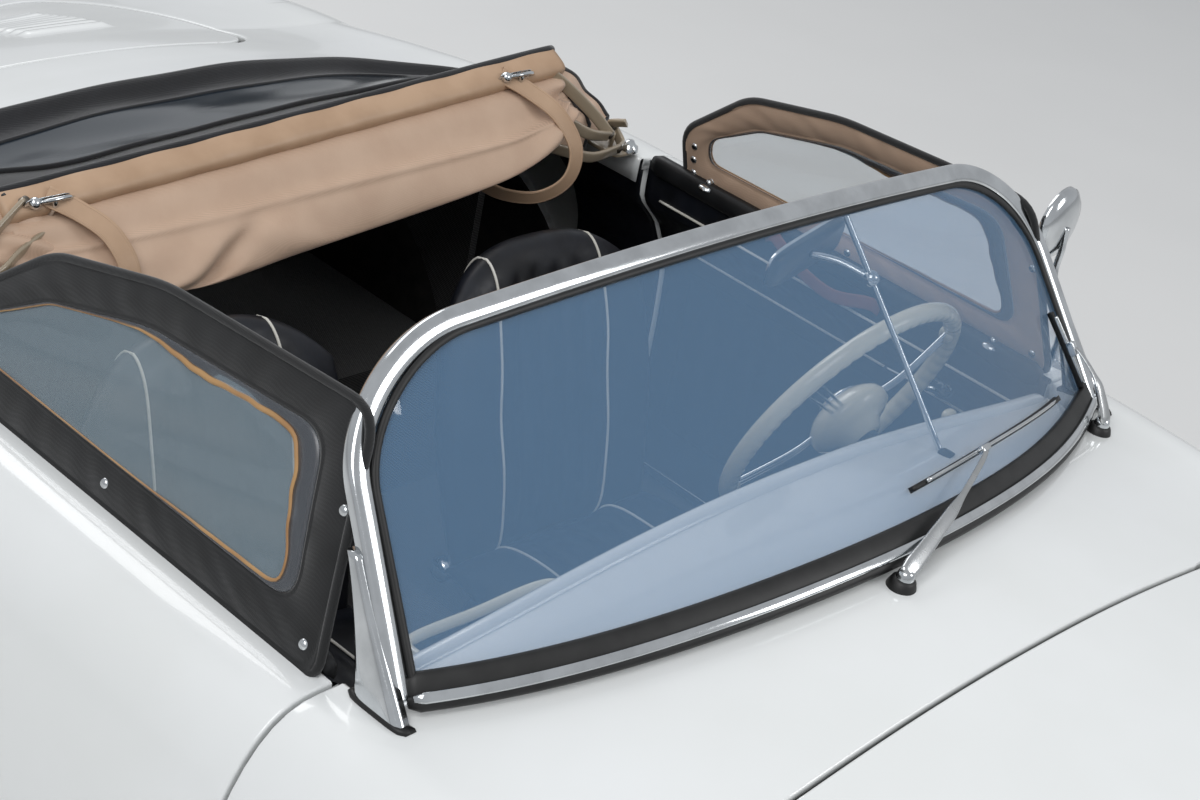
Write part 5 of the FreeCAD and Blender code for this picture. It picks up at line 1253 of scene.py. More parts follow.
HEM = make_clear("window_hem_grey", "#3A3F48", 0.35, 0.55)
SEAM = make_leather("aged_seam_tan", "#B08A5C", "#97704A", 0.5)


def make_curtain(side, stem):
    """A side curtain: a padded cloth border with a bound edge, a clear wavy window and snaps."""
    lowest, highest = low(f"curtain_{stem}"), high(f"curtain_{stem}")
    foot_y, head_y = (highest[1], lowest[1]) if side > 0 else (lowest[1], highest[1])
    foot = np.array([0, foot_y - side * 0.003, lowest[2] + 0.0015])
    rise = np.array([0, head_y + side * 0.003, highest[2] - 0.002]) - foot
    tall = np.linalg.norm(rise)
    rise = rise / tall
    face = np.cross(X, rise) * -side
    rear, front, hem = DOOR_REAR + 0.074, DOOR_FRONT - 0.014, 0.048
    outer = rounded_outline([(rear, 0), (front, 0), (front - 0.058, tall), (0, tall - 0.020),
                             (rear + 0.130, tall * 0.755), (rear - 0.004, 0.090)],
                            [0.02, 0.02, 0.045, 0.3, 0.12, 0.06])
    inner = rounded_outline([(rear + hem, 0.052), (front - hem - 0.014, 0.052),
                             (front - 0.058 - hem, tall - hem), (0, tall - 0.020 - hem),
                             (rear + 0.150, tall * 0.755 - hem), (rear + hem, 0.095)],
                            [0.03, 0.03, 0.045, 0.25, 0.09, 0.045])

    def at(flat, out=0.0):
        flat = np.asarray(flat)
        belly = 0.006 * np.sin(np.clip(flat[..., 1] / tall, 0, 1) * np.pi) * np.cos(flat[..., 0] * 3.5)
        return foot + flat[..., :1] * X + flat[..., 1:] * rise + (belly + out)[..., None] * face
    cloth = Piece(f"curtain_{stem}_border")
    across = [(0.0, 0.0), (0.012, 0.0030), (0.06, 0.0034), (0.10, 0.0018), (0.14, 0.0030), (0.5, 0.0042),
              (0.86, 0.0030), (0.90, 0.0016), (0.94, 0.0026), (1.0, 0.0012)]
    ring_ = across + [(a, -b) for a, b in across[::-1][:-1]]
    i = np.arange(len(outer))
    ruck = 1 + 0.25 * np.sin(i * 0.9) * np.sin(i * 0.23)
    rows = [at(outer * (1 - a) + inner * a, b * np.where(abs(b) > 0.0028, ruck, np.ones_like(ruck)))
            for a, b in ring_]
    half = len(across)
    cloth.grid(np.stack(rows[:half]), CURTAIN_CLOTH, (False, True))
    cloth.grid(np.stack(rows[half - 1:] + rows[:1]), LINING, (False, True))
    tube(cloth, np.concatenate([at(outer), at(outer)[:2]]), 0.0052, CURTAIN_CLOTH, 10, caps=False)
    studs = [(rear + 0.018, 0.020), (rear + 0.018, 0.045), (rear + 0.020, 0.070), (rear + 0.055, 0.020),
             (front - 0.030, 0.026), (front - 0.045, tall * 0.62), (0.02, 0.026)]
    for spot in studs:
        for way in (1, -1):
            lathe(cloth, [(0, 0.0035), (0.0035, 0.0033), (0.0062, 0.0012), (0.0066, -0.001)],
                  at(np.array(spot), way * 0.0036), face * way, CHROME, 18)
    border = cloth.make(f"door_{stem}", stands_for=(f"curtain_{stem}",), slot="curtain_cloth")
    clear = Piece(f"curtain_{stem}_window")
    t = np.linspace(1, 0.02, 17)[:, None, None]
    spots = inner.mean(0) + (inner[None] - inner.mean(0)) * t
    along, up = spots[..., 0], spots[..., 1]
    wave = 0.0035 * np.sin(along * 21 + 2 * np.sin(up * 26)) * np.sin(up * 33 + 1.1)
    fall = np.clip((1 - t[..., 0]) / 0.08, 0, 1)
    grid = at(spots, wave * fall)
    clear.grid(grid, PLASTIC, (False, True))
    clear.fan(grid[-1], PLASTIC)
    n = np.arange(len(inner))
    turn = np.arctan2(inner[:, 1] - inner[:, 1].mean(), inner[:, 0] - inner[:, 0].mean())
    upper = np.exp(-((turn - 0.9) / 1.15) ** 2)
    shrink = 0.012 + 0.150 * upper + 0.010 * np.sin(n * 0.37) * upper + 0.006 * np.sin(n * 1.1) * upper
    seam = inner + (inner.mean(0) - inner) * shrink[:, None]
    bands = [inner + (seam - inner) * k for k in (0.01, 0.3, 0.6, 0.97)]
    for way in (0.0022, -0.0026):
        clear.grid(np.stack([at(band, way + 0 * turn) for band in bands]), HEM, (False, True))
    line = at(seam, 0.0005 + 0 * turn)
    tube(clear, np.concatenate([line, line[:1]]), 0.0012 + 0.0028 * np.append(upper, upper[0]), SEAM, 8,
         caps=False)
    clear.make(f"door_{stem}", thick=0.0008, stands_for=(f"curtain_window_{stem}",), slot="window_plastic")
    2 * outline_area(outer, inner)


# The mirrors

def make_door_mirror():
    """The outside mirror: a round shell and glass on a stem, with a long drop-shaped foot."""
    piece = Piece("door_mirror_head")
    centre = np.array([0.302, 0.722, 1.030])
    face = unit(np.array([-1.0, -0.10, 0.02]))
    shell = [(0.0, -0.012), (0.030, -0.0105), (0.046, -0.0055), (0.0545, 0.002), (0.0550, 0.008),
             (0.0520, 0.0095), (0.0505, 0.0085)]
    lathe(piece, shell, centre, face, CHROME, 56)
    lathe(piece, [(0.0505, 0.0078), (0.03, 0.0083), (0.0, 0.0085)], centre, face, MIRROR, 56)
    foot_x, foot_y = 0.352, 0.704
    ribs = Ribs(x=[foot_x])
    ground = ribs.at(bisect(lambda v: ribs.at(v)[:, 1] - foot_y, [1.0], [2.0]))[0]
    t = np.linspace(-1, 1, 40)
    wide = 0.0165 * np.sqrt(np.maximum(1 - np.abs(t) ** 2.2, 0)) * (1 - 0.35 * t)
    spine = ground + t[:, None] * np.array([-0.052, 0.0015, 0.001])
    a = np.linspace(0, np.pi, 14)
    high_ = 0.014 * np.maximum(1 - t**2, 0) ** 0.8 * (1 + 0.25 * t)
    across, up = np.array([0, 0.94, -0.34]), np.array([0, 0.34, 0.94])
    foot = spine[:, None] + wide[:, None, None] * np.cos(a)[None, :, None] * across \
        + (high_[:, None] * np.sin(a)[None])[..., None] * up - np.array([0, 0.001, 0.003])
    piece.grid(foot, CHROME)
    piece.grid(foot[:, [0, -1]], CHROME)
    stem = curve([ground + (0.010, 0.001, 0.004), ground + (0.004, 0.006, 0.05),
                  centre + (0.018, -0.004, -0.075), centre + (0.014, 0, -0.030), centre - face * 0.010],
                 40)
    tube(piece, stem, np.interp(np.linspace(0, 1, 40), [0, 0.15, 0.8, 1],
                                [0.0085, 0.0055, 0.0048, 0.006]), CHROME, 16)
    return piece.make("door_left", stands_for=("door_mirror",), slot="chrome")


def make_inside_mirror():
    """The inside mirror on a ball clamp, and the slim rod between head rail and scuttle that holds it."""
    piece = Piece("inside_mirror_rod")
    head = screen_at(0.35, 0.955, -0.014)
    base = np.array([0.480, 0.262, 0.885])
    path = head + (base - head) * np.linspace(0, 1, 30)[:, None]
    tube(piece, path, 0.0038, CHROME, 14)
    lathe(piece, [(0, 0.004), (0.008, 0.004), (0.011, 0.0), (0.012, -0.006)], head, unit(base - head),
          CHROME, 24)
    lathe(piece, [(0, 0.008), (0.0075, 0.008), (0.012, 0.003), (0.016, -0.003)], base, unit(head - base),
          RUBBER, 24)
    centre = np.array([0.254, 0.192, 1.081])
    joint = head + (base - head) * 0.28
    rounded_box(piece, joint, (0.0105, 0.0105, 0.0105), CHROME, power=2.0, steps=16)
    arm = curve([joint, joint * 0.5 + centre * 0.5 + (0, 0, 0.004), centre + (0.008, 0, 0)], 20)
    tube(piece, arm, 0.0048, CHROME, 12)
    face = unit(np.array([-1.0, -0.22, 0.10]))
    side = unit(np.cross(Z, face))
    top = np.cross(face, side)
    outline = ring(1.0, 64, 1.0, 5.0)
    flat = outline[:, :1] * side * 0.099 + outline[:, 1:] * top * 0.0255
    depths = [(0.90, -0.0085, BLACK_AND_PAINTED_SHADE), (0.985, -0.0045, BLACK_AND_PAINTED_SHADE), (1.0, 0.001, CHROME), (1.0, 0.0045, CHROME),
              (0.955, 0.006, CHROME)]
    rows = np.stack([centre + flat * a + face * b for a, b, _ in depths])
    piece.grid(rows[:3], BLACK_AND_PAINTED_SHADE, (False, True))
    piece.grid(rows[2:], CHROME, (False, True))
    piece.fan(rows[0], BLACK_AND_PAINTED_SHADE)
    piece.fan(rows[-1], MIRROR, True)
    return piece.make("body", stands_for=("inside_mirror",), slot="chrome")


# Wheels, bumpers and lamps

def make_wheel(end, stem):
    """A wheel: its tyre with grooved tread, and a pressed steel disc with slots and a bright cap."""
    name = f"{end}_{stem}"
    centre = middle(f"tyre_{name}")
    side = 1 if stem == "left" else -1
    axis = np.array([0, side, 0])
    body = f"wheel_{name}"
    piece = Piece(f"tyre_{name}_rubber")
    half = (high(f"tyre_{name}")[1] - low(f"tyre_{name}")[1]) / 2
    wall = [(0.196, 0.058), (0.201, 0.066), (0.206, 0.063), (0.212, 0.066), (0.225, 0.0735),
            (0.240, half - 0.001), (0.252, half), (0.262, half - 0.0006), (0.275, half - 0.004),
            (0.288, half - 0.009), (0.297, half - 0.0135)]
    tread = [(0.307, half - 0.0175), (0.3125, half - 0.0215), (TYRE - 0.0042, 0.0485)]
    grooves = []
    for at in (0.040, 0.020, 0.0):
        grooves += [(TYRE - 0.003 + 0.003 * (1 - (at + 0.0035) / 0.0485), at + 0.0035),
                    (TYRE - 0.0095, at + 0.0022), (TYRE - 0.0095, at - 0.0022),
                    (TYRE - 0.003 + 0.003 * (1 - abs(at - 0.0035) / 0.0485), at - 0.0035)]
    right = wall + tread + grooves[:-3]
    profile = np.array(right + [(r, -h) for r, h in right[::-1]] + [(0.196, -0.052)])
    count = 200
    a = np.arange(count) * 2 * np.pi / count
    radius = np.broadcast_to(profile[:, :1], (len(profile), count)).copy()
    height = np.broadcast_to(profile[:, 1:], radius.shape).copy()
    land = radius > 0.305
    zigzag = 0.0016 * np.where(np.arange(count) % 8 < 4, 1, -1)
    height += np.where(land, zigzag[None], 0)
    lug = (np.arange(count) % 4 == 0)[None] & (radius < 0.3145) & (radius > 0.300)
    radius -= np.where(lug, 0.0035, 0)
    points = centre + radius[..., None] * (np.cos(a)[:, None] * X + np.sin(a)[:, None] * Z)[None] \
        + height[..., None] * axis
    piece.grid(points, TYRE_RUBBER, (True, True))
    piece.make(body, soft_angle=40, stands_for=(f"tyre_{name}",), slot="tyre")
    disc = Piece(f"wheel_{name}_disc")
    lip_ = [(0.190, -0.062), (0.200, -0.063), (0.202, -0.060), (0.198, -0.056), (0.186, -0.050),
            (0.176, -0.020), (0.172, 0.012), (0.176, 0.040), (0.187, 0.052), (0.1985, 0.055),
            (0.2015, 0.058), (0.2015, 0.062), (0.198, 0.063), (0.193, 0.0595), (0.186, 0.056),
            (0.180, 0.046), (0.174, 0.041), (0.166, 0.040)]
    lathe(disc, lip_, centre, axis, BRIGHT_PAINT, 96)
    slots, around, rows_ = 12, 40, 5

    def face(r):
        return smooth([(0.098, 0.045), (0.115, 0.052), (0.135, 0.052), (0.155, 0.045), (0.166, 0.040)], r)
    for k in range(slots):
        sector = np.pi / slots
        t = np.arange(around) * 2 * np.pi / around
        hole = np.stack([0.135 + 0.0105 * np.sin(t), 0.021 / 0.135 * np.cos(t)], -1)
        e = ring(1.0, around, 1.0, 30.0)
        edge = np.stack([0.132 + 0.034 * e[:, 1], sector * e[:, 0]], -1)
        s = np.linspace(0, 1, rows_)[:, None, None]
        flat = hole * (1 - s) + edge * s
        angle = flat[..., 1] + k * 2 * sector
        place_ = centre + flat[..., :1] * (np.cos(angle)[..., None] * X + np.sin(angle)[..., None] * Z) \
            + face(flat[..., 0])[..., None] * axis
        deep = place_[:1] - axis * 0.006
        disc.grid(np.concatenate([deep, place_]), BRIGHT_PAINT, (False, True))
    cap = [(0.102, 0.044), (0.100, 0.050), (0.096, 0.056), (0.090, 0.0585), (0.082, 0.0575),
           (0.074, 0.0600), (0.055, 0.0655), (0.030, 0.0685), (0.0, 0.0695)]
    lathe(disc, cap, centre, axis, CHROME, 64)
    back = [(0.100, 0.040), (0.090, 0.020), (0.060, 0.012), (0.0, 0.012)]
    lathe(disc, back, centre, axis, BLACK_AND_PAINTED_SHADE, 48)
    # A black ring behind the disc shows through the slots: painted shade for the dark inside of the wheel
    lathe(disc, [(0.170, 0.030), (0.120, 0.022), (0.100, 0.020)], centre, axis, BLACK_AND_PAINTED_SHADE, 48)
    valve = centre + 0.158 * X + axis * 0.045
    tube(disc, np.stack([valve, valve + axis * 0.012 + X * 0.004]), 0.003, RUBBER, 8)
    return disc.make(body, stands_for=(f"rim_{name}",), slot="chrome")


def make_bumper(way, stem):
    """A bumper: a curved blade with a bright strip, two guards with rubber faces, and its arms."""
    piece = Piece(f"bumper_{stem}_blade")
    tip = high("bumper_front")[0] if way > 0 else low("bumper_rear")[0]
    z = middle(f"bumper_{stem}")[2]
    half = high(f"bumper_{stem}")[1] - 0.042
    face = tip - way * 0.020
    path = curve([(face, 0, z), (face - way * 0.010, half * 0.32, z), (face - way * 0.046, half * 0.62, z),
                  (face - way * 0.150, half * 0.955, z), (face - way * 0.330, half + 0.034, z)], 60)
    path = np.concatenate([(path * [1, -1, 1])[:0:-1], path])
    t = np.linspace(-1, 1, len(path))
    size = np.clip((1 - np.abs(t)) / 0.02 + 0.35, 0, 1) ** 0.5
    height = np.array([-1, -0.86, -0.55, -0.25, 0, 0.25, 0.55, 0.86, 1])
    bulge = 0.006 * (1 - height**2) ** 0.7 * 2
    front_ = np.stack([bulge, height * 0.037], -1)
    back_ = np.stack([bulge - 0.004, height * 0.034], -1)[::-1]
    section = np.concatenate([front_, back_])
    across = path_frame(path, Z)[0]
    outward_sign = np.sign((across[len(path) // 2] * np.array([way, 0, 0])).sum())
    points = path[:, None] + across[:, None] * (section[None, :, :1] * size[:, None, None] * outward_sign) \
        + Z * section[None, :, 1:] * size[:, None, None]
    pipe(piece, points, PAINT)
    inner = slice(4, -4)
    strip_path = (path + across * outward_sign * 0.0125)[inner]
    tube(piece, strip_path, 0.0085, BRIGHT, 12, 0.45, 2.4, first=(0, 0, 1))
    tube(piece, strip_path + across[inner] * outward_sign * 0.003, 0.0035, RUBBER, 8, 0.5, first=(0, 0, 1))
    for y in (0.3225, -0.3225):
        centre = np.array([face - way * 0.008, y, z])
        tall = np.linspace(-1, 1, 30)
        wide = 0.021 * np.sqrt(np.maximum(1 - np.abs(tall) ** 3, 0))
        deep = 0.026 * (1 - np.abs(tall) ** 2.5) ** 0.5
        a = np.linspace(0, 2 * np.pi, 28, endpoint=False)
        round_y, round_x = wide[:, None] * np.cos(a)[None], deep[:, None] * np.sin(a)[None]
        guard = centre + tall[:, None, None] * np.array([0, 0, 0.073]) \
            + round_y[..., None] * Y + round_x[..., None] * X
        piece.grid(guard, CHROME, (False, True))
        rounded_box(piece, centre + np.array([way * 0.0225, 0, 0]), (0.0035, 0.005, 0.045), RUBBER,
                    power=4, steps=12)
    for y in (0.265, -0.265):
        inside = (NOSE if way > 0 else TAIL) - way * 0.09
        start = np.array([face - way * 0.016, y, z])
        tube(piece, np.stack([start, start * [0, 1, 1] + [inside, 0, 0]]), 0.019, STEEL, 12, 0.5, 4.0)
    return piece.make("body", stands_for=(f"bumper_{stem}",), slot="paint")


def make_lamps():
    """The lamps: headlamps with small lamps and slots under them, and a round red lamp a side behind."""
    piece = Piece("front_lamps")
    for side in (1, -1):
        centre = LAMP * [1, side, 1] + np.array([-0.004, 0, 0])
        ring_ = [(0.1035, -0.020), (0.1055, -0.006), (0.1045, 0.004), (0.0995, 0.009), (0.0935, 0.0085),
                 (0.0905, 0.004), (0.0900, -0.002)]
        lathe(piece, ring_, centre, X, CHROME, 72)
        bowl = [(0.0900, -0.004), (0.080, -0.030), (0.060, -0.052), (0.035, -0.064), (0.0, -0.070)]
        lathe(piece, bowl, centre, X, MIRROR, 56)
        rounded_box(piece, centre + np.array([-0.045, 0, 0]), (0.012, 0.012, 0.012), LENS, power=2,
                    steps=12)
        glass = [(0.0915, 0.003), (0.080, 0.0075), (0.060, 0.0125), (0.035, 0.0160), (0.0, 0.0175)]
        lathe(piece, glass, centre, X, LENS, 72)
        centre = np.array([NOSE - 0.060, side * LAMP_Y, 0.503])
        lathe(piece, [(0.0325, -0.060), (0.0325, -0.016), (0.0335, -0.006), (0.030, -0.001),
                      (0.0275, -0.002)], centre, X, CHROME, 40)
        lathe(piece, [(0.0275, -0.003), (0.022, 0.001), (0.012, 0.0018), (0.0, 0.002)], centre, X, AMBER,
              40)
        slot_ = np.array([NOSE - 0.020, side * 0.370, 0.440])
        rounded_box(piece, slot_ + np.array([-0.030, 0, 0]), (0.012, 0.045, 0.013), CHROME, power=5,
                    steps=16)
        # The black inset fills the slot: painted shade for its dark opening
        rounded_box(piece, slot_ + np.array([-0.025, 0, 0]), (0.010, 0.039, 0.0085), BLACK_AND_PAINTED_SHADE, power=6,
                    steps=16)
    piece.make("body", stands_for=("headlamps", "side_lamps"), slot="headlamp_glass")
    tail = Piece("rear_lamps")
    for side in (1, -1):
        spot = np.array([low("tail_lamps")[0] + 0.002, side * LAMP_Y, middle("tail_lamps")[2]])
        lathe(tail, [(0.0425, 0.10), (0.0425, 0.012), (0.0405, 0.004), (0.0360, 0.001), (0.0330, 0.003)],
              spot, X, CHROME, 44)
        lathe(tail, [(0.0330, 0.004), (0.026, 0.0), (0.014, -0.001), (0.0, -0.0012)], spot, X, RED, 44)
    plate_lamp = np.array([TAIL + 0.016, 0, 0.520])
    rounded_box(tail, plate_lamp, (0.014, 0.050, 0.016), CHROME, power=4, steps=16)
    return tail.make("body", stands_for=("tail_lamps",), slot="lamp")


def make_lid_handles():
    """The bright handle on the front lid and the button on the engine lid."""
    piece = Piece("front_lid_handle")
    x = np.linspace(1.50, 1.66, 40)
    z = smooth(SPINE_HEIGHT, x)
    base = np.stack([x, 0 * x, z + 0.011 + 0.010 * np.sin(np.linspace(0, np.pi, 40))], -1)
    size = np.interp(np.linspace(0, 1, 40), [0, 0.12, 0.5, 0.9, 1], [0.003, 0.007, 0.009, 0.012, 0.004])
    tube(piece, base, size, CHROME, 16, 0.6)
    for k in (4, -5):
        lathe(piece, [(0.006, 0.016), (0.008, 0.004), (0.012, -0.003)], [x[k], 0, z[k] - 0.001], Z,
              CHROME, 20)
    piece.make("front_lid", slot="chrome")
    knob = Piece("engine_lid_button")
    z = smooth(SPINE_HEIGHT, np.array([-1.60]))[0]
    lathe(knob, [(0, 0.016), (0.010, 0.015), (0.013, 0.011), (0.012, 0.005), (0.018, 0.001),
                 (0.020, -0.003)], [-1.60, 0, z], unit(np.array([-0.45, 0, 1.0])), CHROME, 32)
    return knob.make("engine_lid", slot="chrome")


# The seats

SEAT_LEAN = unit(np.array([-0.110, 0, 0.430]))
SEAT_FACE = np.cross(Y, SEAT_LEAN)
SEAT_Y, BACK_HALF, CUSHION_HALF = 0.302, 0.214, 0.212
RIB_PITCH = 0.0448
PIPING_AT = 0.112


def pillow(a, b, thick, soft=4.0):
    """The half thickness of a stuffed form: full in the middle, and round at its rim, where a or b is 1."""
    return thick * np.maximum(1 - np.abs(a) ** soft, 0) ** 0.5 * np.maximum(1 - np.abs(b) ** soft, 0) ** 0.5


def channels(across, amount):
    """Sewn channels across the middle of a panel: round ribs with sharp seams between them."""
    inside = np.abs(across) < PIPING_AT - 0.002
    wave = np.abs(np.sin(across * np.pi / RIB_PITCH + np.pi / 2)) ** 0.55
    return np.where(inside, amount * (wave - 1), 0.0)


def make_seat(side, stem):
    """A bucket seat: a back with a domed top and a cushion, both padded, with sewn channels and piping."""
    seat_y = side * SEAT_Y
    piece = Piece(f"seat_{stem}_padding")
    a, b = np.meshgrid(spread(-1, 1, 80, 0.55), spread(-1, 1, 70, 0.6), indexing="ij")
    foot = np.array([-0.178, seat_y, 0.375])

    def back(a, b, way, lift=0.0):
        tall = 0.470 - 0.085 * np.abs(a) ** 2.8
        wide = BACK_HALF - 0.016 * np.clip(b, 0, 1) ** 2 - 0.012 * np.clip(-b, 0, 1)
        height = (b + 1) / 2 * tall
        half = pillow(a, b, 0.056, 3.0)
        wrap = 0.034 * np.abs(a) ** 2.4 - 0.012 * (1 - a * a) * (1 - b * b)
        crease = 0.0022 * np.sin(9 * a + 3 * b) * np.sin(7 * b + 2 * a)
        relief_ = channels(a * BACK_HALF, 0.0055) * np.clip((0.86 - np.abs(b)) / 0.1, 0,
                                                            1) if way > 0 else 0.0
        out = wrap + way * (half + (crease + relief_) * np.minimum(half / 0.03, 1) + lift)
        return foot + (a * wide)[..., None] * Y + height[..., None] * SEAT_LEAN + out[..., None] * SEAT_FACE
    piece.grid(back(a, b, 1), LEATHER)
    piece.grid(back(a, b, -1), LEATHER, turn=True)
    base = np.array([0.058, seat_y, 0.372])

    def cushion(a, b, way, lift=0.0):
        deep = 0.213
        half = pillow(a, b, 0.056, 5.0)
        half = half * (0.75 if way < 0 else 1.0)
        bolster = 0.022 * np.abs(b) ** 2.5 + 0.010 * np.clip(a, 0, 1)
        dish = -0.010 * (1 - a * a) * (1 - b * b)
        relief_ = channels(b * CUSHION_HALF, 0.0065) * np.clip((0.88 - np.abs(a)) / 0.1, 0,
                                                               1) if way > 0 else 0.0
        crease = 0.0020 * np.sin(8 * b + 3 * a) * np.sin(6 * a + 2 * b)
        out = bolster + dish + way * (half + (relief_ + crease) * np.minimum(half / 0.03, 1) + lift)
        return base + (a * deep)[..., None] * X + (b * CUSHION_HALF)[..., None] * Y + out[..., None] * Z
    piece.grid(cushion(a, b, 1), LEATHER, turn=True)
    piece.grid(cushion(a, b, -1), LEATHER)
    t = np.linspace(-0.985, 0.992, 90)
    for at in (-1, 1):
        across = np.full(90, at * PIPING_AT / BACK_HALF)
        over = np.concatenate([back(across, t, 1, 0.0008), back(across, t, -1, 0.0008)[:-9:-1]])
        tube(piece, over, 0.0021, PIPING, 8)
        across = np.full(90, at * PIPING_AT / CUSHION_HALF)
        tube(piece, cushion(t, across, 1, 0.0008), 0.0021, PIPING, 8)
    pan = np.array([0.04, seat_y, 0.300])
    rounded_box(piece, pan, (0.205, 0.190, 0.022), BLACK_AND_PAINTED_SHADE, power=6, steps=16)
    for k in (-1, 1):
        rail = np.stack([[-0.13, seat_y + k * 0.150, 0.212], [0.23, seat_y + k * 0.150, 0.212]])
        tube(piece, rail, 0.016, STEEL, 12, 0.6, 5.0)
        for x in (-0.09, 0.19):
            leg = np.array([[x, seat_y + k * 0.150, 0.212], [x, seat_y + k * 0.150, 0.295]])
            tube(piece, leg, 0.012, STEEL, 10)
    for k in (-1, 1):
        pivot = foot + np.array([0.012, k * 0.205, 0.010])
        lathe(piece, [(0, 0.010), (0.014, 0.009), (0.019, 0.004), (0.019, -0.010)], pivot,
              np.array([0, k, 0]), CHROME, 28)
    made = piece.make("body", stands_for=(f"seat_{stem}",), slot="leather")
    return made


# The stowed hood

BOW = np.array([-0.470, 0.0, 0.992])
BOW_HALF = 0.482
BOW_TILT = 0.058


def bow_place(y):
    """The header bow's middle: a straight bar with a slight bow up and forward."""
    t = np.abs(y) / BOW_HALF
    sag = BOW_TILT * np.clip((BOW_HALF - y) / (2 * BOW_HALF), 0, 1.1) ** 1.3
    return np.stack([BOW[0] + 0.016 * (1 - t**2), y, BOW[2] + 0.012 - sag + 0.004 * (1 - t**2)], -1)


def make_bow():
    """The header bow: a vinyl covered bar with a bound upper edge, and two over-centre latches."""
    piece = Piece("hood_bow")
    y = np.linspace(-BOW_HALF, BOW_HALF, 120)
    path = bow_place(y)
    section = ring(0.024, 28, 0.62, 3.0)
    lean = unit(np.array([0.55, 0, 1.0]))
    points = swept(path, section, lean)
    wrinkle = 0.0009 * np.sin(y * 55)[:, None] * np.cos(np.arange(28) * 0.45)[None]
    pipe(piece, points + wrinkle[..., None] * Z, BEIGE_VINYL)
    bead = path + np.array([-0.010, 0, 0.0165])
    bead = np.concatenate([[bead[0] + (-0.010, -0.006, -0.012)], bead,
                           [bead[-1] + (-0.010, 0.006, -0.012)]])
    tube(piece, bead, 0.0068, HOOD_CLOTH, 12, 0.8)
    tube(piece, path + np.array([0.013, 0, -0.0125]), 0.0028, BEIGE_VINYL, 8)
    for y in (-0.427, 0.371):
        at = bow_place(np.array([y]))[0] + np.array([0.020, 0, 0.006])
        lean_side = unit(np.array([0.45, 0, 0.9]))
        out = unit(np.array([0.9, 0, 0.45]))
        rounded_box(piece, at, (0.032, 0.0095, 0.0026), CHROME, (Y, lean_side, out), 5, 14)
        lathe(piece, [(0, 0.0105), (0.0055, 0.0095), (0.0078, 0.006), (0.0078, 0.0)], at + Y * -0.019,
              out, CHROME, 22)
        lathe(piece, [(0, 0.0070), (0.0045, 0.0062), (0.0055, 0.003), (0.0055, 0.0)], at + Y * 0.021, out,
              CHROME, 20)
        hook = curve([at + Y * -0.012 + out * 0.006, at + Y * 0.004 + out * 0.012,
                      at + Y * 0.026 + out * 0.010, at + Y * 0.038 + out * 0.004 - lean_side * 0.004], 26)
        tube(piece, hook, 0.0030, CHROME, 10)
        lever = curve([at + Y * 0.006 + out * 0.009, at + Y * 0.007 + out * 0.015 - lean_side * 0.012,
                       at + Y * 0.008 + out * 0.013 - lean_side * 0.030], 22)
        tube(piece, lever, np.linspace(0.0046, 0.0034, 22), CHROME, 12)
        rounded_box(piece, lever[-1] - lean_side * 0.004, (0.0056, 0.0056, 0.0056), CHROME, power=2,
                    steps=12)
    return piece.make("body", stands_for=("hood_frame",), slot="hood_cloth")


def lining_place(y, v):
    """The folded lining: a profile from the bow, forward and down to its lowest fold and back underneath.

    The fold's height varies across, and broad creases run down it towards the lowest point.
    """
    y, v = np.broadcast_arrays(np.asarray(y, float), np.asarray(v, float))
    foot = smooth([(-0.48, 0.852), (-0.37, 0.846), (-0.251, 0.836), (-0.10, 0.850), (0.10, 0.866),
                   (0.282, 0.886), (0.40, 0.912), (0.48, 0.940)], y)
    tuck = smooth([(-0.48, 0.030), (-0.38, 0.008), (-0.2, 0.0), (0.3, 0.0), (0.41, 0.014), (0.48, 0.050)],
                  y)
    bow = bow_place(np.clip(y, -0.47, 0.47))
    low_ = np.minimum(foot, 0.862)
    bow_x, _, bow_z = np.moveaxis(bow, -1, 0)
    knots = [(bow_x + 0.006, bow_z - 0.012), (bow_x + 0.034, bow_z - 0.022),
             (-0.398 - tuck, bow_z - 0.048), (-0.368 - tuck, (bow_z - 0.048 + foot) / 2 + 0.010),
             (-0.350 - tuck, foot + 0.014), (-0.360 - tuck, foot), (-0.410 - tuck, foot - 0.004),
             (-0.500, low_ - 0.006), (-0.580, low_ - 0.030)]
    pieces = len(knots) - 1
    k = np.minimum((v * pieces).astype(int), pieces - 1)
    u = v * pieces - k
    px, pz = (np.stack([p[i] + 0 * y for p in knots]) for i in (0, 1))

    def pick(values, i):
        return np.take_along_axis(values, np.clip(i, 0, pieces)[None], 0)[0]
    x, z = (cubic(*(pick(values, k + i) for i in (-1, 0, 1, 2)), u) for values in (px, pz))

    def hump(there, width):
        return np.exp(-(there / width) ** 2)
    dent = -0.020 * hump(y + 0.165 + 0.55 * (v - 0.36), 0.026) * hump(v - 0.47, 0.12)
    ridge = 0.014 * hump(y + 0.235 + 0.40 * (v - 0.4), 0.034) * hump(v - 0.50, 0.16)
    ridge = ridge + 0.009 * hump(y + 0.150 - 0.5 * (v - 0.35), 0.050) * hump(v - 0.42, 0.16)
    broad = 0.0045 * np.sin(7.5 * y + 5 * v + 0.6) + 0.0030 * np.sin(17 * y - 7 * v + 2.0)
    long_ = 0.006 * hump(v - 0.30 - 0.10 * y, 0.020)
    right = 0.007 * np.sin(42 * (y - 0.36) + 14 * v) * np.clip((y - 0.34) / 0.1, 0, 1)
    lift = (dent + ridge + broad + right) * hump(v - 0.45, 0.22) + long_
    return np.stack([x + lift * 0.85, y, z + lift * 0.45], -1)


def cockpit_edge(s, out):
    """The opening's rear edge, from one round corner to the other, moved out by that much."""
    corner, reach = COCKPIT_CORNER + out, COCKPIT_HALF - COCKPIT_CORNER
    along = np.abs(s) * (corner * np.pi / 2 + reach)
    angle = np.clip((along - reach) / corner, 0, np.pi / 2)
    x = COCKPIT_REAR + COCKPIT_CORNER - corner * np.cos(angle)
    return x, np.sign(s) * (np.minimum(along, reach) + corner * np.sin(angle))


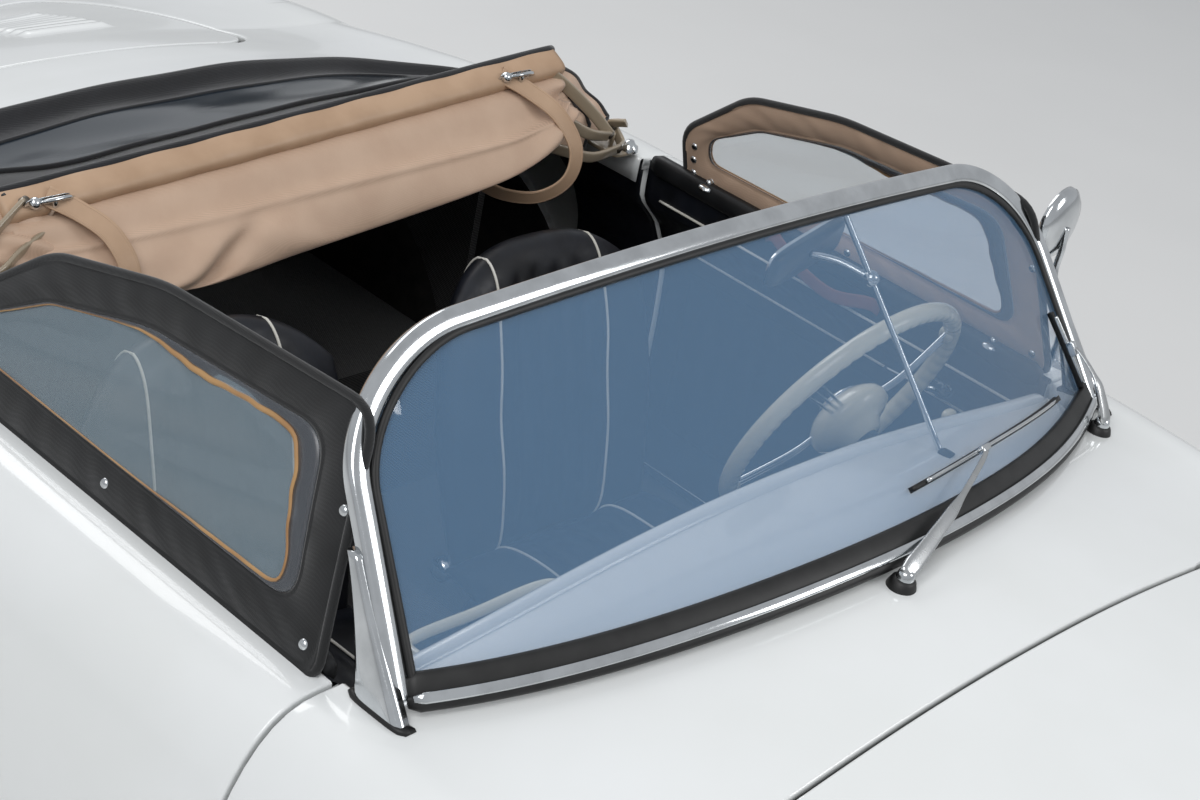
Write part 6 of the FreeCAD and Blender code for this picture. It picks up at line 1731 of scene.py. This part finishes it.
def outer_place(s, v):
    """The folded outer cloth, which falls from the bow to the cockpit's rear edge in a few soft waves."""
    s, v = np.broadcast_arrays(np.asarray(s, float), np.asarray(v, float))
    bow = bow_place(s * BOW_HALF) + np.array([-0.020, 0, 0.008])
    edge_x, edge_y = cockpit_edge(s, 0.009)
    edge = np.stack([edge_x, edge_y, top_height(edge_x, edge_y) + 0.0065], -1)
    t = v**0.9
    place = bow * (1 - t[..., None]) + edge * t[..., None]
    belly = -0.012 * np.sin(np.pi * v) * (1 - 0.35 * np.abs(s))
    swing = np.sin(np.pi * v)
    waves = 0.005 * np.sin(11 * s + 6 * v) * swing + 0.003 * np.sin(23 * s - 9 * v) * swing
    roll = 0.026 * np.exp(-((v - 0.91) / 0.060) ** 2)
    pane = np.clip((0.80 - np.abs(s)) / 0.20, 0, 1) * np.clip((0.84 - v) / 0.14, 0, 1)
    place[..., 2] += belly + waves * (1 - 0.75 * pane) + roll
    return place


def make_hood():
    """The stowed hood: its lining, outer cloth, rear window, side flaps, straps and irons."""
    y, v = np.meshgrid(np.linspace(-0.478, 0.478, 130), np.linspace(0, 1, 84), indexing="ij")
    lining = Piece("hood_lining")
    lining.grid(lining_place(y, v), LINING)
    inside = lining.make("body", thick=0.003, away_from=(-0.52, 0, 0.90), stands_for=("hood_fabric",),
                         slot="hood_cloth")
    outer = Piece("hood_outer")
    s, v = np.meshgrid(np.linspace(-1, 1, 112), np.linspace(0, 1, 52), indexing="ij")
    outer.grid(outer_place(s, v), HOOD_CLOTH)
    edge = outer_place(np.linspace(-1, 1, 150), 1.0)
    tube(outer, edge, 0.0055, HOOD_CLOTH, 10)
    cover = outer.make("body", thick=0.003, slot="hood_cloth")
    pane = Piece("hood_rear_window")
    ring_ = rounded_outline([(-0.60, 0.16), (0.56, 0.16), (0.56, 0.70), (-0.60, 0.70)], [0.14] * 4, 160)
    t = np.linspace(1, 0.01, 20)[:, None, None]
    spot = ring_.mean(0) + (ring_[None] - ring_.mean(0)) * t
    place = outer_place(spot[..., 0], spot[..., 1])
    wave = 0.0007 * np.sin(spot[..., 0] * 13 + 2 * np.sin(spot[..., 1] * 7))
    place[..., 2] += 0.0045 + wave * np.clip((1 - t[..., 0]) / 0.1, 0, 1)
    pane.grid(place, REAR_PANE, (False, True))
    pane.fan(place[-1], REAR_PANE)
    rim = np.concatenate([place[0], place[0, :1]])
    tube(pane, rim, 0.0034, HOOD_CLOTH, 8, caps=False)
    pane.make("body", slot="window_plastic")
    make_bow()
    for side, stem in SIDES:
        make_flaps(side, stem)
        make_irons(side, stem)
        make_strap(side, stem)


FOLD_FOOT, FOLD_HEIGHT = 0.872, 0.13


def fold_drop(side, z):
    """How far a point at that height is lowered where the bow lies lower, on the right side."""
    drop = 0.0 if side > 0 else BOW_TILT * 0.75
    return drop * np.clip((z - FOLD_FOOT) / FOLD_HEIGHT, 0, 1)


def make_flaps(side, stem):
    """The hood's side flaps, folded outside the irons: lining in, canvas out, with a bound edge."""
    mirror = np.array([1, side, 1])
    piece = Piece(f"hood_flaps_{stem}")
    shapes = (([(-0.470, 0.470, 1.006), (-0.480, 0.530, 0.978), (-0.488, 0.592, 0.930),
                (-0.468, 0.630, 0.892)], [(-0.440, 0.430, 0.955), (-0.438, 0.480, 0.925),
                                          (-0.442, 0.540, 0.892), (-0.446, 0.594, 0.872)]),
              ([(-0.505, 0.470, 1.000), (-0.535, 0.535, 0.985), (-0.560, 0.600, 0.940),
                (-0.545, 0.640, 0.902)], [(-0.480, 0.440, 0.950), (-0.490, 0.500, 0.925),
                                          (-0.500, 0.560, 0.900), (-0.498, 0.612, 0.886)]),
              ([(-0.455, 0.440, 0.975), (-0.450, 0.490, 0.958), (-0.448, 0.530, 0.930),
                (-0.436, 0.552, 0.905)], [(-0.420, 0.400, 0.915), (-0.415, 0.445, 0.895),
                                          (-0.418, 0.490, 0.880), (-0.424, 0.530, 0.872)]))
    for upper, lower in shapes:
        top, foot = curve(upper, 36), curve(lower, 36)
        for line in (top, foot):
            line[:, 2] -= fold_drop(side, line[:, 2])
        t, u = np.linspace(0, 1, 17)[None], np.linspace(0, 1, 36)[:, None]
        belly = 0.014 * np.sin(np.pi * t) * np.sin(np.pi * u) + 0.004 * np.sin(17 * u + 5 * t)
        face = unit(np.array([0.75, -0.35, 0.55]))
        front = between(top, foot, 17) + belly[..., None] * face
        piece.grid(front * mirror, LINING)
        piece.grid((front - 0.004 * face) * mirror, HOOD_CLOTH, turn=True)
        rim = np.concatenate([front[:, 0], front[-1, 1:], front[::-1, -1][1:]]) - 0.002 * face
        tube(piece, rim * mirror, 0.0048, HOOD_CLOTH, 10, 0.8)
    return piece.make("body", recalc=False, slot="hood_cloth")


def make_irons(side, stem):
    """The painted hood irons: riveted flat bars from the bow to a hooked bracket behind the door."""
    mirror = np.array([1, side, 1])
    piece = Piece(f"hood_irons_{stem}")
    bars = ([(-0.455, 0.455, 1.000), (-0.440, 0.500, 0.965), (-0.425, 0.545, 0.925),
             (-0.412, 0.575, 0.892)], [(-0.438, 0.430, 0.940), (-0.420, 0.480, 0.925),
                                       (-0.405, 0.520, 0.905), (-0.412, 0.575, 0.890)],
            [(-0.430, 0.420, 0.900), (-0.408, 0.470, 0.885), (-0.392, 0.520, 0.872),
             (-0.398, 0.585, 0.872)], [(-0.398, 0.585, 0.872), (-0.412, 0.606, 0.873),
                                       (-0.430, 0.602, 0.893), (-0.420, 0.590, 0.906),
                                       (-0.402, 0.598, 0.912)])
    bars = [[(x, y, z - fold_drop(side, z)) for x, y, z in bar] for bar in bars]
    for bar in bars:
        path = curve(bar, 40) * mirror
        tube(piece, path, 0.0095, IRON_PAINT, 14, 0.36, 4.0, first=(0.3, 0.1, 1.0))
    for spot in (bars[0][0], bars[0][-1], bars[1][0], bars[2][0], bars[2][-1], bars[3][2]):
        lathe(piece, [(0, 0.0085), (0.004, 0.0080), (0.0062, 0.0058), (0.0066, -0.003)],
              np.array(spot) * mirror, unit(np.array([0.6, -0.35 * side, 0.7])), STEEL, 18)
    foot = np.array([-0.438, 0.612, 0.8555])
    rounded_box(piece, foot * mirror, (0.036, 0.024, 0.0045), IRON_PAINT, power=5, steps=14)
    post = np.stack([foot, foot + (0.012, -0.012, 0.034)])
    tube(piece, post * mirror, 0.010, IRON_PAINT, 14, 0.4, 4.0)
    lathe(piece, [(0, 0.016), (0.006, 0.015), (0.009, 0.010), (0.014, 0.006), (0.015, -0.002)],
          (foot + (0.028, 0.014, 0.004)) * mirror, Z, CHROME, 24)
    return piece.make("body", slot="iron_paint")


def make_strap(side, stem):
    """A broad strap that hangs from the bow round the rolled hood's end."""
    piece = Piece(f"hood_strap_{stem}")
    if side > 0:
        knots = [(-0.452, 0.352, 1.010), (-0.425, 0.384, 0.992), (-0.388, 0.420, 0.962),
                 (-0.358, 0.440, 0.915), (-0.352, 0.428, 0.868), (-0.372, 0.392, 0.838),
                 (-0.410, 0.352, 0.834), (-0.445, 0.318, 0.852)]
    else:
        knots = [(-0.452, -0.425, 0.962), (-0.425, -0.392, 0.945), (-0.392, -0.368, 0.925),
                 (-0.362, -0.358, 0.892), (-0.352, -0.362, 0.858), (-0.368, -0.380, 0.836),
                 (-0.410, -0.400, 0.836)]
    path = curve(knots, 80)
    tangent = unit(np.gradient(path, axis=0))
    hint = unit(np.cross(tangent[0], unit(np.array([0.8, 0, 0.6]))))
    tube(piece, path, 0.0145, BEIGE_VINYL, 20, 0.11, 6.0, first=hint)
    side_ = steady_frame(path, hint)[0]
    for k in (-1, 1):
        tube(piece, path + side_ * k * 0.0115, 0.0022, BEIGE_VINYL, 6)
    return piece.make("body", slot="hood_cloth")


# The dashboard and the controls

def make_dash():
    """What is on the dashboard: a roll along its top, dials with plain marks, knobs and a glove box lid."""
    piece = Piece("dash_fittings")
    face_x = low("dashboard")[0]
    half = high("dashboard")[1]
    y = np.linspace(-half + 0.010, half - 0.010, 120)
    z = top_height(face_x + 0.03, y) - 0.010
    path = np.stack([np.full_like(y, face_x + 0.016), y, z - 0.004], -1)
    fade = np.clip((half - 0.010 - np.abs(y)) / 0.02 + 0.4, 0, 1) ** 0.5
    tube(piece, path, 0.0195 * fade, PAINT, 20, 0.72, 2.6)
    back = np.linspace(0, 1, 14)
    xs = (face_x + 0.018) + (screen_foot_x(y)[:, None] - 0.022 - face_x - 0.018) * back[None]
    xs = np.maximum(xs, face_x + 0.018)
    ys = np.broadcast_to(y[:, None], xs.shape)
    pad = np.stack([xs, ys, top_height(xs, ys) - 0.0015 + 0.004 * np.sin(np.pi * back)[None]], -1)
    piece.grid(pad, PAINT)
    dials = [(0.355, 0.056), (0.228, 0.042), (0.482, 0.042)]
    for dial_y, radius in dials:
        centre = np.array([face_x - 0.001, dial_y, 0.772])
        lathe(piece, [(radius + 0.006, -0.004), (radius + 0.005, 0.004), (radius, 0.0075),
                      (radius - 0.004, 0.004)], centre, -X, CHROME, 56)
        lathe(piece, [(radius - 0.002, 0.0015), (0.0, 0.0015)], centre, -X, BLACK_AND_PAINTED_SHADE, 48)
        for k in range(25):
            angle = math.radians(-130 + k * 260 / 24)
            way = np.sin(angle) * -Y + np.cos(angle) * Z
            long_, thick = (0.16, 0.0009) if k % 4 == 0 else (0.09, 0.0006)
            tick = np.stack([centre + way * radius * 0.86,
                             centre + way * radius * (0.86 - long_)]) - X * 0.0022
            tube(piece, tick, thick, PIPING, 6)
        needle = math.radians(-118)
        way = np.sin(needle) * -Y + np.cos(needle) * Z
        tube(piece, np.stack([centre - way * radius * 0.15, centre + way * radius * 0.72]) - X * 0.0045,
             0.0011, AMBER, 8)
        lathe(piece, [(0, 0.0085), (0.005, 0.008), (0.006, 0.004), (0.006, 0.0)], centre, -X, BLACK_AND_PAINTED_SHADE, 20)
    knobs = ((0.140, 0.782), (0.100, 0.782), (0.060, 0.782), (0.020, 0.782), (0.560, 0.760),
             (-0.020, 0.782))
    for knob_y, knob_z in knobs:
        lathe(piece, [(0, 0.026), (0.008, 0.0255), (0.0095, 0.022), (0.0075, 0.016), (0.004, 0.012),
                      (0.004, 0.004), (0.011, 0.003), (0.011, -0.002)], (face_x, knob_y, knob_z), -X,
              IVORY, 24)
    lid = rounded_outline([(-0.52, 0.715), (-0.18, 0.715), (-0.18, 0.822), (-0.52, 0.822)], [0.02] * 4, 120)
    rim = np.stack([np.full(121, face_x - 0.001), *np.concatenate([lid, lid[:1]]).T], -1)
    tube(piece, rim, 0.0022, BLACK_AND_PAINTED_SHADE, 8, caps=False)
    shut = np.stack([np.full(120, face_x - 0.0022), *(lid * 0.985 + lid.mean(0) * 0.015).T], -1)
    piece.fan(shut, PAINT)
    lathe(piece, [(0, 0.016), (0.007, 0.0155), (0.009, 0.011), (0.0105, 0.002), (0.012, -0.001)],
          (face_x - 0.002, -0.235, 0.770), -X, CHROME, 24)
    handle = curve([(face_x + 0.002, -0.535, 0.838), (face_x - 0.035, -0.52, 0.834),
                    (face_x - 0.040, -0.42, 0.830), (face_x - 0.035, -0.32, 0.834),
                    (face_x + 0.002, -0.305, 0.838)], 60)
    tube(piece, handle, 0.0068, IVORY, 16)
    return piece.make("body", slot="paint")


def make_steering():
    """The steering wheel: a moulded rim with finger notches, a broad hub and spokes of thin rods."""
    centre = np.array([0.262, 0.355, 0.812])
    rake = math.radians(22)
    axis = np.array([math.cos(rake), 0, -math.sin(rake)])
    up = np.cross(axis, Y)
    piece = Piece("steering_wheel_rim")
    count = 360
    a = np.arange(count) * 2 * np.pi / count
    b = np.arange(18) * 2 * np.pi / 18
    spoke = np.array([-35, 35, 145, 215]) * np.pi / 180
    clear = np.min(np.abs((a[:, None] - spoke + np.pi) % (2 * np.pi) - np.pi), axis=1)
    notch = 0.0016 * (np.abs(np.sin(a * 30)) ** 0.7 - 0.6) * np.clip((clear - 0.10) / 0.05, 0, 1)
    under = np.clip(np.cos(b - 0.9), 0, 1)
    section = 0.0120 + notch[:, None] * under[None]
    way = np.cos(a)[:, None] * Y + np.sin(a)[:, None] * up
    reach, rise = 0.190 + section * -np.cos(b), section * np.sin(b) * 1.08
    rim = centre + way[:, None] * reach[..., None] + axis * rise[..., None]
    piece.grid(rim, IVORY, (True, True))
    for angle in spoke:
        out = math.cos(angle) * Y + math.sin(angle) * up
        turn = np.cross(axis, out)
        for shift in (-0.0075, 0.0, 0.0075):
            start = centre + out * 0.030 + turn * shift + axis * 0.010
            end = centre + out * 0.186 + turn * shift * 1.5
            rod = curve([start, start * 0.6 + end * 0.4 + axis * 0.006, end], 20)
            tube(piece, rod, 0.0026, CHROME, 10)
        rounded_box(piece, centre + out * 0.186, (0.013, 0.014, 0.011), IVORY, (out, turn, axis), 3.5, 14)
    hub = [(0.0, -0.018), (0.018, -0.0175), (0.026, -0.015), (0.030, -0.010), (0.033, -0.0085),
           (0.046, -0.004), (0.058, 0.006), (0.062, 0.016), (0.060, 0.026), (0.048, 0.034),
           (0.034, 0.040), (0.026, 0.052), (0.0, 0.054)]
    lathe(piece, hub, centre, axis, IVORY, 64)
    lathe(piece, [(0.0315, -0.012), (0.0345, -0.011), (0.0345, -0.0075), (0.032, -0.006)], centre, axis,
          CHROME, 48)
    tube(piece, np.stack([centre + axis * 0.050, centre + axis * 0.098]), 0.017, BLACK_AND_PAINTED_SHADE, 20)
    return piece.make("steering_wheel", stands_for=("steering_wheel",), slot="ivory")


def make_controls():
    """The gear lever with its boot and knob, the pedals' pads, and the stalk on the column."""
    piece = Piece("gear_lever_parts")
    foot = np.array([0.395, 0.0, low("gear_lever")[2]])
    knob = foot + np.array([-0.095, 0, 0.225])
    folds = [(0.040, -0.001)] + [(0.037 - 0.0055 * k / 2 - 0.004 * (k % 2),
                                  0.006 + 0.0055 * k) for k in range(8)]
    lathe(piece, folds + [(0.0075, 0.055)], foot, Z, RUBBER, 40)
    rod = curve([foot + (0, 0, 0.02), foot + (-0.012, 0, 0.09), knob + (0.025, 0, -0.07), knob], 40)
    tube(piece, rod, 0.0055, CHROME, 14)
    lathe(piece, [(0, 0.019), (0.009, 0.018), (0.016, 0.012), (0.0188, 0.002), (0.0165, -0.009),
                  (0.010, -0.018), (0.0065, -0.024)], knob, unit(np.array([-0.25, 0, 1])), IVORY, 36)
    piece.make("body", stands_for=("gear_lever",), slot="steel")
    pads = Piece("pedal_parts")
    for k in (-1, 0, 1):
        start = np.array([0.735, 0.320 + k * 0.115, low("pedals")[2] + 0.004])
        end = start + np.array([-0.030, 0, 0.135])
        tube(pads, curve([start, start + (-0.004, 0, 0.06), end], 20), 0.006, STEEL, 10)
        rounded_box(pads, start, (0.011, 0.013, 0.006), STEEL, power=5, steps=12)
        rounded_box(pads, end + (-0.004, 0, 0), (0.0065, 0.026, 0.034), RUBBER, power=6, steps=18)
        for j in range(-3, 4):
            bar = np.array([end + (-0.0105, -0.020, j * 0.0085), end + (-0.0105, 0.020, j * 0.0085)])
            tube(pads, bar, 0.0020, RUBBER, 6)
    pads.make("body", stands_for=("pedals",), slot="steel")
    stalk = Piece("indicator_stalk")
    base = np.array([0.372, 0.384, 0.775])
    tip = base + np.array([-0.030, 0.115, 0.030])
    tube(stalk, curve([base, base + (0, 0.05, 0.010), tip], 24), 0.0032, CHROME, 12)
    rounded_box(stalk, tip, (0.008, 0.013, 0.008), IVORY, power=2.4, steps=14)
    return stalk.make("body", slot="ivory")


TRAY_HEIGHT = 0.235


def make_undertrays():
    """Dark trays that close the nose and the tail from below, between their feet and the middle."""
    piece = Piece("undertrays")
    front_end, rear_end = FRONT_AXLE + FRONT_ARCH + 0.03, REAR_AXLE - REAR_ARCH - 0.03
    for fan, end in ((NOSE_FAN, front_end), (TAIL_FAN, rear_end)):
        ribs = Ribs(fan=fan, share=fan_shares(fan, 90))
        keep = fan["way"] * ribs.waist[:, 0] > fan["way"] * end
        foot = ribs.at(np.full(len(ribs), 0.06), 0.006)[keep]
        inner = np.stack([np.full(len(foot), end), foot[:, 1], np.full(len(foot), TRAY_HEIGHT)], -1)
        if fan is TAIL_FAN:
            inner = foot + (inner - foot) * 0.45
        both(piece, between(foot, inner, 20), UNDERSEAL)
    grid_x, grid_y = np.meshgrid(np.linspace(0.905, front_end, 20), np.linspace(-0.395, 0.395, 20),
                                 indexing="ij")
    piece.grid(np.stack([grid_x, grid_y, np.full_like(grid_x, TRAY_HEIGHT)], -1), UNDERSEAL)
    return piece.make("body", thick=0.0015, slot="paint_grey")


def make_mats():
    """Rubber mats with raised ribs over the carpet, before each seat."""
    piece = Piece("floor_mats")
    rear, front, inner, outer, floor = 0.34, 0.70, 0.15, 0.47, 0.1985
    for side in (1, -1):
        x, y = np.meshgrid(np.linspace(rear, front, 12), np.linspace(inner, outer, 97), indexing="ij")
        edge = np.minimum(np.minimum(x - rear, front - x), np.minimum(y - inner, outer - y))
        ribs = 0.0018 * (np.sin(y * 2 * np.pi / 0.012) > 0) * (edge > 0.02)
        z = floor + 0.003 * np.clip(edge / 0.004, 0, 1) + ribs
        piece.grid(np.stack([x, side * y, z], -1), RUBBER, turn=side < 0)
    return piece.make("body", thick=0.002, slot="tyre")


SIDES = ((1, "left"), (-1, "right"))
MAKERS = (make_body_front, make_front_lid, make_body_rear, make_engine_lid, make_wheel_houses,
          make_side_strips, make_jambs, make_undertrays, make_windscreen_frame, make_windscreen_glass,
          make_wipers, make_door_mirror, make_inside_mirror, make_lamps, make_lid_handles, make_hood,
          make_dash, make_steering, make_controls, make_mats)
PAIRED_MAKERS = (make_door, make_door_trim, make_door_outside, make_curtain, make_seat)
NODE_FINISHES = {
    CARPET: ("floor_pan", "rear_shelf", "bulkhead"),
    UNDER_PAINT: ("luggage_tub",),
    PAINT: ("dashboard",),
    IVORY: ("steering_column",),
    STEEL: ("front_axle", "rear_axle", "knuckle_left", "knuckle_right", "exhaust"),
    CAST: ("engine",),
}


def dress_frame():
    """Gives each node that still shows its finish."""
    for paint, names in NODE_FINISHES.items():
        for name in names:
            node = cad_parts[name]
            node.data.materials.clear()
            node.data.materials.append(paint)


# The studio

CAMERA_PLACE = (1.6629, -1.9005, 2.183)
CAMERA_AHEAD = (-0.5497, 0.6854, -0.4775)
CAMERA_RIGHT = (0.7027, 0.6885, 0.1793)
CAMERA_FOCUS, PHOTO_WIDTH = 2216.5, 1200


def make_studio():
    """A pale floor and a white surround, three soft lamps, and the camera at the photograph's angle."""
    floor_paint = bpy.data.materials.new("studio_floor_pale")
    floor_paint.use_nodes = True
    tree = floor_paint.node_tree
    shader = tree.nodes["Principled BSDF"]
    shader.inputs["Roughness"].default_value = 0.7
    mm = add(tree, "VectorMath", {0: add(tree, "TexCoord").outputs["Object"], "Scale": 1000.0},
             operation="SCALE")
    vary(tree, shader, grain(tree, mm.outputs[0], 900), ("#DADAD9", "#D7D7D6"))
    mesh = bpy.data.meshes.new("floor")
    reach = 30.0
    mesh.from_pydata([(-reach, -reach, 0), (reach, -reach, 0), (reach, reach, 0), (-reach, reach, 0)], [],
                     [(0, 1, 2, 3)])
    floor = bpy.data.objects.new("floor", mesh)
    bpy.context.scene.collection.objects.link(floor)
    mesh.materials.append(floor_paint)
    world = bpy.data.worlds.new("studio")
    bpy.context.scene.world = world
    world.use_nodes = True
    tree = world.node_tree
    back = tree.nodes["Background"]
    back.inputs["Color"].default_value = linear("#EEF1F5")
    path = add(tree, "LightPath").outputs
    seen = add(tree, "Math", {0: path["Is Camera Ray"], 1: path["Is Transmission Ray"]},
               operation="MAXIMUM")
    shown = add(tree, "MapRange", {"Value": seen.outputs[0], "To Min": 0.60, "To Max": 0.95})
    tree.links.new(shown.outputs[0], back.inputs["Strength"])
    for name, place, size, power in (("key", (1.6, -3.6, 5.2), 3.4, 150),
                                     ("fill", (4.2, 2.6, 3.6), 2.0, 70),
                                     ("back", (-4.4, 1.2, 4.6), 3.2, 100)):
        lamp = bpy.data.lights.new(name, "AREA")
        lamp.shape, lamp.size, lamp.energy = "SQUARE", size, power
        made = bpy.data.objects.new(name, lamp)
        bpy.context.scene.collection.objects.link(made)
        made.location = place
        made.rotation_euler = (Vector((0, 0, 0.6)) - made.location).to_track_quat("-Z", "Y").to_euler()
    lens = bpy.data.cameras.new("camera")
    lens.sensor_width = 36.0
    lens.lens = CAMERA_FOCUS / PHOTO_WIDTH * lens.sensor_width
    camera = bpy.data.objects.new("camera", lens)
    bpy.context.scene.collection.objects.link(camera)
    ahead, right = unit(CAMERA_AHEAD), unit(CAMERA_RIGHT)
    turn = Matrix(np.stack([right, unit(np.cross(right, ahead)), -ahead], 1).tolist()).to_4x4()
    camera.matrix_world = Matrix.Translation(Vector(CAMERA_PLACE)) @ turn
    bpy.context.scene.camera = camera
    bpy.context.scene.view_settings.view_transform = "Standard"


for make in MAKERS:
    make()
for side, stem in SIDES:
    for make in PAIRED_MAKERS:
        make(side, stem)
    for end in ("front", "rear"):
        make_wheel(end, stem)
make_bumper(1, "front")
make_bumper(-1, "rear")
make_studio()
dress_frame()
